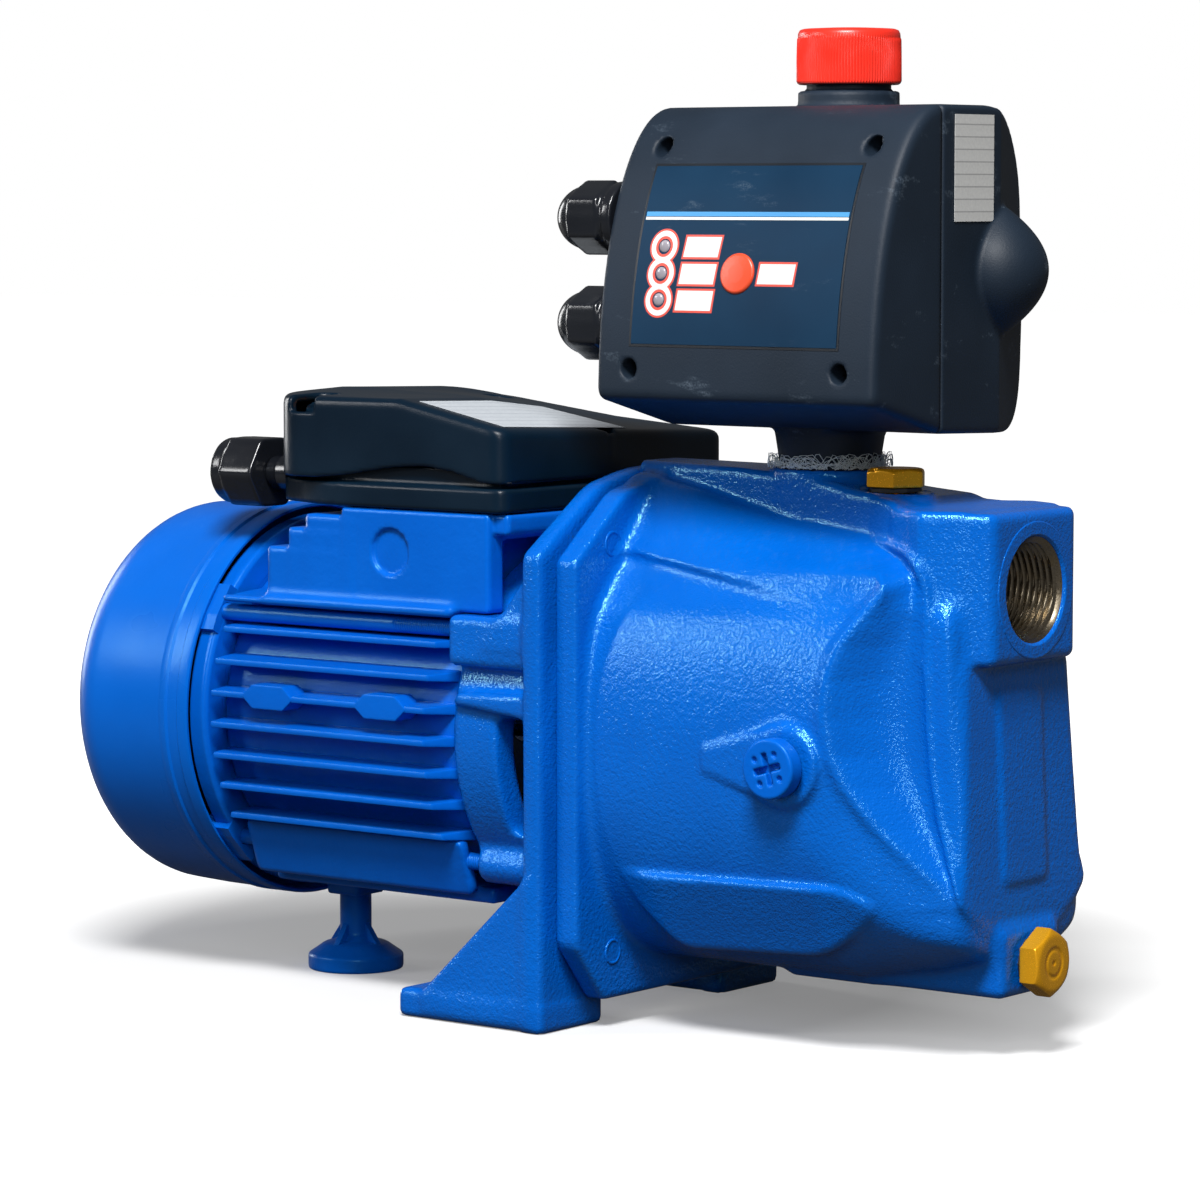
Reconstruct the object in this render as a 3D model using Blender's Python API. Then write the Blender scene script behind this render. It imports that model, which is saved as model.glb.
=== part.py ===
"""Self-priming jet pump with a finned motor and a flow controller on its outlet.

Metres, +Z up. The shaft lies along X, the suction port faces +X and the feet stand on Z = 0.
Places along X are measured from the joint of bracket and casing. The assembly empty then
centres the whole pump over the origin.
"""

import math

import bmesh
import bpy
from mathutils import Matrix, Vector

# Fits shared by all pieces
SEAT_GAP = 0.0003
RUN_GAP = 0.0004
WIDE_SIDES = 36
ROUND_SIDES = 20
SMALL_SIDES = 12

# Shaft line
SHAFT_HEIGHT = 0.097
SHAFT_RADIUS = 0.0075
CORE_SEAT_RADIUS = 0.009
THREAD_END_RADIUS = 0.005

# Casing flange
FLANGE_HALF_WIDTH = 0.062
FLANGE_THICKNESS = 0.0105
FLANGE_LOW_DROP = 0.087
FLANGE_LOW = SHAFT_HEIGHT - FLANGE_LOW_DROP
FLANGE_HIGH_RISE = 0.088
FLANGE_HIGH = SHAFT_HEIGHT + FLANGE_HIGH_RISE
FLANGE_FOOT_HALF = 0.046
FLANGE_LOW_CHAMFER = 0.020
FLANGE_HIGH_CHAMFER = 0.027
FLANGE_TOP_HALF = 0.0345
FLANGE_TOP_FALL = 0.005
FLANGE_CROWN_HALF = 0.0105
BOLT_SPREAD = 0.042
BOLT_HIGH_RISE = 0.066
BOLT_HIGH = SHAFT_HEIGHT + BOLT_HIGH_RISE
BOLT_LOW_DROP = 0.071
BOLT_LOW = SHAFT_HEIGHT - BOLT_LOW_DROP
BOLT_RADIUS = 0.0039
BOLT_HEAD_RADIUS = 0.0075
BOLT_HEAD_HEIGHT = 0.0053

# Casing barrel, shoulder and nose
CASING_HALF_WIDTH = 0.057
CASING_LOW_DROP = 0.076
CASING_LOW = SHAFT_HEIGHT - CASING_LOW_DROP
CASING_HIGH_RISE = 0.075
CASING_HIGH = SHAFT_HEIGHT + CASING_HIGH_RISE
CASING_SQUARENESS = 2.4
CASING_WALL = 0.007
SHOULDER_START = 0.098
SHOULDER_END_MARGIN = 0.032
SHOULDER_END = SHOULDER_START + SHOULDER_END_MARGIN
NOSE_HALF_WIDTH = 0.034
NOSE_LOW_DROP = 0.064
NOSE_LOW = SHAFT_HEIGHT - NOSE_LOW_DROP
NOSE_FRONT_MARGIN = 0.017
NOSE_FRONT = SHOULDER_END + NOSE_FRONT_MARGIN
NOSE_LEAN = 0.047
PANEL_TOP_HALF = 0.028
PANEL_LOW_HALF = 0.037
PANEL_BEND_HEIGHT_DROP = 0.037
PANEL_BEND_HEIGHT = SHAFT_HEIGHT - PANEL_BEND_HEIGHT_DROP
PANEL_CORNER_HEIGHT_DROP = 0.056
PANEL_CORNER_HEIGHT = SHAFT_HEIGHT - PANEL_CORNER_HEIGHT_DROP
PANEL_FOOT_HALF = 0.020
PANEL_FOOT_HEIGHT_DROP = 0.062
PANEL_FOOT_HEIGHT = SHAFT_HEIGHT - PANEL_FOOT_HEIGHT_DROP
MOUTH_RADIUS = 0.049
PARTITION = 0.006
PARTITION_FRONT_MARGIN = 0.012
PARTITION_FRONT = SHOULDER_START + PARTITION_FRONT_MARGIN
CHAMBER_HALF_WIDTH_INSET = 0.014
CHAMBER_HALF_WIDTH = NOSE_HALF_WIDTH - CHAMBER_HALF_WIDTH_INSET
CHAMBER_LOW_DROP = 0.025
CHAMBER_LOW = SHAFT_HEIGHT - CHAMBER_LOW_DROP
CHAMBER_HIGH_RISE = 0.069
CHAMBER_HIGH = SHAFT_HEIGHT + CHAMBER_HIGH_RISE
CHAMBER_FRONT_INSET = 0.011
CHAMBER_FRONT = NOSE_FRONT - CHAMBER_FRONT_INSET

# Ports and bosses of the casing
PORT_FACE_MARGIN = 0.003
PORT_FACE = NOSE_FRONT + PORT_FACE_MARGIN
PORT_HEIGHT_RISE = 0.055
PORT_HEIGHT = SHAFT_HEIGHT + PORT_HEIGHT_RISE
PORT_RADIUS = 0.0166
PORT_FACE_RADIUS_MARGIN = 0.0059
PORT_FACE_RADIUS = PORT_RADIUS + PORT_FACE_RADIUS_MARGIN
PORT_FACE_DEPTH = 0.0005
PORT_BOSS_HALF_MARGIN = 0.0015
PORT_BOSS_HALF = PORT_FACE_RADIUS + PORT_BOSS_HALF_MARGIN
PORT_BOSS_LOW_DROP = 0.023
PORT_BOSS_LOW = PORT_HEIGHT - PORT_BOSS_LOW_DROP
PORT_BOSS_HIGH_RISE = 0.026
PORT_BOSS_HIGH = PORT_HEIGHT + PORT_BOSS_HIGH_RISE
PORT_BOSS_ROUND = 0.007
SPINE_HIGH_RISE = 0.092
SPINE_HIGH = SHAFT_HEIGHT + SPINE_HIGH_RISE
SPINE_FALL = 0.012
SPINE_REAR_HALF = 0.011
SPINE_FRONT_HALF = 0.0235
SPINE_END_INSET = 0.025
SPINE_END = PORT_FACE - SPINE_END_INSET
OUTLET_PLACE = 0.069
OUTLET_RADIUS = 0.0166
OUTLET_BOSS_RADIUS_MARGIN = 0.0049
OUTLET_BOSS_RADIUS = OUTLET_RADIUS + OUTLET_BOSS_RADIUS_MARGIN
OUTLET_FACE_DROP = 0.0005
OUTLET_FACE = SPINE_HIGH - OUTLET_FACE_DROP
KEEL_HALF_WIDTH = 0.017
KEEL_LOW_DROP = 0.0765
KEEL_LOW = SHAFT_HEIGHT - KEEL_LOW_DROP
KEEL_HIGH_DROP = 0.055
KEEL_HIGH = SHAFT_HEIGHT - KEEL_HIGH_DROP
KEEL_START_INSET = 0.036
KEEL_START = SHOULDER_START - KEEL_START_INSET
KEEL_FRONT_MARGIN = 0.002
KEEL_FRONT = NOSE_FRONT + KEEL_FRONT_MARGIN

# Screwed plugs: thread, washer and head
PLUG_RADIUS = 0.0065
PLUG_LENGTH = 0.011
WASHER_RADIUS = 0.0085
WASHER_THICKNESS = 0.0012
PLUG_HEX_RADIUS = 0.0105
PLUG_HEAD_HEIGHT = 0.0062
DRAIN_HEAD_HEIGHT = 0.0072
PRIMING_PLACE = 0.1007
PRIMING_SIDE = -0.008
PRIMING_FACE_DROP = 0.007
PRIMING_FACE = SPINE_HIGH - PRIMING_FACE_DROP
DRAIN_HEIGHT_DROP = 0.0655
DRAIN_HEIGHT = SHAFT_HEIGHT - DRAIN_HEIGHT_DROP
GAUGE_PLACE = 0.0915
GAUGE_HEIGHT_DROP = 0.001
GAUGE_HEIGHT = SHAFT_HEIGHT - GAUGE_HEIGHT_DROP
GAUGE_FACE = -0.0592
GAUGE_BOSS_RADIUS = 0.0125
GAUGE_HEAD_RADIUS = 0.0098

# Hydraulic parts inside the casing
SEAL_RADIUS = 0.0125
SEAL_SEAT_DEPTH = 0.005
SEAL_HEAD_LENGTH = 0.0085
IMPELLER_RADIUS = 0.042
IMPELLER_WIDTH = 0.010
IMPELLER_EYE = 0.013
IMPELLER_HUB = 0.0045
IMPELLER_NECK = 0.003
VANE_COUNT = 6
VANE_SLOT = 0.010
DIFFUSER_RADIUS = 0.0475
DIFFUSER_WALL = 0.0035
DIFFUSER_LENGTH = 0.034
VENTURI_RADIUS = 0.012
VENTURI_BORE = 0.0075
VENTURI_THROAT = 0.005
NOZZLE_LENGTH = 0.022
NOZZLE_TIP = 0.0045
NOZZLE_BORE = 0.0025
NOZZLE_FLANGE = 0.013
O_RING_RADIUS = 0.054
O_RING_SECTION = 0.002

# Bracket
BRACKET_FLANGE = 0.008
BRACKET_MARGIN = 0.006
BRACKET_TOP_MARGIN = 0.002
DRUM_RADIUS = 0.063
DRUM_WALL = 0.011
DRUM_LENGTH = 0.042
FOOT_LENGTH = 0.062
FOOT_THICKNESS = 0.010
FEET_GAP_HALF = 0.034
FEET_ARCH = FOOT_THICKNESS
GUSSET_THICKNESS = 0.010
GUSSET_HIGH = 0.050
GUSSET_REACH_INSET = 0.0114
GUSSET_REACH = FOOT_LENGTH - GUSSET_REACH_INSET
FOOT_HOLE_RADIUS = 0.0045
FOOT_HOLE_PLACE_INSET = 0.017
FOOT_HOLE_PLACE = FOOT_HOLE_PLACE_INSET - FOOT_LENGTH
FOOT_HOLE_SIDE_MARGIN = 0.015
FOOT_HOLE_SIDE = FEET_GAP_HALF + FOOT_HOLE_SIDE_MARGIN
WINDOW_HALF_HEIGHT = 0.019
WINDOW_WIDTH = 0.016
LUG_RADIUS = 0.009

# Bearings
BEARING_RADIUS = 0.0175
BEARING_WIDTH = 0.011
BEARING_RACE = 0.0043
BEARING_HUB_WALL = 0.006
FRONT_BEARING_PLACE_INSET = 0.019
FRONT_BEARING_PLACE = FRONT_BEARING_PLACE_INSET - DRUM_LENGTH

# Rotor, stator and windings
CORE_LENGTH = 0.070
ROTOR_RADIUS = 0.0275
AIR_GAP = 0.0005
WINDING_INNER_MARGIN = 0.0035
WINDING_INNER = ROTOR_RADIUS + WINDING_INNER_MARGIN
WINDING_SPACE = 0.0047
WINDING_LENGTH = 0.014

# Motor housing
HOUSING_RADIUS_INSET = 0.006
HOUSING_RADIUS = DRUM_RADIUS - HOUSING_RADIUS_INSET
HOUSING_WALL = 0.005
HOUSING_LENGTH_MARGIN = 0.010
HOUSING_LENGTH = CORE_LENGTH + 2 * WINDING_LENGTH + HOUSING_LENGTH_MARGIN
FIN_RADIUS_MARGIN = 0.011
FIN_RADIUS = HOUSING_RADIUS + FIN_RADIUS_MARGIN
FIN_PITCH = 0.011
FIN_THICKNESS = 0.0026
FIN_COUNT = 8
FIN_TOP_RISE = 0.041
FIN_TOP = SHAFT_HEIGHT + FIN_TOP_RISE
FIN_END_GAP = 0.0015
FIN_PAD_REAR_INSET = 0.0293
FIN_PAD_FRONT_INSET = 0.0277
FIN_PAD_WIDTH = 0.024
FIN_PAD_HEIGHT = 0.009
FIN_PAD_DEPTH = 0.008
SKIRT_HIGH_DROP = 0.0355
SKIRT_HIGH = SHAFT_HEIGHT - SKIRT_HIGH_DROP
SKIRT_LOW_DROP = 0.001
SKIRT_LOW = SHAFT_HEIGHT - HOUSING_RADIUS - SKIRT_LOW_DROP
SKIRT_FOOT_HALF_INSET = 0.009
SKIRT_FOOT_HALF = HOUSING_RADIUS - SKIRT_FOOT_HALF_INSET
SKIRT_THICKNESS = 0.0035
PEDESTAL_HALF_WIDTH_MARGIN = 0.0025
PEDESTAL_HALF_WIDTH = HOUSING_RADIUS + PEDESTAL_HALF_WIDTH_MARGIN
PEDESTAL_TOP_RISE = 0.075
PEDESTAL_TOP = SHAFT_HEIGHT + PEDESTAL_TOP_RISE
PEDESTAL_LOW_DROP = 0.026
PEDESTAL_LOW = PEDESTAL_TOP - PEDESTAL_LOW_DROP
PEDESTAL_LENGTH = 0.0517
PEDESTAL_OVERHANG = 0.0203
PEDESTAL_STEP_INSET = 0.0243
PEDESTAL_WALL = 0.009
PEDESTAL_ROOF = 0.0095
PEDESTAL_STEP_TOP_DROP = 0.015
PEDESTAL_STEP_TOP = PEDESTAL_TOP - PEDESTAL_STEP_TOP_DROP
PEDESTAL_STEP_SIDE = 0.006
WIRE_HOLE = 0.012

# Tie rods
ROD_RADIUS = 0.003
ROD_HIGH_SIDE_INSET = 0.002
ROD_HIGH_SIDE = HOUSING_RADIUS - ROD_HIGH_SIDE_INSET
ROD_HIGH_RISE = FIN_TOP - FIN_PITCH / 2 - SHAFT_HEIGHT
ROD_LOW_SIDE_INSET = 0.011
ROD_LOW_SIDE = HOUSING_RADIUS - ROD_LOW_SIDE_INSET
ROD_LOW_DROP_INSET = 0.012
ROD_LOW_DROP = HOUSING_RADIUS - ROD_LOW_DROP_INSET
ROD_ENGAGEMENT = 0.018
ROD_NUT_RADIUS = 0.0037
ROD_NUT_HEIGHT = 0.005

# Rear shield, fan and cover
SHIELD_THICKNESS = 0.012
SHIELD_RADIUS_MARGIN = 0.001
SHIELD_RADIUS = HOUSING_RADIUS + SHIELD_RADIUS_MARGIN
SHIELD_SPIGOT = 0.004
EAR_HALF_WIDTH = 0.009
COVER_RADIUS_MARGIN = 0.014
COVER_RADIUS = HOUSING_RADIUS + COVER_RADIUS_MARGIN
COVER_SHEET = 0.0012
COVER_REAR_RADIUS_INSET = 0.021
COVER_REAR_RADIUS = COVER_RADIUS - COVER_REAR_RADIUS_INSET
COVER_SETBACK = 0.0054
COVER_SHOULDER = 0.019
SLOT_COUNT = 7
SLOT_WIDTH = 0.005
SLOT_PITCH = 0.012
FAN_RADIUS_MARGIN = 0.005
FAN_RADIUS = COVER_REAR_RADIUS + FAN_RADIUS_MARGIN
FAN_HUB_RADIUS = 0.013
FAN_WIDTH = 0.022
FAN_PLATE = 0.0025
FAN_FRONT_SPACE = 0.0058
FAN_REAR_SPACE = 0.024
FAN_BLADES = 7
FAN_BLADE = 0.002

# Support foot under the motor
SUPPORT_INSET = 0.0113
SUPPORT_BOSS_HALF = 0.009
SUPPORT_BOSS_LOW_DROP = 0.075
SUPPORT_BOSS_LOW = SHAFT_HEIGHT - SUPPORT_BOSS_LOW_DROP
SUPPORT_STEM_RADIUS = 0.0057
SUPPORT_STEM_TOP_DROP = 0.063
SUPPORT_STEM_TOP = SHAFT_HEIGHT - SUPPORT_STEM_TOP_DROP
SUPPORT_DISC_RADIUS = 0.01725
SUPPORT_RIM = 0.0053
SUPPORT_CONE = 0.0035
SUPPORT_WEB_HIGH_DROP = 0.005
SUPPORT_WEB_HIGH = SUPPORT_BOSS_LOW - SUPPORT_WEB_HIGH_DROP
SUPPORT_WEB_REACH = 0.0125
SUPPORT_WEB = 0.0025

# Terminal box
BOX_HALF_WIDTH = 0.060
BOX_FAR_WIDTH = 0.065
BOX_LENGTH = 0.109
BOX_CORNER_LONG = 0.030
BOX_CORNER_WIDE = 0.012
BOX_WALL = 0.003
BOX_SEAM_RISE = 0.015
BOX_SEAM = PEDESTAL_TOP + BOX_SEAM_RISE
LID_LIP = 0.003
LID_SLOPE_LENGTH = 0.046
LID_CORNER_LONG = 0.015
LID_CORNER_WIDE = 0.017
LID_RIDGE = -0.015
LID_REAR_TOP = (0.0222, 0.0238, 0.0222)
LID_CORNER_TOP = (0.0226, 0.0240, 0.0185)
LID_KINK_TOP = (0.0228, 0.0215, 0.0120)
LID_FRONT_TOP = (0.0135, 0.0115, 0.0085)
LID_SCREW_RADIUS = 0.0018
LID_SCREW_HEAD = 0.0034
LID_SCREW_HEAD_HEIGHT = 0.0022
LID_SCREW_SINK = 0.006
LID_SCREW_REAR_INSET = 0.020
LID_SCREW_FRONT_INSET = 0.0065
LID_SCREW_SIDE = 0.048
LID_POST = 0.0048
BLOCK_INSET = 0.033
CAPACITOR_INSET = 0.043
BLOCK_SIZE = (0.016, 0.044, 0.013)
CAPACITOR_RADIUS = 0.0115
CAPACITOR_LENGTH = 0.054
BOX_GLAND_SIDE = -0.039
BOX_GLAND_HEIGHT_DROP = 0.0058
BOX_GLAND_HEIGHT = BOX_SEAM - BOX_GLAND_HEIGHT_DROP
BOX_GLAND_THREAD = 0.0044
BOX_GLAND_FLANGE = 0.0057
BOX_GLAND_FLANGE_WIDTH = 0.007
BOX_GLAND_NUT_RADIUS = 0.0130
BOX_GLAND_NUT_LENGTH = 0.0225

# Flow controller
CONTROL_HALF_WIDTH = 0.0553
CONTROL_SEAM = -0.017
CONTROL_LOW_RISE = 0.0135
CONTROL_LOW = OUTLET_FACE + CONTROL_LOW_RISE
CONTROL_HIGH_RISE = 0.1055
CONTROL_HIGH = CONTROL_LOW + CONTROL_HIGH_RISE
CONTROL_REAR = 0.049
CONTROL_LOW_ROUND = 0.018
CONTROL_REAR_ROUND = 0.040
CONTROL_HIGH_ROUND = 0.012
CONTROL_REAR_LEAN = 0.005
CONTROL_LOW_DROP = 0.002
CONTROL_TAPER_START = 0.017
CONTROL_TAPER = 0.0124
FACE_DEPTH = 0.039
FACE_FOOT_RISE = 0.010
FACE_FOOT = CONTROL_LOW + FACE_FOOT_RISE
COVER_WALL = 0.003
BULGE_RADIUS = 0.015
BULGE_HALF_HEIGHT = 0.021
BULGE_SIDE = 0.020
BULGE_HEIGHT_RISE = 0.052
BULGE_HEIGHT = CONTROL_LOW + BULGE_HEIGHT_RISE
SPIGOT_RADIUS = 0.0163
SPIGOT_LENGTH = 0.014
COLLAR_RADIUS = 0.0168
WATER_WAY_RADIUS = 0.013
VALVE_SEAT_RADIUS = 0.0105
VALVE_SEAT_DROP = 0.006
VALVE_SEAT = CONTROL_LOW - VALVE_SEAT_DROP
VALVE_STOP_RISE = 0.028
VALVE_STOP = VALVE_SEAT + VALVE_STOP_RISE
VALVE_STOP_RADIUS = 0.009
VALVE_RADIUS = 0.0125
VALVE_DISC = 0.0032
VALVE_STEM_RADIUS = 0.005
VALVE_STEM = 0.0065
SPRING_RADIUS = 0.0085
SPRING_WIRE = 0.0007
SPRING_TURNS = 5
NECK_OFFSET = 0.010
NECK_RADIUS = 0.015
NECK_BORE = 0.0115
NECK_TOP_RISE = 0.022
NECK_TOP = CONTROL_HIGH + NECK_TOP_RISE
NECK_COLLAR_HEIGHT = 0.0052
CAP_RADIUS = 0.0174
CAP_LOW_RISE = 0.0073
CAP_LOW = CONTROL_HIGH + CAP_LOW_RISE
CAP_ROOF = 0.0025
LINER_THICKNESS = 0.001
PANEL_HALF_WIDTH_INSET = 0.0146
PANEL_HALF_WIDTH = CONTROL_HALF_WIDTH - PANEL_HALF_WIDTH_INSET
PANEL_LOW_RISE = 0.028
PANEL_LOW = CONTROL_LOW + PANEL_LOW_RISE
PANEL_HIGH_DROP = 0.0195
PANEL_HIGH = CONTROL_HIGH - PANEL_HIGH_DROP
PANEL_SHEET = 0.0008
BUTTON_RADIUS = 0.0067
BUTTON_HEIGHT_RISE = 0.0513
BUTTON_HEIGHT = CONTROL_LOW + BUTTON_HEIGHT_RISE
BUTTON_DEPTH = 0.0045
BUTTON_STEM_RADIUS = 0.003
BUTTON_STEM = 0.018
LENS_RADIUS = 0.0022
LENS_SIDE_INSET = 0.0101
LENS_SIDE = LENS_SIDE_INSET - PANEL_HALF_WIDTH
LENS_RISES = (0.0597, 0.0510, 0.0425)
LENS_HEIGHTS = tuple(CONTROL_LOW + rise for rise in LENS_RISES)
LENS_BAR = 0.0022
SCREW_HOLE_RADIUS = 0.0032
SCREW_HOLE_SIDE_INSET = 0.0137
SCREW_HOLE_SIDE = CONTROL_HALF_WIDTH - SCREW_HOLE_SIDE_INSET
SCREW_HOLE_RISE = 0.020
SCREW_HOLE_DROP = 0.0135
SCREW_HOLE_HEIGHTS = (CONTROL_LOW + SCREW_HOLE_RISE, CONTROL_HIGH - SCREW_HOLE_DROP)
BOARD_HALF_WIDTH_INSET = 0.0133
BOARD_HALF_WIDTH = CONTROL_HALF_WIDTH - BOARD_HALF_WIDTH_INSET
BOARD_LOW_RISE = 0.011
BOARD_LOW = CONTROL_LOW + BOARD_LOW_RISE
BOARD_HIGH_DROP = 0.0205
BOARD_HIGH = CONTROL_HIGH - BOARD_HIGH_DROP
BOARD_THICKNESS = 0.0016
BOARD_STAND = 0.005
SWITCH_HALF = 0.0035
SWITCH_TRAVEL = 0.0015
GLAND_RISES = (0.069, 0.034)
GLAND_HEIGHTS = tuple(CONTROL_LOW + rise for rise in GLAND_RISES)
GLAND_SIDE = -0.036
GLAND_LENGTH = 0.0275
GLAND_HEX_RADIUS = 0.0128
GLAND_THREAD = 0.0075

# Places worked out from the sizes above
SHAFT = (0.0, SHAFT_HEIGHT)
DRUM_REAR = -DRUM_LENGTH
HOUSING_FRONT = DRUM_REAR - SEAT_GAP
HOUSING_REAR = HOUSING_FRONT - HOUSING_LENGTH
SHIELD_FRONT = HOUSING_REAR - SEAT_GAP
SHIELD_REAR = SHIELD_FRONT - SHIELD_THICKNESS
CORE_FRONT_INSET = 0.0042
CORE_FRONT = HOUSING_FRONT - WINDING_LENGTH - CORE_FRONT_INSET
CORE_REAR = CORE_FRONT - CORE_LENGTH
STATOR_RADIUS = HOUSING_RADIUS - HOUSING_WALL - SEAT_GAP
WINDING_OUTER = STATOR_RADIUS - WINDING_SPACE
FRONT_BEARING_REAR = FRONT_BEARING_PLACE - BEARING_WIDTH
REAR_BEARING_FRONT = SHIELD_FRONT - 2 * SEAT_GAP
REAR_BEARING_REAR = REAR_BEARING_FRONT - BEARING_WIDTH
SHIELD_HUB_REAR = REAR_BEARING_REAR - BEARING_HUB_WALL
FAN_PLACE = SHIELD_HUB_REAR - FAN_FRONT_SPACE
COVER_FRONT = SHIELD_FRONT - COVER_SETBACK
COVER_REAR = FAN_PLACE - FAN_WIDTH - FAN_REAR_SPACE
FIN_PAD_PLACES = (HOUSING_REAR + FIN_PAD_REAR_INSET, HOUSING_FRONT - FIN_PAD_FRONT_INSET)
PEDESTAL_FRONT = HOUSING_FRONT + PEDESTAL_OVERHANG
PEDESTAL_REAR = HOUSING_FRONT - PEDESTAL_LENGTH
PEDESTAL_STEP_REAR = HOUSING_REAR + PEDESTAL_STEP_INSET
SUPPORT_PLACE = HOUSING_REAR + SUPPORT_INSET
BOX_FRONT = PEDESTAL_FRONT
BOX_REAR = BOX_FRONT - BOX_LENGTH
LID_REAR = BOX_REAR - LID_LIP
LID_KINK = BOX_FRONT - LID_SLOPE_LENGTH
LID_SCREW_REAR = BOX_REAR + LID_SCREW_REAR_INSET
LID_SCREW_FRONT = BOX_FRONT - LID_SCREW_FRONT_INSET
BLOCK_PLACE = BOX_FRONT - BLOCK_INSET
CAPACITOR_PLACE = BOX_REAR + CAPACITOR_INSET
SEAL_FRONT = SEAT_GAP + SEAL_HEAD_LENGTH
IMPELLER_REAR = SEAL_FRONT + SEAT_GAP
IMPELLER_FRONT = IMPELLER_REAR + IMPELLER_WIDTH
NUT_REAR = IMPELLER_REAR + IMPELLER_HUB + SEAT_GAP
PARTITION_REAR = PARTITION_FRONT - PARTITION
ROD_PLACES = (
    (ROD_HIGH_SIDE, SHAFT_HEIGHT + ROD_HIGH_RISE),
    (-ROD_HIGH_SIDE, SHAFT_HEIGHT + ROD_HIGH_RISE),
    (ROD_LOW_SIDE, SHAFT_HEIGHT - ROD_LOW_DROP),
    (-ROD_LOW_SIDE, SHAFT_HEIGHT - ROD_LOW_DROP),
)
BOLT_PLACES = (
    (BOLT_SPREAD, BOLT_HIGH),
    (-BOLT_SPREAD, BOLT_HIGH),
    (BOLT_SPREAD, BOLT_LOW),
    (-BOLT_SPREAD, BOLT_LOW),
)
BOX_FLOOR = PEDESTAL_TOP + SEAT_GAP
BODY_SEAM = CONTROL_SEAM + SEAT_GAP / 2
FRONT_SEAM = CONTROL_SEAM - SEAT_GAP / 2
FACE_RISE = CONTROL_HIGH - FACE_FOOT
OUTLET = (OUTLET_PLACE, 0.0)
NECK = (OUTLET_PLACE, NECK_OFFSET)
DRAIN_FRONT = KEEL_FRONT + 2 * SEAT_GAP + WASHER_THICKNESS + DRAIN_HEAD_HEIGHT
CENTRE_SHIFT = -(COVER_REAR + DRAIN_FRONT) / 2


# Tools for making, joining and cutting closed solids

def solid(bm):
    """A loose object for a closed mesh, with its faces turned outwards."""
    bmesh.ops.recalc_face_normals(bm, faces=bm.faces)
    mesh = bpy.data.meshes.new("solid")
    bm.to_mesh(mesh)
    bm.free()
    body = bpy.data.objects.new("solid", mesh)
    bpy.context.collection.objects.link(body)
    return body


def along(axis, distance, first, second):
    """A point at a distance along an axis, with its other two coordinates in X, Y, Z order."""
    if axis == "X":
        return Vector((distance, first, second))
    if axis == "Y":
        return Vector((first, distance, second))
    return Vector((first, second, distance))


def loft(rings):
    """A solid through rings of as many points each, with both ends closed."""
    bm = bmesh.new()
    rows = [[bm.verts.new(point) for point in ring] for ring in rings]
    count = len(rows[0])
    for row, following in zip(rows, rows[1:]):
        for k in range(count):
            n = (k + 1) % count
            bm.faces.new((row[k], row[n], following[n], following[k]))
    bm.faces.new(rows[0])
    bm.faces.new(reversed(rows[-1]))
    return solid(bm)


def prism(outline, axis, start, end):
    """An outline of two coordinates, run along an axis from start to end."""
    return loft([[along(axis, place, a, b) for a, b in outline] for place in (start, end)])


def block(low, high):
    """A box between two corners."""
    outline = ((low[0], low[1]), (high[0], low[1]), (high[0], high[1]), (low[0], high[1]))
    return prism(outline, "Z", low[2], high[2])


def circle(axis, distance, centre, radius, sides, phase=0.0):
    """Points round an axis at one place along it."""
    points = []
    for k in range(sides):
        angle = 2 * math.pi * (k + phase) / sides
        first = centre[0] + radius * math.cos(angle)
        second = centre[1] + radius * math.sin(angle)
        points.append(along(axis, distance, first, second))
    return points


def turned(profile, axis, centre, sides=ROUND_SIDES):
    """A round solid from pairs of place along the axis and radius."""
    return loft([circle(axis, place, centre, radius, sides) for place, radius in profile])


def bar(axis, start, end, radius, centre, sides=ROUND_SIDES):
    """A plain round bar."""
    return turned(((start, radius), (end, radius)), axis, centre, sides)


def turned_ring(profile, axis, centre, sides=ROUND_SIDES):
    """A round solid with a hole: its profile is a closed loop of place and radius."""
    bm = bmesh.new()
    rows = []
    for place, radius in profile:
        rows.append([bm.verts.new(p) for p in circle(axis, place, centre, radius, sides)])
    for row, following in zip(rows, rows[1:] + rows[:1]):
        for k in range(sides):
            n = (k + 1) % sides
            bm.faces.new((row[k], row[n], following[n], following[k]))
    return solid(bm)


def ring(axis, start, end, inner, outer, centre, sides=ROUND_SIDES):
    """A plain ring between two radii."""
    return turned_ring(((start, inner), (start, outer), (end, outer), (end, inner)), axis, centre, sides)


def hexagon(axis, start, end, centre, radius, phase=0.5):
    """A hexagonal bar, its radius taken to the corners."""
    return loft([circle(axis, place, centre, radius, 6, phase) for place in (start, end)])


def rounded(corners, steps=4):
    """An outline whose corners, given as two coordinates and a radius, are rounded by arcs."""
    outline = []
    for k, (a, b, radius) in enumerate(corners):
        here = Vector((a, b))
        if radius == 0.0:
            outline.append((a, b))
            continue
        back = (Vector(corners[k - 1][:2]) - here).normalized()
        ahead = (Vector(corners[(k + 1) % len(corners)][:2]) - here).normalized()
        half = back.angle(ahead) / 2
        middle = here + (back + ahead).normalized() * (radius / math.sin(half))
        start = here + back * (radius / math.tan(half)) - middle
        end = here + ahead * (radius / math.tan(half)) - middle
        for step in range(steps + 1):
            share = step / steps
            reach = (start * (1 - share) + end * share).normalized() * radius
            outline.append(tuple(middle + reach))
    return outline


def combine(body, tool, operation):
    """Join a tool to a body or cut it away, then drop the tool."""
    change = body.modifiers.new("combine", "BOOLEAN")
    change.operation = operation
    change.solver = "EXACT"
    change.object = tool
    graph = bpy.context.evaluated_depsgraph_get()
    mesh = bpy.data.meshes.new_from_object(body.evaluated_get(graph))
    body.modifiers.clear()
    body.data = mesh
    bpy.data.objects.remove(tool)


def join(body, *tools):
    for tool in tools:
        combine(body, tool, "UNION")
    return body


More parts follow.
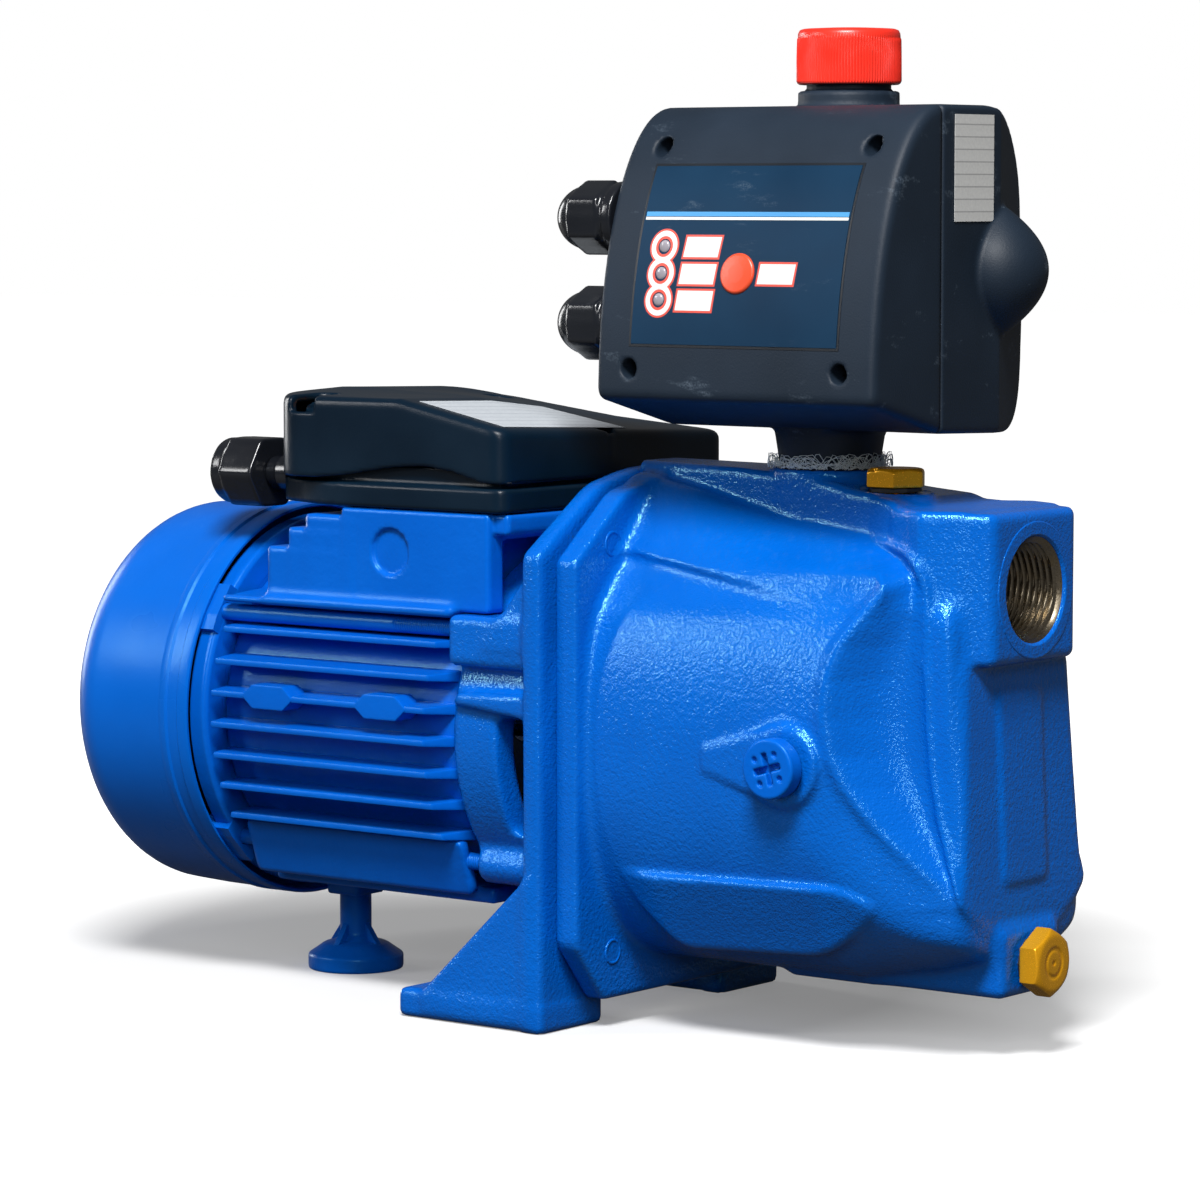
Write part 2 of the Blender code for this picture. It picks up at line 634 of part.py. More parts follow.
def cut(body, *tools):
    for tool in tools:
        combine(body, tool, "DIFFERENCE")
    return body


def finish(name, color, roughness, metallic=0.0):
    """A material with one colour."""
    material = bpy.data.materials.new(name)
    material.use_nodes = True
    shader = material.node_tree.nodes["Principled BSDF"]
    shader.inputs["Base Color"].default_value = (*color, 1.0)
    shader.inputs["Roughness"].default_value = roughness
    shader.inputs["Metallic"].default_value = metallic
    return material


for old in list(bpy.data.objects):
    bpy.data.objects.remove(old, do_unlink=True)

CAST_BLUE = finish("cast blue paint", (0.0, 0.095, 0.62), 0.32)
MOTOR_BLUE = finish("motor blue paint", (0.0, 0.085, 0.56), 0.4)
BOX_BLACK = finish("box black plastic", (0.012, 0.018, 0.028), 0.38)
CONTROL_BLACK = finish("controller black plastic", (0.02, 0.025, 0.035), 0.55)
CAP_RED = finish("red plastic", (0.85, 0.03, 0.02), 0.4)
SIGNAL_RED = finish("orange red plastic", (0.85, 0.09, 0.04), 0.5)
BRASS = finish("brass", (0.78, 0.5, 0.12), 0.3, 1.0)
STEEL = finish("steel", (0.55, 0.56, 0.58), 0.35, 1.0)
CORE_STEEL = finish("core steel", (0.35, 0.36, 0.38), 0.5, 1.0)
COPPER = finish("copper", (0.7, 0.3, 0.14), 0.4, 1.0)
RUBBER = finish("rubber", (0.02, 0.02, 0.02), 0.8)
CERAMIC = finish("ceramic", (0.75, 0.74, 0.7), 0.4)
LIGHT_PLASTIC = finish("light plastic", (0.5, 0.5, 0.47), 0.5)
LENS_PLASTIC = finish("lens plastic", (0.45, 0.42, 0.5), 0.25)
PANEL_BLUE = finish("face panel", (0.02, 0.035, 0.06), 0.5)
BOARD_GREEN = finish("circuit board", (0.03, 0.2, 0.07), 0.5)

assembly = bpy.data.objects.new("pump_assembly", None)
assembly.location = (CENTRE_SHIFT, 0.0, 0.0)
bpy.context.collection.objects.link(assembly)


def piece(name, body, material, origin=(0.0, 0.0, SHAFT_HEIGHT)):
    """Name a finished solid, give it its material and hang it in the assembly by its origin."""
    bm = bmesh.new()
    bm.from_mesh(body.data)
    bmesh.ops.remove_doubles(bm, verts=bm.verts, dist=2e-6)
    bmesh.ops.dissolve_degenerate(bm, edges=bm.edges, dist=1e-6)
    bmesh.ops.translate(bm, verts=bm.verts, vec=-Vector(origin))
    bm.to_mesh(body.data)
    bm.free()
    body.data.materials.clear()
    body.data.materials.append(material)
    body.data.shade_smooth()
    body.data.set_sharp_from_angle(angle=math.radians(32))
    body.name = name
    body.data.name = name
    body.location = origin
    body.parent = assembly
    return body


# Casing

def mirrored(half):
    """A closed outline from its right half, listed upwards, and its mirror image."""
    return list(half) + [(-a, b) for a, b in reversed(half)]


def flange_half(half_width, high):
    """The flange's edge from its side up to its crown."""
    return [
        (half_width, high - FLANGE_HIGH_CHAMFER),
        (FLANGE_TOP_HALF, high - FLANGE_TOP_FALL),
        (FLANGE_CROWN_HALF, high),
    ]


def casing_size(place):
    """Half width and lowest point of the casing where its shoulder draws in to the nose."""
    share = (place - SHOULDER_START) / (SHOULDER_END - SHOULDER_START)
    share = min(max(share, 0.0), 1.0)
    ease = share * share * (3 - 2 * share)
    half = CASING_HALF_WIDTH + (NOSE_HALF_WIDTH - CASING_HALF_WIDTH) * ease
    low = CASING_LOW + (NOSE_LOW - CASING_LOW) * ease
    return half, low


def oval(place, half, low, high, sides=ROUND_SIDES):
    """One squarish oval across the shaft."""
    points = []
    for k in range(sides):
        angle = 2 * math.pi * k / sides
        c = math.cos(angle)
        s = math.sin(angle)
        across = half * math.copysign(abs(c) ** (2 / CASING_SQUARENESS), c)
        up = (high - low) / 2 * math.copysign(abs(s) ** (2 / CASING_SQUARENESS), s)
        points.append(Vector((place, across, (high + low) / 2 + up)))
    return points


def casing_barrel(start, end, wall):
    """The barrel with its shoulder, taken in by a wall all round."""
    shoulder = SHOULDER_START - wall
    stations = [start, shoulder]
    steps = 6
    for step in range(1, steps + 1):
        stations.append(shoulder + (end - shoulder) * step / steps)
    rings = []
    for place in stations:
        half, low = casing_size(place + wall)
        rings.append(oval(place, half - wall, low + wall, CASING_HIGH - wall))
    return loft(rings)


def nose():
    """The upright nose: a panel leaning back towards its top, run back into the barrel."""
    half = [
        (PANEL_FOOT_HALF, PANEL_FOOT_HEIGHT),
        (PANEL_LOW_HALF, PANEL_CORNER_HEIGHT),
        (PANEL_LOW_HALF, PANEL_BEND_HEIGHT),
        (PANEL_TOP_HALF, CASING_HIGH - SEAT_GAP),
    ]
    outline = mirrored(half)
    back = SHOULDER_START + SEAT_GAP
    rear = [Vector((back, y, z)) for y, z in outline]
    front = [Vector((NOSE_FRONT - (z - PANEL_CORNER_HEIGHT) * NOSE_LEAN, y, z)) for y, z in outline]
    return loft([rear, front])


def spine():
    """The raised back that carries the outlet, from the flange down to the suction boss."""
    rings = []
    low = (SHAFT_HEIGHT + CASING_HIGH) / 2
    for place, half, high in (
        (FLANGE_THICKNESS / 2, SPINE_REAR_HALF, SPINE_HIGH),
        (SPINE_END, SPINE_FRONT_HALF, SPINE_HIGH - SPINE_FALL),
    ):
        rings.append([
            Vector((place, -half, low)),
            Vector((place, half, low)),
            Vector((place, half, high)),
            Vector((place, -half, high)),
        ])
    return loft(rings)


def suction_boss():
    corners = (
        (-PORT_BOSS_HALF, PORT_BOSS_LOW, PORT_BOSS_ROUND),
        (PORT_BOSS_HALF, PORT_BOSS_LOW, PORT_BOSS_ROUND),
        (PORT_BOSS_HALF, PORT_BOSS_HIGH, PORT_BOSS_ROUND),
        (-PORT_BOSS_HALF, PORT_BOSS_HIGH, PORT_BOSS_ROUND),
    )
    return prism(rounded(corners), "X", PARTITION_FRONT + CASING_WALL, PORT_FACE)


def keel():
    """The low block that carries the drain plug."""
    low = (KEEL_START, -KEEL_HALF_WIDTH, KEEL_LOW)
    return block(low, (KEEL_FRONT, KEEL_HALF_WIDTH, KEEL_HIGH))


def make_pump_body():
    plate = [(FLANGE_FOOT_HALF, FLANGE_LOW), (FLANGE_HALF_WIDTH, FLANGE_LOW + FLANGE_LOW_CHAMFER)]
    plate += flange_half(FLANGE_HALF_WIDTH, FLANGE_HIGH)
    body = prism(mirrored(plate), "X", SEAT_GAP, FLANGE_THICKNESS)
    deep = SHAFT_HEIGHT + MOUTH_RADIUS
    priming = (PRIMING_PLACE, PRIMING_SIDE)
    drain = (0.0, DRAIN_HEIGHT)
    gauge = (GAUGE_PLACE, GAUGE_HEIGHT)
    bore = PLUG_RADIUS + SEAT_GAP
    boss = WASHER_RADIUS + PLUG_RADIUS / 2
    inside = -CASING_HALF_WIDTH + CASING_WALL
    join(
        body,
        casing_barrel(FLANGE_THICKNESS / 2, SHOULDER_END, 0.0),
        nose(),
        spine(),
        suction_boss(),
        keel(),
        bar("Z", deep, OUTLET_FACE, OUTLET_BOSS_RADIUS, OUTLET),
        bar("Z", deep, PRIMING_FACE, boss, priming, SMALL_SIDES),
        turned(
            ((GAUGE_FACE, GAUGE_BOSS_RADIUS), (inside, GAUGE_BOSS_RADIUS + CASING_WALL / 2)),
            "Y", gauge, SMALL_SIDES,
        ),
    )
    chamber_low = (PARTITION_FRONT, -CHAMBER_HALF_WIDTH, CHAMBER_LOW)
    chamber_high = (CHAMBER_FRONT, CHAMBER_HALF_WIDTH, CHAMBER_HIGH)
    seat = 4 * PLUG_LENGTH
    groove = O_RING_SECTION + SEAT_GAP
    cut(
        body,
        bar("X", -FLANGE_THICKNESS, FLANGE_THICKNESS + CASING_WALL, MOUTH_RADIUS, SHAFT),
        casing_barrel(FLANGE_THICKNESS + CASING_WALL / 2, PARTITION_REAR, CASING_WALL),
        block(chamber_low, chamber_high),
        bar("X", CHAMBER_FRONT - CASING_WALL, 2 * PORT_FACE, PORT_RADIUS, (0, PORT_HEIGHT)),
        bar("X", PORT_FACE - PORT_FACE_DEPTH, 2 * PORT_FACE, PORT_FACE_RADIUS, (0, PORT_HEIGHT)),
        bar("Z", deep, 2 * OUTLET_FACE, OUTLET_RADIUS, OUTLET),
        bar("Z", deep, 2 * PRIMING_FACE, bore, priming, SMALL_SIDES),
        bar("Z", PRIMING_FACE, 2 * PRIMING_FACE, 1.2 * boss, priming, SMALL_SIDES),
        bar("Y", 2 * GAUGE_FACE, inside + CASING_WALL, bore, gauge, SMALL_SIDES),
        bar("X", KEEL_FRONT - seat, 2 * KEEL_FRONT, bore, drain, SMALL_SIDES),
        bar(
            "X", PARTITION_REAR - CASING_WALL, PARTITION_FRONT + CASING_WALL,
            VENTURI_RADIUS + SEAT_GAP, SHAFT,
        ),
        ring(
            "X", -groove, SEAT_GAP + groove,
            O_RING_RADIUS - groove / 2, O_RING_RADIUS + groove / 2, SHAFT,
        ),
    )
    for place in BOLT_PLACES:
        hole = BOLT_RADIUS + SEAT_GAP
        cut(body, bar("X", -FLANGE_THICKNESS, 2 * FLANGE_THICKNESS, hole, place, SMALL_SIDES))
    return piece("pump_body", body, CAST_BLUE)


# Bracket with both feet

def make_motor_bracket():
    half_width = FLANGE_HALF_WIDTH + BRACKET_MARGIN
    half = [(FEET_GAP_HALF, FEET_ARCH), (FEET_GAP_HALF, 0.0), (half_width, 0.0)]
    half += flange_half(half_width, FLANGE_HIGH + BRACKET_TOP_MARGIN)
    body = prism(mirrored(half), "X", -BRACKET_FLANGE, 0.0)
    middle = -BRACKET_FLANGE / 2
    gusset = (
        (middle, FOOT_THICKNESS / 2),
        (middle, GUSSET_HIGH),
        (-BRACKET_FLANGE, GUSSET_HIGH),
        (-GUSSET_REACH, FOOT_THICKNESS),
        (-GUSSET_REACH, FOOT_THICKNESS / 2),
    )
    hub = BEARING_RADIUS + BEARING_HUB_WALL
    hub_rear = FRONT_BEARING_REAR - 2 * SEAT_GAP
    for side in (-1, 1):
        near, far = sorted((side * FEET_GAP_HALF, side * half_width))
        web = sorted((side * (half_width - GUSSET_THICKNESS), side * half_width))
        join(
            body,
            block((-FOOT_LENGTH, near, 0.0), (middle, far, FOOT_THICKNESS)),
            prism(gusset, "Y", *web),
        )
    drum = ring("X", DRUM_REAR, middle, DRUM_RADIUS - DRUM_WALL, DRUM_RADIUS, SHAFT)
    join(body, drum, bar("X", hub_rear, middle, hub, SHAFT))
    for place in ROD_PLACES:
        join(body, bar("X", DRUM_REAR, middle, LUG_RADIUS, place, SMALL_SIDES))
    window_middle = (DRUM_REAR - BRACKET_FLANGE) / 2
    window = (window_middle - WINDOW_WIDTH / 2, window_middle + WINDOW_WIDTH / 2)
    inner = DRUM_RADIUS - 2 * DRUM_WALL
    for side in (-1, 1):
        near, far = sorted((side * inner, side * 2 * DRUM_RADIUS))
        low = SHAFT_HEIGHT - WINDOW_HALF_HEIGHT
        high = SHAFT_HEIGHT + WINDOW_HALF_HEIGHT
        foot_hole = (FOOT_HOLE_PLACE, side * FOOT_HOLE_SIDE)
        cut(
            body,
            block((window[0], near, low), (window[1], far, high)),
            bar("Z", -FOOT_THICKNESS, 2 * FOOT_THICKNESS, FOOT_HOLE_RADIUS, foot_hole, SMALL_SIDES),
        )
    bearing_bore = BEARING_RADIUS + SEAT_GAP
    shaft_hole = SHAFT_RADIUS + 2 * RUN_GAP
    cut(
        body,
        bar("X", 2 * DRUM_REAR, FRONT_BEARING_PLACE + SEAT_GAP, bearing_bore, SHAFT),
        bar("X", 2 * DRUM_REAR, BRACKET_FLANGE, shaft_hole, SHAFT),
        bar("X", -SEAL_SEAT_DEPTH, BRACKET_FLANGE, SEAL_RADIUS + SEAT_GAP, SHAFT),
    )
    rod_hole = ROD_RADIUS + SEAT_GAP
    for place in ROD_PLACES:
        cut(body, bar("X", 2 * DRUM_REAR, DRUM_REAR + ROD_ENGAGEMENT, rod_hole, place, SMALL_SIDES))
    bolt_hole = BOLT_RADIUS + SEAT_GAP
    for place in BOLT_PLACES:
        cut(body, bar("X", DRUM_REAR, BRACKET_FLANGE, bolt_hole, place, SMALL_SIDES))
    return piece("motor_bracket", body, CAST_BLUE)


def make_body_bolts():
    head_front = -BRACKET_FLANGE - SEAT_GAP
    for number, place in enumerate(BOLT_PLACES, 1):
        bolt = hexagon("X", head_front - BOLT_HEAD_HEIGHT, head_front, place, BOLT_HEAD_RADIUS)
        join(
            bolt,
            bar(
                "X", head_front - BOLT_HEAD_HEIGHT / 2, FLANGE_THICKNESS, BOLT_RADIUS, place, SMALL_SIDES,
            ),
        )
        piece(f"body_bolt_{number}", bolt, STEEL, (0.0, *place))


# Ejector, impeller and shaft seal

def make_hydraulics():
    o_ring = ring(
        "X", SEAT_GAP, SEAT_GAP + O_RING_SECTION,
        O_RING_RADIUS - O_RING_SECTION / 2, O_RING_RADIUS + O_RING_SECTION / 2, SHAFT,
    )
    piece("body_o_ring", o_ring, RUBBER)

    seat = ring("X", -SEAL_SEAT_DEPTH + SEAT_GAP, 0.0, SHAFT_RADIUS + 2 * RUN_GAP, SEAL_RADIUS, SHAFT)
    piece("seal_seat", seat, CERAMIC)
    head = ring("X", SEAT_GAP, SEAL_FRONT, SHAFT_RADIUS + SEAT_GAP, SEAL_RADIUS, SHAFT)
    piece("seal_head", head, STEEL)

    neck = IMPELLER_EYE + IMPELLER_NECK
    hub = IMPELLER_REAR + IMPELLER_HUB
    wheel = turned_ring(
        (
            (IMPELLER_REAR, SHAFT_RADIUS + SEAT_GAP),
            (IMPELLER_REAR, IMPELLER_RADIUS),
            (IMPELLER_FRONT, IMPELLER_RADIUS),
            (IMPELLER_FRONT, neck),
            (IMPELLER_FRONT + IMPELLER_NECK, neck),
            (IMPELLER_FRONT + IMPELLER_NECK, IMPELLER_EYE),
            (hub, IMPELLER_EYE),
            (hub, SHAFT_RADIUS + SEAT_GAP),
        ),
        "X", SHAFT,
    )
    slot_front = (hub + IMPELLER_FRONT) / 2 + IMPELLER_HUB / 4
    for number in range(VANE_COUNT):
        slot = block(
            (hub - IMPELLER_HUB / 4, -VANE_SLOT / 2, IMPELLER_EYE - IMPELLER_NECK / 2),
            (slot_front, VANE_SLOT / 2, 2 * IMPELLER_RADIUS),
        )
        turn = Matrix.Rotation(2 * math.pi * number / VANE_COUNT, 4, "X")
        slot.data.transform(Matrix.Translation((0.0, 0.0, SHAFT_HEIGHT)) @ turn)
        cut(wheel, slot)
    piece("impeller", wheel, BRASS)

    nut = hexagon("X", NUT_REAR, NUT_REAR + IMPELLER_HUB, SHAFT, IMPELLER_EYE - 2 * IMPELLER_NECK)
    bore = THREAD_END_RADIUS + SEAT_GAP
    cut(nut, bar("X", 0.0, 2 * DIFFUSER_LENGTH, bore, SHAFT, SMALL_SIDES))
    piece("impeller_nut", nut, BRASS)

    inner = DIFFUSER_RADIUS - DIFFUSER_WALL
    front = SEAT_GAP + DIFFUSER_LENGTH
    cup = turned_ring(
        (
            (SEAT_GAP, inner),
            (SEAT_GAP, DIFFUSER_RADIUS),
            (front, DIFFUSER_RADIUS),
            (front, VENTURI_BORE),
            (front - 2 * DIFFUSER_WALL, neck),
            (front - 2 * DIFFUSER_WALL, inner),
        ),
        "X", SHAFT,
    )
    piece("diffuser", cup, LIGHT_PLASTIC)

    tube_rear = front + SEAT_GAP
    throat = PARTITION_REAR - 2 * PARTITION
    tube = turned_ring(
        (
            (tube_rear, VENTURI_BORE),
            (tube_rear, VENTURI_RADIUS),
            (PARTITION_FRONT, VENTURI_RADIUS),
            (PARTITION_FRONT, VENTURI_RADIUS - PARTITION / 4),
            (throat, VENTURI_THROAT),
        ),
        "X", SHAFT,
    )
    piece("venturi_tube", tube, LIGHT_PLASTIC)

    nozzle_front = CHAMBER_FRONT - SEAT_GAP
    nozzle_tip = nozzle_front - NOZZLE_LENGTH
    jet = turned_ring(
        (
            (nozzle_tip, NOZZLE_BORE),
            (nozzle_tip, NOZZLE_TIP),
            (nozzle_front - NOZZLE_LENGTH / 4, 2 * NOZZLE_TIP),
            (nozzle_front - NOZZLE_LENGTH / 4, NOZZLE_FLANGE),
            (nozzle_front, NOZZLE_FLANGE),
            (nozzle_front, 2 * NOZZLE_TIP - NOZZLE_BORE),
        ),
        "X", SHAFT,
    )
    piece("nozzle", jet, BRASS)


# Screwed plugs with their sealing washers

def make_plug(name, axis, face, outward, centre, head, material):
    """A plug whose thread fills its bore behind a washer on the boss's face."""
    washer_low = face + outward * SEAT_GAP
    washer_high = washer_low + outward * WASHER_THICKNESS
    head_low = washer_high + outward * SEAT_GAP
    washer = ring(
        axis, *sorted((washer_low, washer_high)),
        PLUG_RADIUS + SEAT_GAP, WASHER_RADIUS, centre, SMALL_SIDES,
    )
    inner_end = face - outward * PLUG_LENGTH
    overlap = head_low + outward * PLUG_HEAD_HEIGHT / 2
    shank = bar(
        axis, min(inner_end, overlap), max(inner_end, overlap), PLUG_RADIUS, centre, SMALL_SIDES,
    )
    plug = join(head, shank)
    origin = along(axis, face, *centre)
    piece(f"{name}_washer", washer, RUBBER, origin)
    piece(f"{name}_plug", plug, material, origin)


def make_plugs():
    lift = 2 * SEAT_GAP + WASHER_THICKNESS
    slot = PLUG_HEAD_HEIGHT / 3

    low = PRIMING_FACE + lift
    high = low + PLUG_HEAD_HEIGHT
    centre = (PRIMING_PLACE, PRIMING_SIDE)
    head = hexagon("Z", low, high, centre, PLUG_HEX_RADIUS)
    cut(head, block(
        (PRIMING_PLACE - 2 * PLUG_HEX_RADIUS, PRIMING_SIDE - slot / 2, high - slot),
        (PRIMING_PLACE + 2 * PLUG_HEX_RADIUS, PRIMING_SIDE + slot / 2, high + slot),
    ))
    make_plug("priming", "Z", PRIMING_FACE, 1, centre, head, BRASS)

    low = KEEL_FRONT + lift
    centre = (0.0, DRAIN_HEIGHT)
    head = hexagon("X", low, DRAIN_FRONT, centre, PLUG_HEX_RADIUS)
    make_plug("drain", "X", KEEL_FRONT, 1, centre, head, BRASS)

    near = GAUGE_FACE - lift
    far = near - PLUG_HEAD_HEIGHT
    centre = (GAUGE_PLACE, GAUGE_HEIGHT)
    head = bar("Y", far, near, GAUGE_HEAD_RADIUS, centre)
    reach = GAUGE_HEAD_RADIUS / 2
    for wide, tall in ((reach, slot / 2), (slot / 2, reach)):
        cut(head, block(
            (GAUGE_PLACE - wide, far - slot, GAUGE_HEIGHT - tall),
            (GAUGE_PLACE + wide, far + slot, GAUGE_HEIGHT + tall),
        ))
    make_plug("gauge", "Y", GAUGE_FACE, -1, centre, head, CAST_BLUE)


# Motor housing

def make_motor_housing():
    body = bar("X", HOUSING_REAR, HOUSING_FRONT, HOUSING_RADIUS, SHAFT, WIDE_SIDES)
    start = HOUSING_REAR + FIN_END_GAP
    end = HOUSING_FRONT - FIN_END_GAP
    half_fin = FIN_THICKNESS / 2
    for number in range(FIN_COUNT):
        height = FIN_TOP - number * FIN_PITCH
        reach = math.sqrt(FIN_RADIUS ** 2 - (height - SHAFT_HEIGHT) ** 2)
        join(body, block((start, -reach, height - half_fin), (end, reach, height + half_fin)))
    pad_height = FIN_TOP - 3 * FIN_PITCH
    pad_reach = math.sqrt(FIN_RADIUS ** 2 - (pad_height - SHAFT_HEIGHT) ** 2)
    for place in FIN_PAD_PLACES:
        wide = FIN_PAD_WIDTH / 2
        tall = FIN_PAD_HEIGHT / 2
        pad = (
            (place - wide, pad_height),
            (place - wide / 2, pad_height - tall),
            (place + wide / 2, pad_height - tall),
            (place + wide, pad_height),
            (place + wide / 2, pad_height + tall),
            (place - wide / 2, pad_height + tall),
        )
        for side in (-1, 1):
            ends = sorted((side * (pad_reach - FIN_PAD_DEPTH), side * (pad_reach + SEAT_GAP)))
            join(body, prism(pad, "Y", *ends))

    skirt_reach = math.sqrt(FIN_RADIUS ** 2 - (SKIRT_HIGH - SHAFT_HEIGHT) ** 2)
    for side in (-1, 1):
        sheet = (
            (side * skirt_reach, SKIRT_HIGH),
            (side * SKIRT_FOOT_HALF, SKIRT_LOW),
            (side * (SKIRT_FOOT_HALF - SKIRT_THICKNESS), SKIRT_LOW),
            (side * (skirt_reach - SKIRT_THICKNESS), SKIRT_HIGH),
        )
        join(body, prism(sheet, "X", start + FIN_END_GAP, end - FIN_END_GAP))
    floor_low = SHAFT_HEIGHT - HOUSING_RADIUS - SKIRT_THICKNESS / 2
    floor_half = SKIRT_FOOT_HALF - SKIRT_THICKNESS / 4
    join(body, block(
        (start + 2 * FIN_END_GAP, -floor_half, floor_low),
        (end - 2 * FIN_END_GAP, floor_half, floor_low + SKIRT_THICKNESS),
    ))

    low = FIN_TOP
    wide = PEDESTAL_HALF_WIDTH
    step = wide - PEDESTAL_STEP_SIDE
    roof = PEDESTAL_TOP - PEDESTAL_ROOF
    join(
        body,
        block((PEDESTAL_REAR, -wide, low), (HOUSING_FRONT - FIN_END_GAP, wide, PEDESTAL_TOP)),
        block((PEDESTAL_STEP_REAR, -step, low), (PEDESTAL_REAR + PEDESTAL_WALL, step, PEDESTAL_STEP_TOP)),
        block((HOUSING_FRONT - PEDESTAL_WALL, -wide, roof), (PEDESTAL_FRONT, wide, PEDESTAL_TOP)),
    )
    for side in (-1, 1):
        near, far = sorted((side * (wide - PEDESTAL_WALL), side * wide))
        join(body, block(
            (HOUSING_FRONT - PEDESTAL_WALL, near, PEDESTAL_LOW),
            (PEDESTAL_FRONT, far, PEDESTAL_TOP),
        ))
    boss = SUPPORT_BOSS_HALF
    join(body, block(
        (SUPPORT_PLACE - boss, -boss, SUPPORT_BOSS_LOW),
        (SUPPORT_PLACE + boss, boss, SHAFT_HEIGHT - HOUSING_RADIUS + HOUSING_WALL / 2),
    ))

    pocket_front = HOUSING_FRONT - PEDESTAL_WALL - FIN_END_GAP
    pocket_floor = SHAFT_HEIGHT + HOUSING_RADIUS + SEAT_GAP
    socket = SUPPORT_STEM_RADIUS + SEAT_GAP
    cut(
        body,
        bar("X", 2 * HOUSING_REAR, HOUSING_LENGTH, STATOR_RADIUS + SEAT_GAP, SHAFT, WIDE_SIDES),
        block(
            (PEDESTAL_REAR + PEDESTAL_WALL, PEDESTAL_WALL - wide, pocket_floor),
            (pocket_front, wide - PEDESTAL_WALL, 2 * PEDESTAL_TOP),
        ),
        bar(
            "Z", SHAFT_HEIGHT, 2 * PEDESTAL_TOP, WIRE_HOLE,
            ((PEDESTAL_REAR + pocket_front) / 2, 0.0), SMALL_SIDES,
        ),
        bar(
            "Z", -SUPPORT_BOSS_LOW, SUPPORT_STEM_TOP + SEAT_GAP, socket,
            (SUPPORT_PLACE, 0.0), SMALL_SIDES,
        ),
    )
    return piece("motor_housing", body, MOTOR_BLUE)


def make_support_foot():
    centre = (SUPPORT_PLACE, 0.0)
    cone = SUPPORT_RIM + SUPPORT_CONE
    foot = turned(
        (
            (0.0, SUPPORT_DISC_RADIUS),
            (SUPPORT_RIM, SUPPORT_DISC_RADIUS),
            (cone, 2 * SUPPORT_STEM_RADIUS),
            (cone, SUPPORT_STEM_RADIUS),
            (SUPPORT_STEM_TOP, SUPPORT_STEM_RADIUS),
        ),
        "Z", centre, SMALL_SIDES,
    )
    for along_x in (True, False):
        web = (
            (-SUPPORT_WEB_REACH, SUPPORT_RIM),
            (SUPPORT_WEB_REACH, SUPPORT_RIM),
            (0.0, SUPPORT_WEB_HIGH + SUPPORT_STEM_RADIUS / 2),
        )
        half = SUPPORT_WEB / 2
        if along_x:
            outline = [(SUPPORT_PLACE + a, b) for a, b in web]
            join(foot, prism(outline, "Y", -half, half))
        else:
            join(foot, prism(web, "X", SUPPORT_PLACE - half, SUPPORT_PLACE + half))
    return piece("support_foot", foot, MOTOR_BLUE, (SUPPORT_PLACE, 0.0, 0.0))


# Rotor, stator, windings and bearings

def make_motor_inside():
    fan_end = FAN_PLACE - FAN_WIDTH
    seat = SHAFT_RADIUS
    shaft = turned(
        (
            (fan_end, seat),
            (CORE_REAR, seat),
            (CORE_REAR, CORE_SEAT_RADIUS),
            (CORE_FRONT, CORE_SEAT_RADIUS),
            (CORE_FRONT, seat),
            (NUT_REAR - SEAT_GAP, seat),
            (NUT_REAR - SEAT_GAP, THREAD_END_RADIUS),
            (NUT_REAR + IMPELLER_HUB + SEAT_GAP, THREAD_END_RADIUS),
        ),
        "X", SHAFT,
    )
    piece("rotor_shaft", shaft, STEEL)
    core = ring("X", CORE_REAR, CORE_FRONT, CORE_SEAT_RADIUS + SEAT_GAP, ROTOR_RADIUS, SHAFT)
    piece("rotor_core", core, CORE_STEEL)
    stator = ring("X", CORE_REAR, CORE_FRONT, ROTOR_RADIUS + AIR_GAP, STATOR_RADIUS, SHAFT, WIDE_SIDES)
    piece("stator_core", stator, CORE_STEEL)
    for name, start, end in (
        ("winding_front", CORE_FRONT + SEAT_GAP, CORE_FRONT + SEAT_GAP + WINDING_LENGTH),
        ("winding_rear", CORE_REAR - SEAT_GAP - WINDING_LENGTH, CORE_REAR - SEAT_GAP),
    ):
        bead = (WINDING_OUTER - WINDING_INNER) / 5
        coil = turned_ring(
            (
                (start, WINDING_INNER + bead),
                (start, WINDING_OUTER - bead),
                (start + bead, WINDING_OUTER),
                (end - bead, WINDING_OUTER),
                (end, WINDING_OUTER - bead),
                (end, WINDING_INNER + bead),
                (end - bead, WINDING_INNER),
                (start + bead, WINDING_INNER),
            ),
            "X", SHAFT,
        )
        piece(name, coil, COPPER)
    race = BEARING_RADIUS - BEARING_RACE
    for name, start, end in (
        ("front_bearing", FRONT_BEARING_REAR, FRONT_BEARING_PLACE),
        ("rear_bearing", REAR_BEARING_REAR, REAR_BEARING_FRONT),
    ):
        outer = ring("X", start, end, race, BEARING_RADIUS, SHAFT)
        inner = ring("X", start, end, SHAFT_RADIUS + SEAT_GAP, race - RUN_GAP, SHAFT)
        piece(f"{name}_outer", outer, STEEL)
        piece(f"{name}_inner", inner, STEEL)


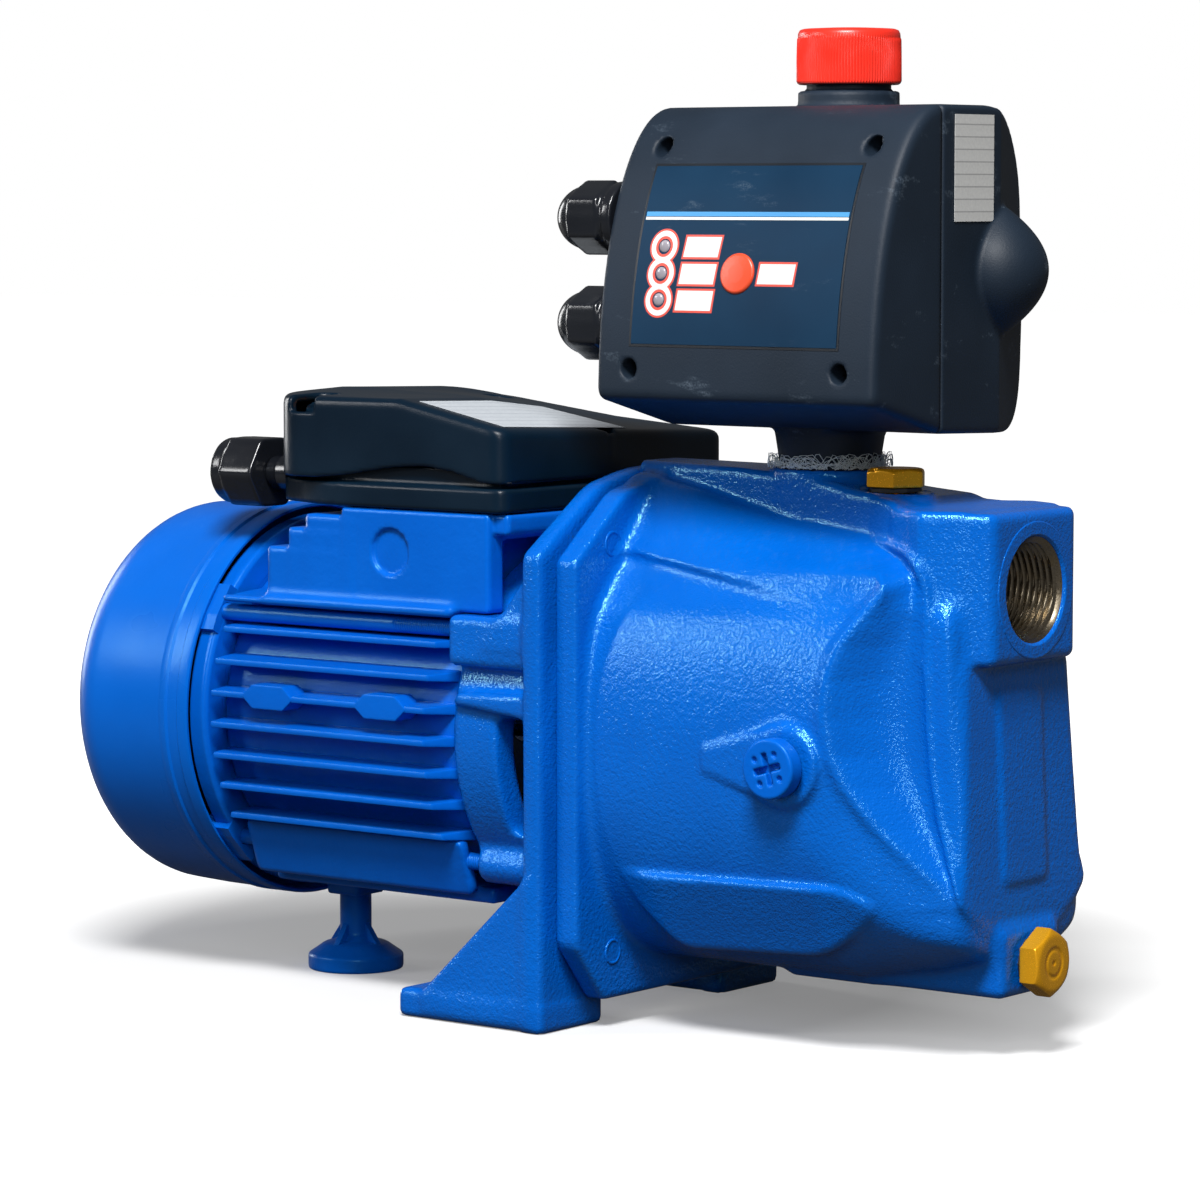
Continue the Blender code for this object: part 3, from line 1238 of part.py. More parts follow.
def make_rear_shield():
    hub = BEARING_RADIUS + BEARING_HUB_WALL
    spigot = STATOR_RADIUS
    body = turned(
        (
            (SHIELD_HUB_REAR, hub),
            (SHIELD_REAR, hub),
            (SHIELD_REAR, SHIELD_RADIUS),
            (SHIELD_FRONT, SHIELD_RADIUS),
            (SHIELD_FRONT, spigot),
            (SHIELD_FRONT + SHIELD_SPIGOT, spigot),
        ),
        "X", SHAFT, WIDE_SIDES,
    )
    reach = COVER_RADIUS - COVER_SHEET - SEAT_GAP
    for side, height in ROD_PLACES:
        rise = height - SHAFT_HEIGHT
        radius = math.hypot(side, rise)
        ear = block((SHIELD_REAR, 0.0, -EAR_HALF_WIDTH), (SHIELD_FRONT, reach, EAR_HALF_WIDTH))
        turn = Matrix.Rotation(math.atan2(rise, side), 4, "X")
        ear.data.transform(Matrix.Translation((0.0, 0.0, SHAFT_HEIGHT)) @ turn)
        trim = ring("X", 2 * SHIELD_REAR, HOUSING_FRONT, reach, radius + reach, SHAFT, WIDE_SIDES)
        join(body, cut(ear, trim))
    bore = BEARING_RADIUS + SEAT_GAP
    hollow = SHAFT_RADIUS + 2 * RUN_GAP
    inside = spigot - HOUSING_WALL
    cut(
        body,
        bar("X", REAR_BEARING_REAR - SEAT_GAP, HOUSING_FRONT, bore, SHAFT),
        bar("X", 2 * SHIELD_REAR, HOUSING_FRONT, hollow, SHAFT),
        bar("X", SHIELD_FRONT, HOUSING_FRONT, inside, SHAFT, WIDE_SIDES),
    )
    hole = ROD_RADIUS + SEAT_GAP
    for place in ROD_PLACES:
        cut(body, bar("X", 2 * SHIELD_REAR, HOUSING_FRONT, hole, place, SMALL_SIDES))
    return piece("rear_shield", body, MOTOR_BLUE)


def make_tie_rods():
    nut_front = SHIELD_REAR - SEAT_GAP
    for number, place in enumerate(ROD_PLACES, 1):
        rod = hexagon("X", nut_front - ROD_NUT_HEIGHT, nut_front, place, ROD_NUT_RADIUS)
        start = nut_front - ROD_NUT_HEIGHT / 2
        end = DRUM_REAR + ROD_ENGAGEMENT - SEAT_GAP
        join(rod, bar("X", start, end, ROD_RADIUS, place, SMALL_SIDES))
        piece(f"tie_rod_{number}", rod, MOTOR_BLUE, (nut_front, *place))


# Fan and its cover

def make_fan():
    rear = FAN_PLACE - FAN_WIDTH
    fan = bar("X", rear, FAN_PLACE, FAN_HUB_RADIUS, SHAFT)
    plate = bar("X", FAN_PLACE - 2 * FAN_PLATE, FAN_PLACE - FAN_PLATE, FAN_RADIUS, SHAFT)
    join(fan, plate)
    for number in range(FAN_BLADES):
        blade = block(
            (rear + FAN_PLATE, -FAN_BLADE / 2, FAN_HUB_RADIUS / 2),
            (FAN_PLACE - 1.5 * FAN_PLATE, FAN_BLADE / 2, FAN_RADIUS - FAN_PLATE),
        )
        turn = Matrix.Rotation(2 * math.pi * (number + 0.3) / FAN_BLADES, 4, "X")
        blade.data.transform(Matrix.Translation((0.0, 0.0, SHAFT_HEIGHT)) @ turn)
        join(fan, blade)
    bore = SHAFT_RADIUS + SEAT_GAP
    cut(fan, bar("X", 2 * FAN_PLACE, 0.0, bore, SHAFT, SMALL_SIDES))
    return piece("fan", fan, CONTROL_BLACK)


def make_fan_cover():
    steps = 5
    outer = [(COVER_FRONT, COVER_RADIUS)]
    inner = [(COVER_FRONT, COVER_RADIUS - COVER_SHEET)]
    drop = COVER_RADIUS - COVER_REAR_RADIUS
    for step in range(steps + 1):
        angle = math.pi / 2 * step / steps
        place = COVER_REAR + COVER_SHOULDER * (1 - math.sin(angle))
        radius = COVER_REAR_RADIUS + drop * math.cos(angle)
        outer.append((place, radius))
        place = COVER_REAR + COVER_SHEET + (COVER_SHOULDER - COVER_SHEET) * (1 - math.sin(angle))
        radius = COVER_REAR_RADIUS - COVER_SHEET + drop * math.cos(angle)
        inner.append((place, radius))
    shell = turned(outer, "X", SHAFT, WIDE_SIDES)
    mouth = [(COVER_FRONT + COVER_SHEET, COVER_RADIUS - COVER_SHEET)]
    hollow = turned(mouth + inner, "X", SHAFT, WIDE_SIDES)
    cut(shell, hollow)
    for number in range(SLOT_COUNT):
        side = (number - (SLOT_COUNT - 1) / 2) * SLOT_PITCH
        reach = math.sqrt(COVER_REAR_RADIUS ** 2 - side ** 2) - SLOT_WIDTH
        cut(shell, block(
            (COVER_REAR - COVER_SHEET, side - SLOT_WIDTH / 2, SHAFT_HEIGHT - reach),
            (COVER_REAR + 3 * COVER_SHEET, side + SLOT_WIDTH / 2, SHAFT_HEIGHT + reach),
        ))
    return piece("fan_cover", shell, MOTOR_BLUE)


# Terminal box

def box_plan(inset):
    """The box seen from above: square at the pump's end, with cut corners at the fan's end."""
    front = BOX_FRONT - inset
    rear = BOX_REAR + inset
    corner = rear + BOX_CORNER_LONG
    near = inset - BOX_HALF_WIDTH
    far = BOX_FAR_WIDTH - inset
    return (
        (front, near),
        (front, far),
        (corner, far),
        (rear, far - BOX_CORNER_WIDE),
        (rear, near + BOX_CORNER_WIDE),
        (corner, near),
    )


LID_STATIONS = (
    (LID_REAR, LID_CORNER_WIDE, LID_REAR_TOP),
    (LID_REAR + LID_CORNER_LONG, 0.0, LID_CORNER_TOP),
    (LID_KINK, 0.0, LID_KINK_TOP),
    (BOX_FRONT, 0.0, LID_FRONT_TOP),
)


def between(value, low, high, first, last):
    """Read a straight run from first to last where value goes from low to high."""
    share = min(max((value - low) / (high - low), 0.0), 1.0)
    return first + (last - first) * share


def lid_height(place, side):
    """Height of the lid's outside, which falls to the pump's end and to the far side."""
    heights = []
    for station, _, rises in LID_STATIONS:
        near, ridge, far = (BOX_SEAM + rise for rise in rises)
        if side < LID_RIDGE:
            heights.append((station, between(side, -BOX_HALF_WIDTH, LID_RIDGE, near, ridge)))
        else:
            heights.append((station, between(side, LID_RIDGE, BOX_FAR_WIDTH, ridge, far)))
    for (start, first), (end, last) in zip(heights, heights[1:]):
        if place <= end:
            return between(place, start, end, first, last)
    return heights[-1][1]


LID_SCREWS = (
    (LID_SCREW_REAR, -LID_SCREW_SIDE),
    (LID_SCREW_REAR, LID_SCREW_SIDE),
    (LID_SCREW_FRONT, 0.0),
)


def make_terminal_box():
    wall = BOX_WALL
    base = prism(box_plan(0.0), "Z", BOX_FLOOR, BOX_SEAM)
    cut(base, prism(box_plan(wall), "Z", BOX_FLOOR + wall, 2 * BOX_SEAM))
    for place in LID_SCREWS:
        join(base, bar("Z", BOX_FLOOR + wall / 2, BOX_SEAM, LID_POST, place, SMALL_SIDES))
    hole = LID_SCREW_RADIUS + SEAT_GAP
    for place in LID_SCREWS:
        cut(base, bar("Z", BOX_FLOOR + wall, 2 * BOX_SEAM, hole, place, SMALL_SIDES))
    wire = ((PEDESTAL_REAR + HOUSING_FRONT) / 2, 0.0)
    gland = BOX_GLAND_THREAD + SEAT_GAP
    cut(
        base,
        bar("Z", 0.0, BOX_FLOOR + 2 * wall, WIRE_HOLE, wire, SMALL_SIDES),
        bar(
            "X", 2 * BOX_REAR, BOX_REAR + 2 * wall, gland,
            (BOX_GLAND_SIDE, BOX_GLAND_HEIGHT), SMALL_SIDES,
        ),
    )
    return piece("terminal_box", base, BOX_BLACK, (0.0, 0.0, BOX_FLOOR))


def lid_form(inset, low):
    """The lid's outside, or its inside when taken in by a wall."""
    rings = []
    for place, narrowing, rises in LID_STATIONS:
        near_top, ridge_top, far_top = (BOX_SEAM + rise for rise in rises)
        x = min(max(place, LID_REAR + inset), BOX_FRONT - inset)
        near = narrowing + inset - BOX_HALF_WIDTH
        far = BOX_FAR_WIDTH - narrowing - inset
        rings.append([
            Vector((x, near, low)),
            Vector((x, far, low)),
            Vector((x, far, far_top - inset)),
            Vector((x, LID_RIDGE, ridge_top - inset)),
            Vector((x, near, near_top - inset)),
        ])
    form = loft(rings)
    bm = bmesh.new()
    bm.from_mesh(form.data)
    bmesh.ops.triangulate(bm, faces=bm.faces[:])
    bm.to_mesh(form.data)
    bm.free()
    return form


def make_terminal_lid():
    low = BOX_SEAM + SEAT_GAP
    lid = lid_form(0.0, low)
    cut(lid, lid_form(BOX_WALL, low - BOX_WALL))
    for place in LID_SCREWS:
        high = lid_height(*place) - BOX_WALL / 2
        join(lid, bar("Z", low, high, LID_POST, place, SMALL_SIDES))
    hole = LID_SCREW_RADIUS + SEAT_GAP
    sink = LID_SCREW_HEAD + SEAT_GAP
    for place in LID_SCREWS:
        floor = lid_height(*place) - LID_SCREW_SINK
        cut(
            lid,
            bar("Z", 0.0, 2 * BOX_SEAM, hole, place, SMALL_SIDES),
            bar("Z", floor, 2 * BOX_SEAM, sink, place, SMALL_SIDES),
        )
    piece("terminal_lid", lid, BOX_BLACK, (0.0, 0.0, low))
    for number, place in enumerate(LID_SCREWS, 1):
        seat = lid_height(*place) - LID_SCREW_SINK + SEAT_GAP
        screw = turned(
            (
                (BOX_FLOOR + 2 * BOX_WALL, LID_SCREW_RADIUS),
                (seat, LID_SCREW_RADIUS),
                (seat, LID_SCREW_HEAD),
                (seat + LID_SCREW_HEAD_HEIGHT, LID_SCREW_HEAD),
            ),
            "Z", place, SMALL_SIDES,
        )
        piece(f"lid_screw_{number}", screw, BRASS, (*place, seat))


def make_box_contents():
    floor = BOX_FLOOR + BOX_WALL + SEAT_GAP
    long, wide, tall = BLOCK_SIZE
    strip = block(
        (BLOCK_PLACE - long / 2, -wide / 2, floor), (BLOCK_PLACE + long / 2, wide / 2, floor + tall),
    )
    wells = 4
    for number in range(wells):
        side = wide * ((number + 0.5) / wells - 0.5)
        cut(strip, bar("Z", floor + tall / 2, floor + 2 * tall, long / 5, (BLOCK_PLACE, side), 8))
    piece("terminal_block", strip, LIGHT_PLASTIC, (BLOCK_PLACE, 0.0, floor))
    can = bar(
        "Y", -CAPACITOR_LENGTH / 2, CAPACITOR_LENGTH / 2, CAPACITOR_RADIUS,
        (CAPACITOR_PLACE, floor + CAPACITOR_RADIUS), SMALL_SIDES,
    )
    piece("run_capacitor", can, LIGHT_PLASTIC, (CAPACITOR_PLACE, 0.0, floor))


def make_box_gland():
    centre = (BOX_GLAND_SIDE, BOX_GLAND_HEIGHT)
    flange_front = BOX_REAR - SEAT_GAP
    flange_rear = flange_front - BOX_GLAND_FLANGE_WIDTH
    nut_front = flange_rear - SEAT_GAP
    nut_rear = nut_front - BOX_GLAND_NUT_LENGTH
    stub = BOX_GLAND_THREAD
    body = turned(
        (
            (nut_front - BOX_GLAND_NUT_LENGTH / 2, stub),
            (flange_rear, stub),
            (flange_rear, BOX_GLAND_FLANGE),
            (flange_front, BOX_GLAND_FLANGE),
            (flange_front, stub),
            (BOX_REAR + BOX_WALL + BOX_GLAND_FLANGE_WIDTH / 2, stub),
        ),
        "X", centre, SMALL_SIDES,
    )
    piece("box_gland_body", body, BOX_BLACK, (flange_front, *centre))
    radius = BOX_GLAND_NUT_RADIUS
    nut = hexagon("X", nut_rear, nut_front, centre, radius, 0.0)
    bore = stub + SEAT_GAP
    cut(nut, bar("X", nut_front - BOX_GLAND_NUT_LENGTH / 2 - SEAT_GAP, 0.0, bore, centre, SMALL_SIDES))
    piece("box_gland_nut", nut, BOX_BLACK, (nut_rear, *centre))


# Flow controller: rear shell with the water way

def face_point(height, inset=0.0):
    """Y of the controller's bowed front at a height, taken in by an inset."""
    rise = (height - FACE_FOOT) / (FACE_RISE - inset)
    return CONTROL_SEAM - (FACE_DEPTH - inset) * math.sqrt(max(1 - rise * rise, 0.0))


def face_arc(low, high, inset, steps=8):
    """Points up the bowed front between two heights."""
    top = FACE_RISE - inset
    start = math.asin(min((low - FACE_FOOT) / top, 1.0))
    end = math.asin(min((high - FACE_FOOT) / top, 1.0))
    points = []
    for step in range(steps + 1):
        angle = start + (end - start) * step / steps
        y = CONTROL_SEAM - (FACE_DEPTH - inset) * math.cos(angle)
        points.append((y, FACE_FOOT + top * math.sin(angle)))
    return points


def controller_ends(inset=0.0):
    return OUTLET_PLACE - CONTROL_HALF_WIDTH + inset, OUTLET_PLACE + CONTROL_HALF_WIDTH - inset


def bulge():
    """The pointed bulge on the controller's side, turned about an upright axis."""
    profile = []
    steps = 8
    for step in range(steps + 1):
        share = -0.97 + 1.94 * step / steps
        radius = BULGE_RADIUS * (1 - share * share)
        profile.append((BULGE_HEIGHT + BULGE_HALF_HEIGHT * share, radius))
    place = OUTLET_PLACE + CONTROL_HALF_WIDTH - BULGE_RADIUS / 5
    return turned(profile, "Z", (place, BULGE_SIDE), SMALL_SIDES)


def make_controller_body():
    left, right = controller_ends()
    corners = (
        (BODY_SEAM, CONTROL_LOW, 0.0),
        (CONTROL_REAR - CONTROL_LOW_DROP, CONTROL_LOW - CONTROL_LOW_DROP, CONTROL_LOW_ROUND),
        (CONTROL_REAR, (CONTROL_LOW + CONTROL_HIGH) / 2, CONTROL_REAR_ROUND),
        (CONTROL_REAR - CONTROL_REAR_LEAN, CONTROL_HIGH, CONTROL_HIGH_ROUND),
        (BODY_SEAM, CONTROL_HIGH, 0.0),
    )
    body = prism(rounded(corners), "X", left, right)
    low = CONTROL_LOW - FACE_RISE
    high = CONTROL_HIGH + FACE_RISE
    run = 2 * (CONTROL_REAR - CONTROL_TAPER_START)
    for edge, side in ((left, 1), (right, -1)):
        wedge = (
            (edge, CONTROL_TAPER_START),
            (edge + side * 2 * CONTROL_TAPER, CONTROL_TAPER_START + run),
            (edge - side * CONTROL_TAPER, CONTROL_TAPER_START + run),
            (edge - side * CONTROL_TAPER, CONTROL_TAPER_START),
        )
        cut(body, prism(wedge, "Z", low, high))
    collar_low = OUTLET_FACE + SEAT_GAP
    neck_collar = CONTROL_HIGH + NECK_COLLAR_HEIGHT
    inner_low = CONTROL_LOW + COLLAR_RADIUS
    join(
        body,
        bulge(),
        turned(
            (
                (OUTLET_FACE - SPIGOT_LENGTH, SPIGOT_RADIUS),
                (collar_low, SPIGOT_RADIUS),
                (collar_low, COLLAR_RADIUS),
                (inner_low, COLLAR_RADIUS),
            ),
            "Z", OUTLET,
        ),
        turned(
            (
                (CONTROL_HIGH - NECK_RADIUS, COLLAR_RADIUS),
                (neck_collar, COLLAR_RADIUS),
                (neck_collar, NECK_RADIUS),
                (NECK_TOP, NECK_RADIUS),
            ),
            "Z", NECK,
        ),
    )
    column = COLLAR_RADIUS + COVER_WALL
    pocket_low = CONTROL_LOW + 2 * COVER_WALL
    pocket_high = CONTROL_HIGH - 2 * COVER_WALL
    pocket_rear = CONTROL_TAPER_START - 2 * COVER_WALL
    for near, far in (
        (left + 2 * COVER_WALL, OUTLET_PLACE - column),
        (OUTLET_PLACE + column, right - 2 * COVER_WALL),
    ):
        cut(body, block((near, 2 * CONTROL_SEAM, pocket_low), (far, pocket_rear, pocket_high)))
    for side in (-1, 1):
        for height in (BOARD_LOW + COVER_WALL, BOARD_HIGH - COVER_WALL):
            post = (OUTLET_PLACE + side * COLLAR_RADIUS, height)
            join(body, bar(
                "Y", CONTROL_SEAM - BOARD_STAND, CONTROL_SEAM + BOARD_STAND,
                COVER_WALL, post, SMALL_SIDES,
            ))
    way = WATER_WAY_RADIUS
    throat = VALVE_SEAT - VALVE_DISC - PLUG_HEAD_HEIGHT
    meeting = (CONTROL_LOW + CONTROL_HIGH) / 2
    cut(
        body,
        turned(
            (
                (OUTLET_FACE - 2 * SPIGOT_LENGTH, way),
                (throat, way),
                (throat, VALVE_SEAT_RADIUS),
                (VALVE_SEAT, VALVE_SEAT_RADIUS),
                (VALVE_SEAT, way),
                (VALVE_STOP, way),
                (VALVE_STOP, VALVE_STOP_RADIUS),
                (meeting + NECK_OFFSET, VALVE_STOP_RADIUS),
            ),
            "Z", OUTLET,
        ),
        bar("Z", meeting, 2 * NECK_TOP, NECK_BORE, NECK),
    )
    return piece("controller_body", body, CONTROL_BLACK, (OUTLET_PLACE, 0.0, OUTLET_FACE))


def make_check_valve():
    low = VALVE_SEAT + SEAT_GAP
    high = low + VALVE_DISC
    guide = VALVE_SEAT_RADIUS - 2 * SEAT_GAP
    valve = turned(
        (
            (low - VALVE_DISC, guide / 2),
            (low, guide),
            (low, VALVE_RADIUS),
            (high, VALVE_RADIUS),
            (high, VALVE_STEM_RADIUS),
            (high + VALVE_STEM, VALVE_STEM_RADIUS),
        ),
        "Z", OUTLET,
    )
    piece("check_valve", valve, LIGHT_PLASTIC, (*OUTLET, low))
    start = high + SEAT_GAP + SPRING_WIRE
    rise = VALVE_STOP - SEAT_GAP - SPRING_WIRE - start
    steps = 8 * SPRING_TURNS
    sides = 4
    rings = []
    for step in range(steps + 1):
        share = step / steps
        angle = 2 * math.pi * SPRING_TURNS * share
        radial = Vector((math.cos(angle), math.sin(angle), 0.0))
        middle = Vector((*OUTLET, start + rise * share)) + radial * SPRING_RADIUS
        wire = []
        for k in range(sides):
            around = 2 * math.pi * k / sides
            offset = radial * math.cos(around) + Vector((0.0, 0.0, math.sin(around)))
            wire.append(middle + SPRING_WIRE * offset)
        rings.append(wire)
    piece("valve_spring", loft(rings), STEEL, (*OUTLET, VALVE_STOP))


# Flow controller: front cover, panel, button and lenses

def button_frame():
    """The button's axis: its place on the bowed front and its turn to the front's slope."""
    y = face_point(BUTTON_HEIGHT)
    across = (y - CONTROL_SEAM) / FACE_DEPTH ** 2
    upward = (BUTTON_HEIGHT - FACE_FOOT) / FACE_RISE ** 2
    turn = Matrix.Rotation(-math.atan2(upward, -across), 4, "X")
    return Matrix.Translation((OUTLET_PLACE, y, BUTTON_HEIGHT)) @ turn


def button_tool(profile, sides=SMALL_SIDES):
    """A round solid on the button's axis, its places counted inwards from the front."""
    tool = turned(profile, "Y", (0.0, 0.0), sides)
    tool.data.transform(button_frame())
    return tool


def face_slab(half_width, low, high, outer, inner):
    """A bowed sheet under the front between two insets."""
    outline = face_arc(low, high, outer) + list(reversed(face_arc(low, high, inner)))
    return prism(outline, "X", OUTLET_PLACE - half_width, OUTLET_PLACE + half_width)


def make_controller_cover():
    left, right = controller_ends()
    foot = CONTROL_LOW
    outline = [(FRONT_SEAM, foot)] + face_arc(FACE_FOOT, CONTROL_HIGH - COVER_WALL / 4, 0.0, 12)
    outline.append((FRONT_SEAM, CONTROL_HIGH - COVER_WALL / 8))
    cover = prism(outline, "X", left, right)
    wall = COVER_WALL
    inside = [(-CONTROL_SEAM, foot + wall), (FRONT_SEAM, foot + wall)]
    inside += face_arc(FACE_FOOT + wall, CONTROL_HIGH - 2 * wall, wall, 10)
    inside.append((-CONTROL_SEAM, CONTROL_HIGH - 2 * wall))
    cut(cover, prism(inside, "X", left + wall, right - wall))
    recess = PANEL_SHEET + SEAT_GAP
    cut(cover, face_slab(
        PANEL_HALF_WIDTH + SEAT_GAP, PANEL_LOW - SEAT_GAP, PANEL_HIGH + SEAT_GAP, -recess, recess,
    ))
    button = BUTTON_RADIUS + SEAT_GAP
    cut(cover, button_tool(((-button, button), (2 * BUTTON_DEPTH, button))))
    lens = LENS_RADIUS + SEAT_GAP
    for height in LENS_HEIGHTS:
        cut(cover, bar(
            "Y", 2 * face_point(height), CONTROL_SEAM - wall, lens,
            (OUTLET_PLACE + LENS_SIDE, height), SMALL_SIDES,
        ))
    for side in (-1, 1):
        for height in SCREW_HOLE_HEIGHTS:
            cut(cover, bar(
                "Y", 2 * face_point(height), 2 * CONTROL_SEAM, SCREW_HOLE_RADIUS,
                (OUTLET_PLACE + side * SCREW_HOLE_SIDE, height), SMALL_SIDES,
            ))
    gland = GLAND_THREAD + SEAT_GAP
    for height in GLAND_HEIGHTS:
        cut(cover, bar("X", left - wall, left + 2 * wall, gland, (GLAND_SIDE, height), SMALL_SIDES))
    piece("controller_cover", cover, CONTROL_BLACK, (OUTLET_PLACE, CONTROL_SEAM, FACE_FOOT))

    panel = face_slab(PANEL_HALF_WIDTH, PANEL_LOW, PANEL_HIGH, 0.0, PANEL_SHEET)
    cut(panel, button_tool(((-button, button), (2 * BUTTON_DEPTH, button))))
    for height in LENS_HEIGHTS:
        cut(panel, bar(
            "Y", 2 * face_point(height), CONTROL_SEAM, lens,
            (OUTLET_PLACE + LENS_SIDE, height), SMALL_SIDES,
        ))
    piece("face_panel", panel, PANEL_BLUE, (OUTLET_PLACE, CONTROL_SEAM, FACE_FOOT))


def make_button_and_lenses():
    button = button_tool((
        (-SEAT_GAP, BUTTON_RADIUS),
        (BUTTON_DEPTH, BUTTON_RADIUS),
        (BUTTON_DEPTH, BUTTON_STEM_RADIUS),
        (BUTTON_STEM, BUTTON_STEM_RADIUS),
    ))
    piece("reset_button", button, SIGNAL_RED, button_frame().translation)

    place = OUTLET_PLACE + LENS_SIDE
    behind = CONTROL_SEAM - FACE_DEPTH + COVER_WALL + LENS_BAR * 3
    rail = block(
        (place - LENS_RADIUS, behind, LENS_HEIGHTS[-1] - LENS_RADIUS),
        (place + LENS_RADIUS, behind + LENS_BAR, LENS_HEIGHTS[0] + LENS_RADIUS),
    )
    for height in LENS_HEIGHTS:
        join(rail, bar(
            "Y", face_point(height) - SEAT_GAP, behind + LENS_BAR / 2, LENS_RADIUS,
            (place, height), SMALL_SIDES,
        ))
    piece("signal_lens", rail, LENS_PLASTIC, (place, behind, LENS_HEIGHTS[1]))


def make_circuit_board():
    rear = CONTROL_SEAM - BOARD_STAND - SEAT_GAP
    front = rear - BOARD_THICKNESS
    board = block(
        (OUTLET_PLACE - BOARD_HALF_WIDTH, front, BOARD_LOW),
        (OUTLET_PLACE + BOARD_HALF_WIDTH, rear, BOARD_HIGH),
    )
    stem_end = button_frame() @ Vector((0.0, BUTTON_STEM + SWITCH_TRAVEL, 0.0))
    join(board, block(
        (OUTLET_PLACE - SWITCH_HALF, stem_end.y + SWITCH_TRAVEL, stem_end.z - SWITCH_HALF),
        (OUTLET_PLACE + SWITCH_HALF, front + BOARD_THICKNESS / 2, stem_end.z + SWITCH_HALF),
    ))
    piece("circuit_board", board, BOARD_GREEN, (OUTLET_PLACE, rear, FACE_FOOT))


def make_controller_glands():
    left = controller_ends()[0]
    for name, height in zip(("upper_gland", "lower_gland"), GLAND_HEIGHTS):
        centre = (GLAND_SIDE, height)
        front = left - SEAT_GAP
        rear = left - GLAND_LENGTH
        radius = GLAND_HEX_RADIUS
        gland = turned(
            (
                (rear, radius / 2),
                (rear + GLAND_LENGTH / 16, 0.72 * radius),
                (rear + GLAND_LENGTH / 6, 0.84 * radius),
                (rear + GLAND_LENGTH / 2, 0.86 * radius),
                (front, 0.86 * radius),
                (front, GLAND_THREAD),
                (left + 2 * COVER_WALL, GLAND_THREAD),
            ),
            "X", centre, SMALL_SIDES,
        )
        join(gland, hexagon("X", rear + GLAND_LENGTH / 5, rear + GLAND_LENGTH * 0.6, centre, radius))
        piece(name, gland, BOX_BLACK, (left, *centre))


def make_cap():
    bore = NECK_RADIUS + SEAT_GAP
    liner_low = NECK_TOP + SEAT_GAP
    ceiling = liner_low + LINER_THICKNESS + SEAT_GAP
    high = ceiling + CAP_ROOF
    edge = CAP_ROOF / 3
    cap = turned(
        (
            (CAP_LOW, CAP_RADIUS),
            (high - edge, CAP_RADIUS),
            (high, CAP_RADIUS - edge),
        ),
        "Z", NECK, WIDE_SIDES,
    )
    cut(cap, bar("Z", CONTROL_HIGH, ceiling, bore, NECK))
    piece("outlet_cap", cap, CAP_RED, (*NECK, NECK_TOP))
    liner = bar("Z", liner_low, liner_low + LINER_THICKNESS, NECK_RADIUS, NECK)
    piece("cap_liner", liner, RUBBER, (*NECK, NECK_TOP))


make_pump_body()
make_motor_bracket()
make_body_bolts()
make_hydraulics()
make_plugs()
make_motor_housing()
make_support_foot()
make_motor_inside()
make_rear_shield()
make_tie_rods()
make_fan()
make_fan_cover()
make_terminal_box()
make_terminal_lid()
make_box_contents()
make_box_gland()
make_controller_body()
make_check_valve()
make_controller_cover()
make_button_and_lenses()
make_circuit_board()
make_controller_glands()
make_cap()
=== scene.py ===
"""A jet pump with its motor, terminal box and flow controller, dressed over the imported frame.

The pieces follow the order of assembly: the casing and its bracket, the motor, the box on
top of it, the controller screwed into the outlet, and the small fittings last.
Lengths inside the sections are in millimetres from the joint of casing and bracket.
"""

import math
import random

import bmesh
import bpy
import numpy as np
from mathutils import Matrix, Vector


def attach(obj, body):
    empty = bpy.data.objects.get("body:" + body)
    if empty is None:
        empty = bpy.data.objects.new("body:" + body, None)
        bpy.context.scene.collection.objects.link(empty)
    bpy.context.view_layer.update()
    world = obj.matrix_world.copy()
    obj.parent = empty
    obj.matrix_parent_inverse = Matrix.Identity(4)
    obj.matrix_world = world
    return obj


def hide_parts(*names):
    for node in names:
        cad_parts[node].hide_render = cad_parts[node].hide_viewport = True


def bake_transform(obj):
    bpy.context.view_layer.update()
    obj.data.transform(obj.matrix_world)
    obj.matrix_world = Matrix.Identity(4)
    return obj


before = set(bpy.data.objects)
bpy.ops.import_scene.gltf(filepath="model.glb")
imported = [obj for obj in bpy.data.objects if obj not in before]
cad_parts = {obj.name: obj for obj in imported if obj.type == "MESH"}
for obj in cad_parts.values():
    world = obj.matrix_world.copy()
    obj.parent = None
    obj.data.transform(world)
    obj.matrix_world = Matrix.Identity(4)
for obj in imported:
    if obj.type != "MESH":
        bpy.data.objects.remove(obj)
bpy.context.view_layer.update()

# ---------------------------------------------------------------------------------------
# Camera: a long lens a little above the shaft, looking at the suction end and near side.
# ---------------------------------------------------------------------------------------
lens = bpy.data.cameras.new("front_quarter")
lens.sensor_width = 36.0
lens.lens = 139.5
lens.clip_end = 50.0
camera = bpy.data.objects.new("front_quarter", lens)
camera.location = (0.9809, -1.2644, 0.2791)
camera.rotation_euler = (math.radians(85.0), 0.0, math.radians(37.7))
bpy.context.scene.collection.objects.link(camera)
bpy.context.scene.camera = camera

# ---------------------------------------------------------------------------------------
# Pump casing: one sand casting in grey iron. A flange, a barrel with a scooped flank, a
# nose with its flat front, a suction boss and a keel run into each other with soft fillets.
# Thick glossy blue enamel follows the pebbled skin of the casting.
# ---------------------------------------------------------------------------------------
CENTRE_SHIFT = 31.0
SHAFT_Z, OUTLET_X = 97.0, 69.0
SHAFT_SPOT, PORT_SPOT, OUTLET_SPOT = (0.0, SHAFT_Z), (0.0, 152.0), (OUTLET_X, 0.0)
PRIMING_SPOT, GAUGE_SPOT, DRAIN_SPOT = (100.7, -8.0), (91.5, 96.0), (0.0, 31.5)


def to_world(points):
    """Millimetres from the casing joint to metres in the frame."""
    return (np.asarray(points, float) + (CENTRE_SHIFT, 0.0, 0.0)) / 1000.0


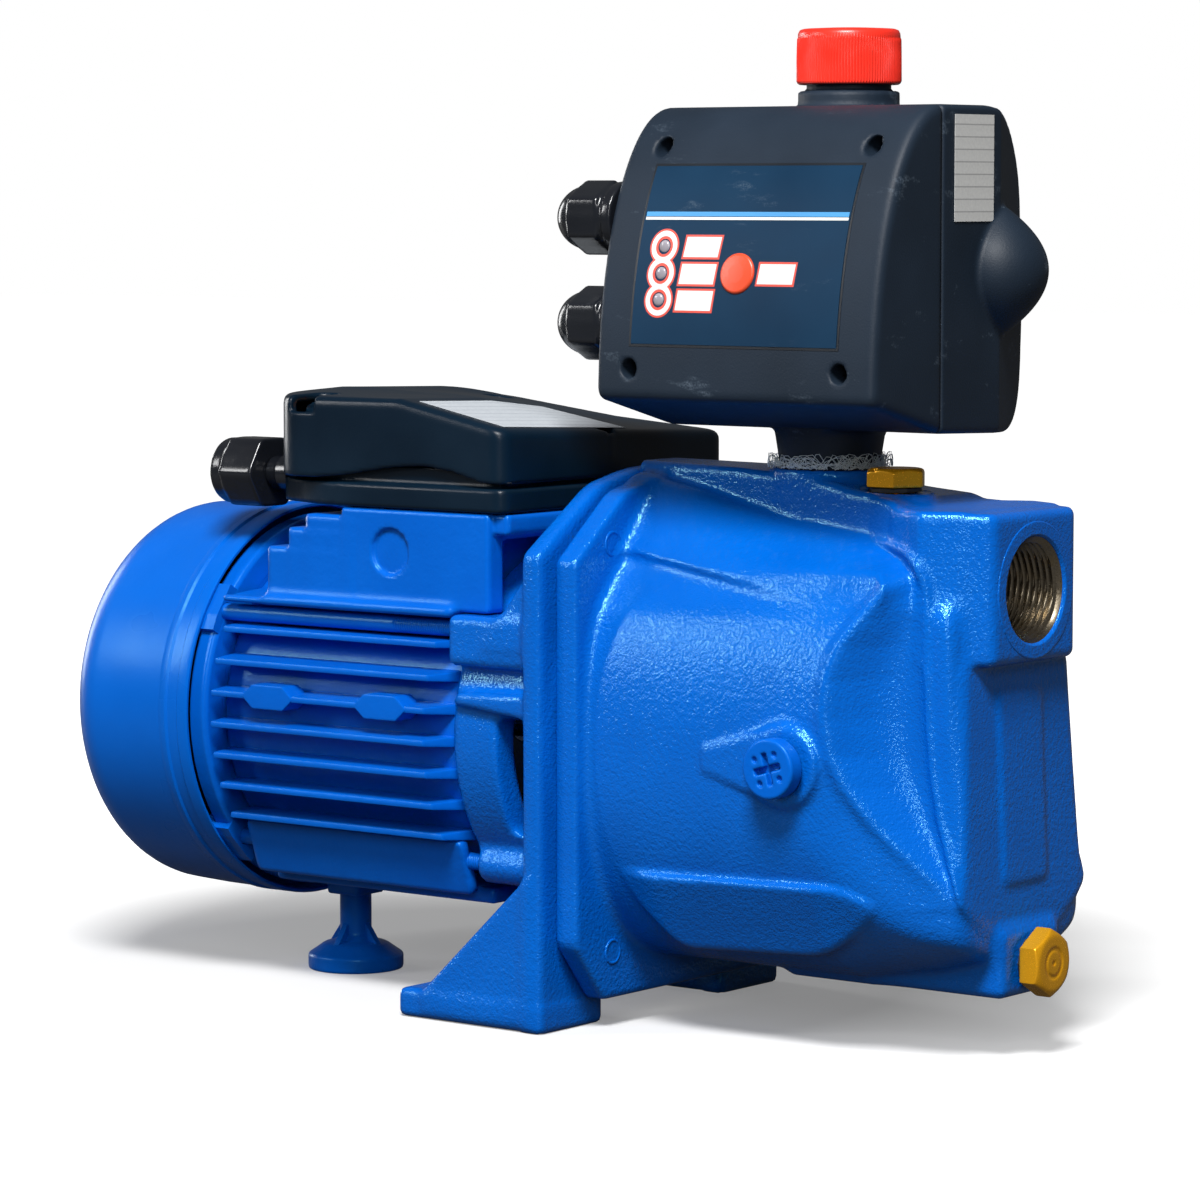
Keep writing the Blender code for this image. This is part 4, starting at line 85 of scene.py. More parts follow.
def fillet(a, b, width):
    """Two forms joined, with a hollow fillet between them."""
    share = np.clip(0.5 + 0.5 * (b - a) / width, 0.0, 1.0)
    return b + (a - b) * share - width * share * (1.0 - share)


def trimmed(a, b, width):
    """What two forms have in common, with a rounded edge."""
    return -fillet(-a, -b, width)


def hollowed(a, b, width):
    """The first form less the second, with a rounded rim."""
    return -fillet(-a, b, width)


def from_axis(a, b, spot):
    """Distance from an axis that passes through a spot."""
    return np.hypot(a - spot[0], b - spot[1])


def chest(x, y, z, low, high, edge):
    """A block with rounded edges."""
    middle = [(a + b) / 2 for a, b in zip(low, high)]
    half = [(b - a) / 2 - edge for a, b in zip(low, high)]
    over = [np.abs(c - m) - h for c, m, h in zip((x, y, z), middle, half)]
    outside = np.sqrt(sum(np.maximum(o, 0.0) ** 2 for o in over))
    return outside + np.minimum(np.maximum(np.maximum(over[0], over[1]), over[2]), 0.0) - edge


def round_bar(across, along, radius, start, end, edge):
    """A round bar; across is the distance from its axis and along the place on it."""
    side = across - (radius - edge)
    cap = np.abs(along - (start + end) / 2) - ((end - start) / 2 - edge)
    outside = np.sqrt(np.maximum(side, 0.0) ** 2 + np.maximum(cap, 0.0) ** 2)
    return outside + np.minimum(np.maximum(side, cap), 0.0) - edge


def outline(u, v, corners, edge):
    """A convex outline, its corners in turn anticlockwise, with rounded corners."""
    field = None
    for (u0, v0), (u1, v1) in zip(corners, corners[1:] + corners[:1]):
        length = math.hypot(u1 - u0, v1 - v0)
        side = ((u - u0) * (v1 - v0) - (v - v0) * (u1 - u0)) / length
        field = side if field is None else trimmed(field, side, edge)
    return field


def oval_bar(y, z, half, low, high, squareness):
    """Distance to a squarish oval, with sizes that may change along the casting."""
    middle = (low + high) / 2
    tall = (high - low) / 2
    across = np.abs(y) / half
    upward = np.abs(z - middle) / tall
    size = (across ** squareness + upward ** squareness) ** (1.0 / squareness) + 1e-6
    reach = np.sqrt(y * y + (z - middle) ** 2)
    return (reach - reach / size) * 0.9


def read(table, value):
    """A value read between the rows of a table."""
    return np.interp(value, [row[0] for row in table], [row[1] for row in table])


def cast_skin(form, low, high, step):
    """Points and faces of a casting whose skin is where its form is zero."""
    low = np.array(low, float)
    count = np.ceil((np.array(high) - low) / step).astype(int) + 1
    axes = [low[i] + step * np.arange(count[i]) for i in range(3)]
    field = form(*np.meshgrid(*axes, indexing="ij"))
    inside = field < 0
    cells = count - 1
    total = np.zeros((*cells, 3))
    hits = np.zeros(cells)
    for axis in range(3):
        first, second = [i for i in range(3) if i != axis]
        for a in (0, 1):
            for b in (0, 1):
                near = [0, 0, 0]
                near[first], near[second] = a, b
                far = list(near)
                far[axis] = 1
                here = field[tuple(slice(near[i], near[i] + cells[i]) for i in range(3))]
                there = field[tuple(slice(far[i], far[i] + cells[i]) for i in range(3))]
                crossed = (here < 0) != (there < 0)
                share = np.where(crossed, here / np.where(crossed, here - there, 1.0), 0.0)
                for i in range(3):
                    total[..., i] += np.where(crossed, near[i], 0.0)
                total[..., axis] += share
                hits += crossed
    active = hits > 0
    number = np.full(cells, -1)
    number[active] = np.arange(active.sum())
    points = low + step * (np.argwhere(active) + total[active] / hits[active][:, None])
    faces = []
    for axis in range(3):
        first, second = (axis + 1) % 3, (axis + 2) % 3
        lower = [slice(None)] * 3
        upper = [slice(None)] * 3
        lower[axis], upper[axis] = slice(0, -1), slice(1, None)
        for other in (first, second):
            lower[other] = upper[other] = slice(1, -1)
        leaving = inside[tuple(lower)] & ~inside[tuple(upper)]
        entering = ~inside[tuple(lower)] & inside[tuple(upper)]
        for edges, turn in ((leaving, 1), (entering, -1)):
            place = np.argwhere(edges)
            ring = []
            for a, b in ((0, 0), (1, 0), (1, 1), (0, 1)):
                cell = place.copy()
                cell[:, first] += a
                cell[:, second] += b
                ring.append(number[tuple(cell.T)])
            faces.append(np.stack(ring[::turn], axis=1))
    faces = np.concatenate(faces)

    small = 0.05
    for _ in range(3):
        slope = []
        for offset in np.eye(3) * small:
            slope.append(form(*(points + offset).T) - form(*(points - offset).T))
        normal = np.stack(slope, axis=1) / (2 * small)
        steep = np.maximum((normal ** 2).sum(1), 0.05)
        move = np.clip(form(*points.T) / steep, -0.5 * step, 0.5 * step)
        points = points - 0.8 * move[:, None] * normal
    return points, faces


def shown(name, form, material, body, slot, *nodes, sharp=None):
    """A piece from points in millimetres, for its nodes. It rides on a body, if one is given."""
    points, faces = form
    mesh = bpy.data.meshes.new(name)
    mesh.from_pydata(to_world(points).tolist(), [], [list(map(int, face)) for face in faces])
    mesh.materials.append(material)
    mesh.shade_smooth()
    piece = bpy.data.objects.new(name, mesh)
    bpy.context.scene.collection.objects.link(piece)
    if sharp is not None:
        mesh.set_sharp_from_angle(angle=math.radians(sharp))
        piece.modifiers.new("even_normals", "WEIGHTED_NORMAL").keep_sharp = True
    if body is not None:
        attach(piece, body)
    if nodes:
        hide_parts(*nodes)
    return piece


def effect(name, inputs):
    """A shader node group that puts out a skin's height, its tone and the marks on it."""
    group = bpy.data.node_groups.new(name, "ShaderNodeTree")
    for label, value in inputs.items():
        kind = "NodeSocketVector" if isinstance(value, tuple) else "NodeSocketFloat"
        group.interface.new_socket(label, in_out="INPUT", socket_type=kind).default_value = value
    for label in ("Height", "Tone", "Mark"):
        group.interface.new_socket(label, in_out="OUTPUT", socket_type="NodeSocketFloat")
    place = group.nodes.new("ShaderNodeTexCoord").outputs["Object"]
    return group, group.nodes.new("NodeGroupInput").outputs, group.nodes.new("NodeGroupOutput").inputs, place


def sum_of(tree, operation, first, second):
    """A math node on two sockets or numbers."""
    node = tree.nodes.new("ShaderNodeMath")
    node.operation = operation
    for socket, value in zip(node.inputs, (first, second)):
        if isinstance(value, (int, float)):
            socket.default_value = value
        else:
            tree.links.new(value, socket)
    return node.outputs[0]


def noise(tree, place, scale, detail=2.0, roughness=0.5):
    """Even noise at a scale that is a number or a socket."""
    node = tree.nodes.new("ShaderNodeTexNoise")
    node.inputs["Detail"].default_value = detail
    node.inputs["Roughness"].default_value = roughness
    tree.links.new(place, node.inputs["Vector"])
    if isinstance(scale, (int, float)):
        node.inputs["Scale"].default_value = scale
    else:
        tree.links.new(scale, node.inputs["Scale"])
    return node.outputs["Fac"]


def ranged(tree, value, low, high, first=0.0, last=1.0):
    """A value moved from one range to another and held inside it."""
    node = tree.nodes.new("ShaderNodeMapRange")
    for socket, number in zip(node.inputs[1:5], (low, high, first, last)):
        socket.default_value = number
    tree.links.new(value, node.inputs[0])
    return node.outputs[0]


# Pebbled skin: lumps of the sand mould under the paint, a finer orange peel, settled dust.
pebbled_skin, given, result, place = effect(
    "pebbled_skin", {"Lump Scale": 420.0, "Peel Scale": 1250.0, "Peel Share": 0.35},
)
lumps = noise(pebbled_skin, place, given["Lump Scale"], 1.5, 0.45)
peel = noise(pebbled_skin, place, given["Peel Scale"], 1.0, 0.4)
broad = noise(pebbled_skin, place, 26.0, 3.0, 0.55)
patchy = ranged(pebbled_skin, broad, 0.3, 0.7, 0.45, 1.15)
peel_part = sum_of(pebbled_skin, "MULTIPLY", peel, given["Peel Share"])
height = sum_of(pebbled_skin, "ADD", sum_of(pebbled_skin, "MULTIPLY", lumps, patchy), peel_part)
upward = pebbled_skin.nodes.new("ShaderNodeSeparateXYZ")
facing = pebbled_skin.nodes.new("ShaderNodeNewGeometry")
pebbled_skin.links.new(facing.outputs["Normal"], upward.inputs[0])
settled = ranged(pebbled_skin, upward.outputs["Z"], 0.5, 1.0)
specks = ranged(pebbled_skin, noise(pebbled_skin, place, 310.0, 4.0, 0.7), 0.52, 0.72)
pebbled_skin.links.new(height, result["Height"])
pebbled_skin.links.new(ranged(pebbled_skin, broad, 0.25, 0.75), result["Tone"])
pebbled_skin.links.new(sum_of(pebbled_skin, "MULTIPLY", settled, specks), result["Mark"])


def finish(name, skin_group, values, colour, deep, mark, share, rough, relief,
           metallic=0.0, shine=0.5, tint=(1.0, 1.0, 1.0)):
    """A finish of two tones with marks over them; roughness goes with tone, relief with height."""
    material = bpy.data.materials.new(name)
    material.use_nodes = True
    tree = material.node_tree
    shader = tree.nodes["Principled BSDF"]
    skin = tree.nodes.new("ShaderNodeGroup")
    skin.node_tree = skin_group
    for label, value in values.items():
        skin.inputs[label].default_value = value
    marks = sum_of(tree, "MULTIPLY", skin.outputs["Mark"], share)
    tones = []
    for factor, under, over in ((skin.outputs["Tone"], deep, colour), (marks, None, mark)):
        mix = tree.nodes.new("ShaderNodeMix")
        mix.data_type = "RGBA"
        tree.links.new(factor, mix.inputs[0])
        if under is None:
            tree.links.new(tones[-1], mix.inputs[6])
        else:
            mix.inputs[6].default_value = (*under, 1.0)
        mix.inputs[7].default_value = (*over, 1.0)
        tones.append(mix.outputs[2])
    tree.links.new(tones[-1], shader.inputs["Base Color"])
    tree.links.new(ranged(tree, skin.outputs["Tone"], 0.0, 1.0, *rough), shader.inputs["Roughness"])
    bump = tree.nodes.new("ShaderNodeBump")
    bump.inputs["Distance"].default_value = relief
    tree.links.new(skin.outputs["Height"], bump.inputs["Height"])
    tree.links.new(bump.outputs["Normal"], shader.inputs["Normal"])
    shader.inputs["Metallic"].default_value = metallic
    shader.inputs["Specular IOR Level"].default_value = shine
    shader.inputs["Specular Tint"].default_value = (*tint, 1.0)
    return material


ENAMEL_TINT = (0.30, 0.88, 1.0)
cast_enamel = finish(
    "cast_enamel", pebbled_skin, {"Lump Scale": 680.0, "Peel Scale": 1600.0, "Peel Share": 0.5},
    (0.0004, 0.124, 0.59), (0.0004, 0.102, 0.51), (0.16, 0.36, 0.62), 0.06,
    (0.17, 0.22), 0.00032, shine=0.75, tint=ENAMEL_TINT,
)

RIDGE_X = ((46.0, 146.0), (56.0, 143.0), (65.0, 139.8), (80.0, 135.0), (95.0, 132.0), (110.0, 130.4),
           (127.0, 129.6), (150.0, 128.8), (190.0, 127.6))
RIDGE_Z = ((0.0, 186.0), (30.0, 180.5), (45.0, 176.8), (58.0, 173.8), (75.0, 170.0), (92.0, 166.6),
           (108.0, 164.4), (126.0, 162.0), (150.0, 159.0))
DECK_TOP = ((0.0, 189.0), (40.0, 188.2), (69.0, 186.8), (84.0, 184.8), (94.0, 182.6), (104.0, 181.4),
            (110.0, 180.6), (114.0, 178.6), (119.0, 177.8), (152.0, 177.6))
WALL_SIDE = ((0.0, 11.5), (40.0, 15.0), (80.0, 19.5), (100.0, 22.8), (110.0, 26.0), (118.0, 29.8),
             (124.0, 33.2), (128.0, 34.8))
PANEL_SIDE = ((45.0, 36.8), (64.0, 35.6), (126.0, 29.4), (134.0, 25.8), (180.0, 25.4))
DISH_EDGE = ((50.0, 149.0), (56.0, 143.5), (66.0, 134.5), (77.0, 125.0), (90.0, 115.8), (100.0, 111.0),
             (112.0, 108.6), (124.0, 108.6), (135.0, 111.2), (144.0, 115.8), (152.0, 121.2),
             (160.0, 127.0), (166.0, 130.0))


def casing_form(x, y, z):
    side = np.abs(y)
    half_flange = [(46.0, 10.0), (62.0, 30.0), (62.0, 158.0), (34.5, 180.0), (10.5, 185.0)]
    flange = outline(y, z, half_flange + [(-a, b) for a, b in reversed(half_flange)], 1.5)
    flange = trimmed(flange, np.abs(x - 5.95) - 4.55, 2.2)
    low = np.interp(x, (0, 98, 130, 150), (21, 21, 27, 33))
    high = np.interp(x, (0, 98, 120, 150), (172, 172, 166, 150))
    barrel = oval_bar(y, z, 57.0, low, high, 2.4)
    ridge = read(RIDGE_Z, x)
    roof = trimmed((z - 159.5 - (ridge - 159.5) * (37.0 - side) / 17.0) / 1.6, z - ridge, 3.0)
    roof = trimmed(roof, np.maximum(side - 42.0, np.maximum(x - 118.0, 140.0 - z)), 3.0)
    barrel = fillet(barrel, roof, 5.0)
    barrel = trimmed(barrel, (side - 57.4 + 0.475 * (x - 102.0)) / 1.1, 4.0)
    start = read(DISH_EDGE, z)
    run = (x - start) / np.maximum(read(RIDGE_X, z) + 1.5 - start, 5.0)
    depth = np.maximum(57.4 - 0.475 * (start - 102.0) - 33.6, 0.4)
    bead = np.exp(-(((x - start + 1.6) / 4.4) ** 2)) * np.clip((z - 58.0) / 24.0, 0.0, 1.0)
    barrel = barrel - 2.3 * bead
    hollow = 33.6 + depth * np.where(run < 0, 1.0 - 2.3 * run, np.clip(1.0 - run, 0.0, 1.0) ** 2.3)
    barrel = trimmed(barrel, (side - hollow - 1.6) / 1.8, 5.0)
    front = 147.0 - 0.047 * (z - 41.0)
    barrel = trimmed(barrel, np.maximum(x - front + 1.0, 2.0 - x), 5.0)
    facet = 0.771 * side + 0.636 * z - 128.4 - 0.008 * (x - 25.0)
    window = trimmed(x - 97.0 + 0.2 * (z - 145.0), z - 160.0 + 0.145 * (x - 25.0), 3.0)
    barrel = hollowed(barrel, trimmed(-facet, window, 7.0), 0.9)
    ledge = outline(x, z, [(40.0, 30.0), (98.0, 33.0), (115.0, 44.0), (120.0, 52.0), (109.0, 57.5),
                           (22.0, 55.0), (24.0, 45.0)], 4.0)
    chin = 54.8 - 0.45 * (57.0 - z) - np.clip((38.0 - x) / 14.0, 0.0, 1.0) ** 2 * 3.0
    chin = chin - np.clip((x - 100.0) / 25.0, 0.0, 1.0) * 4.5
    barrel = fillet(barrel, trimmed(ledge, np.maximum(side - chin, 20.0 - side), 2.0), 2.6)
    share = np.clip((x - 128.0) / 19.0, 0.0, 1.2)
    edge = fillet(np.minimum(ridge, 172.0) - z, read(RIDGE_X, z) - x, 14.0)
    wall = np.where(x < 128.0, read(WALL_SIDE, x), 34.8 + (read(PANEL_SIDE, z) - 34.8) * share)
    wall = wall + 2.3 * np.exp(-(((-edge - 2.3) / 1.6) ** 2)) * np.clip((x - 95.0) / 20.0, 0.0, 1.0)
    nose = trimmed(z - read(DECK_TOP, x), x - front, 3.0)
    nose = trimmed(nose, side - wall, 3.2)
    nose = trimmed(nose, edge, 2.2)
    nose = trimmed(nose, (side - 37.0) * 0.55 - (z - 50.0) * 0.83, 5.0)
    body = fillet(barrel, nose, 2.4)
    pad = trimmed(np.abs(y) - 13.0, np.abs(z - 88.0) - 31.0, 4.0)
    body = fillet(body, trimmed(trimmed(pad, x - front - 1.0, 2.4), front - 4.0 - x, 1.0), 2.0)
    body = fillet(body, flange, 4.5)
    from_port = from_axis(y, z, PORT_SPOT)
    boss = chest(x, y, z, (112.0, -40.0, 128.6), (149.8, 40.0, 177.6), 3.0)
    flank = np.minimum(read(WALL_SIDE, x), 34.8 - 0.482 * (x - 128.0))
    body = fillet(body, trimmed(boss, (side - flank) * 0.9, 3.0), 2.2)
    collar = from_axis(x, y, OUTLET_SPOT)
    body = fillet(body, round_bar(collar, z, 18.6, 160.0, 188.5, 0.8), 2.0)
    from_gauge = from_axis(x, z, GAUGE_SPOT)
    gauge = round_bar(from_gauge, side, 12.8, 30.0, 58.9, 1.2)
    tail = np.abs(z - GAUGE_SPOT[1]) - 3.0 - 9.6 * np.clip((x - 60.0) / 30.0, 0.0, 1.0)
    tail = trimmed(tail, np.maximum(side - 56.9 - 0.06 * (x - 62.0), np.maximum(x - 92.0, 60.0 - x)), 2.0)
    gauge = np.where(y < 0, fillet(gauge, tail, 2.0), 50.0)
    body = fillet(body, gauge, 3.6)
    from_priming = from_axis(x, y, PRIMING_SPOT)
    body = fillet(body, round_bar(from_priming, z, 12.6, 150.0, 181.9, 1.2), 3.0)
    body = hollowed(body, np.maximum(from_priming - 11.4, 181.9 - z), 0.8)
    keel = chest(x, y, z, (64.0, -17.0, 20.6), (149.0, 17.0, 43.0), 3.0)
    body = fillet(body, keel, 4.0)
    from_drain = from_axis(y, z, DRAIN_SPOT)
    for hole in (
        np.maximum(from_port - 18.2, 112.0 - x),
        np.maximum(from_priming - 6.9, 168.0 - z), np.maximum(from_drain - 6.9, 135.0 - x),
        np.maximum(from_gauge - 6.9, y + 45.0),
        np.maximum(collar - 16.6, 172.0 - z),
    ):
        body = np.maximum(body, -hole)
    return body


shown(
    "casing", cast_skin(casing_form, (-1.5, -64.0, 7.0), (153.0, 64.0, 192.0), 1.15),
    cast_enamel, "frame", "cast_blue", "pump_body",
)

# ---------------------------------------------------------------------------------------
# Suction port: the mouth of the boss, faced off and cut with a pipe thread. The bare cut
# metal shows a warm grey inside, the paint stops at the edge of the faced ring, and a brass
# throat ring sits behind the thread.
# ---------------------------------------------------------------------------------------
PORT_PITCH, PORT_SIDES = 2.31, 72


def placed(axis, along, first, second):
    """Points on an axis from the place along it and two places across it."""
    order = {"X": (along, first, second), "Y": (first, along, second), "Z": (first, second, along)}
    return np.stack(np.broadcast_arrays(*order[axis]), axis=-1)


def softened(profile, amount, steps=3):
    """A profile with its inner corners rounded by short arcs."""
    points = [np.array(point, float) for point in profile]
    soft = [points[0]]
    for before, corner, after in zip(points, points[1:], points[2:]):
        back, on = before - corner, after - corner
        reach = min(amount, 0.45 * np.linalg.norm(back), 0.45 * np.linalg.norm(on))
        start = corner + back / np.linalg.norm(back) * reach
        end = corner + on / np.linalg.norm(on) * reach
        for step in range(steps + 1):
            share = step / steps
            soft.append((1 - share) ** 2 * start + 2 * share * (1 - share) * corner + share ** 2 * end)
    return soft + [points[-1]]


def spun(profile, axis, centre, sides=64, closed=False, ripple=None):
    """A turned piece from (along, radius) rows; its ends are closed unless it is a ring."""
    angle = 2 * np.pi * np.arange(sides) / sides
    rows = []
    for number, (along, radius) in enumerate(profile):
        wide = radius if ripple is None else radius + ripple(number, angle)
        rows.append(placed(axis, along, centre[0] + wide * np.cos(angle), centre[1] + wide * np.sin(angle)))
    return skinned(rows, closed)


def skinned(rows, closed=False):
    """A form through rings of points; its ends are closed unless the last ring meets the first."""
    count, sides = len(rows), len(rows[0])
    faces = []
    for row in range(count if closed else count - 1):
        a, b = row * sides, (row + 1) % count * sides
        for side in range(sides):
            after = (side + 1) % sides
            faces.append((a + side, a + after, b + after, b + side))
    if not closed:
        faces.append(tuple(range(sides))[::-1])
        faces.append(tuple(range((count - 1) * sides, count * sides)))
    return squared(np.concatenate(rows), faces)


def squared(points, faces):
    """The same form with all its faces turned outwards and doubled points joined."""
    bm = bmesh.new()
    corners = [bm.verts.new(point) for point in points]
    for face in faces:
        if len(set(face)) > 2:
            bm.faces.new([corners[i] for i in face])
    bmesh.ops.remove_doubles(bm, verts=bm.verts[:], dist=1e-4)
    bmesh.ops.recalc_face_normals(bm, faces=bm.faces[:])
    return taken(bm)


def taken(bm):
    """Points and faces out of a working mesh."""
    bm.verts.index_update()
    points = np.array([vert.co[:] for vert in bm.verts])
    faces = [tuple(vert.index for vert in face.verts) for face in bm.faces]
    bm.free()
    return points, faces


def together(*forms):
    """Several forms as one piece."""
    points, faces, start = [], [], 0
    for some, rings in forms:
        points.append(np.asarray(some, float))
        faces += [tuple(int(i) + start for i in ring) for ring in rings]
        start += len(some)
    return np.concatenate(points), faces


def thread(axis, centre, start, end, outer, depth, pitch, sides=48, rows=6):
    """A screw thread's skin, rising by one pitch in each turn."""
    angle = 2 * np.pi * np.arange(sides) / sides
    levels = np.linspace(start, end, int((end - start) / pitch * rows) + 1)
    profile = []
    for along in levels:
        turn = (along / pitch - angle / (2 * np.pi)) % 1.0
        profile.append((along, outer - depth * np.abs(2 * turn - 1) ** 1.3))
    return spun(profile, axis, centre, sides)


# Worked metal: tool rings about a centre, fine scratches across them, and tarnish.
worked_metal, given, result, place = effect(
    "worked_metal", {"Centre": (0.0, 0.0, 0.0), "Across": (0.0, 1.0, 1.0), "Ring Scale": 2500.0},
)
steps = []
for operation, first, second in (
    ("SUBTRACT", place, given["Centre"]), ("MULTIPLY", None, given["Across"]), ("LENGTH", None, None),
):
    node = worked_metal.nodes.new("ShaderNodeVectorMath")
    node.operation = operation
    worked_metal.links.new(first or steps[-1].outputs["Vector"], node.inputs[0])
    if second:
        worked_metal.links.new(second, node.inputs[1])
    steps.append(node)
rings = sum_of(worked_metal, "MULTIPLY", steps[-1].outputs["Value"], given["Ring Scale"])
rings = ranged(worked_metal, sum_of(worked_metal, "SINE", rings, 0.0), -1.0, 1.0)
scratch = noise(worked_metal, place, 1800.0, 3.0, 0.6)
height = sum_of(worked_metal, "ADD", sum_of(worked_metal, "MULTIPLY", rings, 0.6), scratch)
tarnish = noise(worked_metal, place, 140.0, 5.0, 0.65)
worked_metal.links.new(height, result["Height"])
worked_metal.links.new(ranged(worked_metal, scratch, 0.3, 0.7), result["Tone"])
worked_metal.links.new(ranged(worked_metal, tarnish, 0.5, 0.75), result["Mark"])


def world_point(x, y, z):
    """One point in metres in the frame."""
    return tuple(float(value) for value in to_world((x, y, z)))


cut_iron = finish(
    "cut_iron", worked_metal, {"Centre": world_point(150.0, *PORT_SPOT), "Ring Scale": 2100.0},
    (0.27, 0.23, 0.17), (0.17, 0.14, 0.10), (0.34, 0.22, 0.06), 0.3, (0.26, 0.36), 0.00002, metallic=1.0,
)
angles = 2 * np.pi * np.arange(PORT_SIDES) / PORT_SIDES
cut = [(126.0, 15.6)]
for along in np.linspace(127.0, 147.6, 73):
    turn = (along / PORT_PITCH - angles / (2 * np.pi)) % 1.0
    cut.append((along, 15.1 + 1.45 * np.abs(2 * turn - 1) ** 1.2))
cut += [(148.4, 16.7), (149.3, 17.6), (149.3, 17.6), (146.0, 17.9), (126.0, 17.9)]
shown(
    "port_thread", spun(cut, "X", PORT_SPOT, PORT_SIDES, closed=True),
    cut_iron, "frame", "steel", sharp=50,
)
port_face = softened(((147.0, 22.4), (149.7, 22.4), (150.05, 22.0), (150.05, 18.0), (149.2, 17.2),
                      (147.0, 17.6)), 0.25)
shown(
    "port_face", spun(port_face, "X", PORT_SPOT, 96, closed=True),
    cast_enamel, "frame", "cast_blue", sharp=40,
)
brass = finish(
    "brass", worked_metal, {"Centre": world_point(158.0, *DRAIN_SPOT), "Ring Scale": 4200.0},
    (0.97, 0.46, 0.012), (0.93, 0.43, 0.010), (0.66, 0.27, 0.008), 0.15, (0.24, 0.28), 0.000003, metallic=0.5,
)
throat = softened(((125.6, 17.6), (125.6, 13.6), (124.6, 12.6), (114.0, 11.8), (114.0, 17.6)), 0.8)
shown("port_throat", spun(throat, "X", PORT_SPOT, PORT_SIDES, closed=True), brass, "frame", "brass", sharp=40)

# ---------------------------------------------------------------------------------------
# Motor bracket: a second iron casting that carries the pump on the motor. Its flange stands
# on two feet with gussets behind, and its drum has windows on both sides of the shaft seal.
# ---------------------------------------------------------------------------------------
HIGH_ROD, LOW_ROD = (55.0, 132.5), (46.0, 52.0)
FOOT_HOLE = (-45.0, 49.0)


def bracket_form(x, y, z):
    side = np.abs(y)
    half_plate = [(68.0, 0.0), (68.0, 160.0), (34.5, 182.0), (10.5, 187.0)]
    plate = outline(y, z, half_plate + [(-a, b) for a, b in reversed(half_plate)], 2.0)
    plate = trimmed(plate, np.abs(x + 4.1) - 3.9, 2.4)
    plate = hollowed(plate, np.maximum(side - 34.0, z - 10.0), 2.5)
    foot = chest(x, side, z, (-62.0, 34.2, 0.0), (-0.2, 68.0, 10.0), 2.4)
    body = fillet(plate, foot, 2.0)
    web = outline(x, z, [(-50.6, 3.0), (-4.0, 3.0), (-4.0, 52.0), (-8.0, 51.0), (-51.0, 10.4)], 2.0)
    web = trimmed(web, np.maximum(58.0 - side, side - 68.0), 2.0)
    body = fillet(body, web, 2.5)
    from_shaft = from_axis(y, z, SHAFT_SPOT)
    drum = round_bar(from_shaft, x, 63.0, -42.0, -2.0, 2.5)
    drum = hollowed(drum, np.maximum(from_shaft - 52.0, x + 9.5), 1.5)
    body = fillet(body, drum, 5.0)
    lug = chest(x, side, z, (-42.0, 42.0, 121.0), (-4.0, 65.5, 138.0), 2.6)
    flank = [(-32.0, 128.0), (-4.0, 128.0), (-4.0, 158.0), (-10.0, 157.0), (-17.0, 144.0)]
    flank = outline(x, z, flank, 4.0)
    flank = trimmed(flank, np.maximum(46.0 - side, side - 65.0), 2.5)
    body = fillet(body, fillet(lug, flank, 4.0), 3.0)
    rib = outline(x, z, [(-40.0, 108.0), (-4.0, 104.0), (-4.0, 113.0), (-38.0, 112.0)], 1.5)
    body = fillet(body, trimmed(rib, np.maximum(50.0 - side, side - 65.5), 1.6), 2.5)
    from_low_rod = from_axis(side, z, LOW_ROD)
    body = fillet(body, round_bar(from_low_rod, x, 6.6, -40.0, -4.0, 2.0), 4.0)
    body = fillet(body, round_bar(from_shaft, x, 23.5, -34.6, -4.0, 1.5), 3.0)
    window = chest(x, side, z, (-23.0, 30.0, 64.0), (-9.0, 90.0, 104.0), 3.5)
    body = hollowed(body, window, 2.0)
    from_high_rod = from_axis(side, z, HIGH_ROD)
    for hole in (
        np.maximum(from_shaft - 17.8, x + 22.7), from_shaft - 8.3, np.maximum(from_shaft - 12.8, -5.0 - x),
        np.maximum(np.minimum(from_high_rod, from_low_rod) - 3.6, x + 24.0),
        np.maximum(from_axis(x, side, FOOT_HOLE) - 4.5, z - 12.0),
    ):
        body = np.maximum(body, -hole)
    return np.maximum(body, -z)


shown(
    "bracket", cast_skin(bracket_form, (-64.5, -70.5, -1.5), (2.0, 70.5, 189.5), 1.5),
    cast_enamel, "frame", "cast_blue", "motor_bracket",
)

# ---------------------------------------------------------------------------------------
# Body bolts: four zinc-plated hexagon screws from behind the bracket. Their ends lie flush
# in the casing's flange, where the paint has run round them.
# ---------------------------------------------------------------------------------------
BOLT_PLACES = ((42.0, 163.0), (-42.0, 163.0), (42.0, 26.0), (-42.0, 26.0))


def hexagon(u, v, flat, turn=0.0):
    """Distance to a hexagon with half its width across the flats."""
    field = None
    for step in range(3):
        angle = turn + step * math.pi / 3
        side = np.abs(u * math.cos(angle) + v * math.sin(angle)) - flat
        field = side if field is None else np.maximum(field, side)
    return field


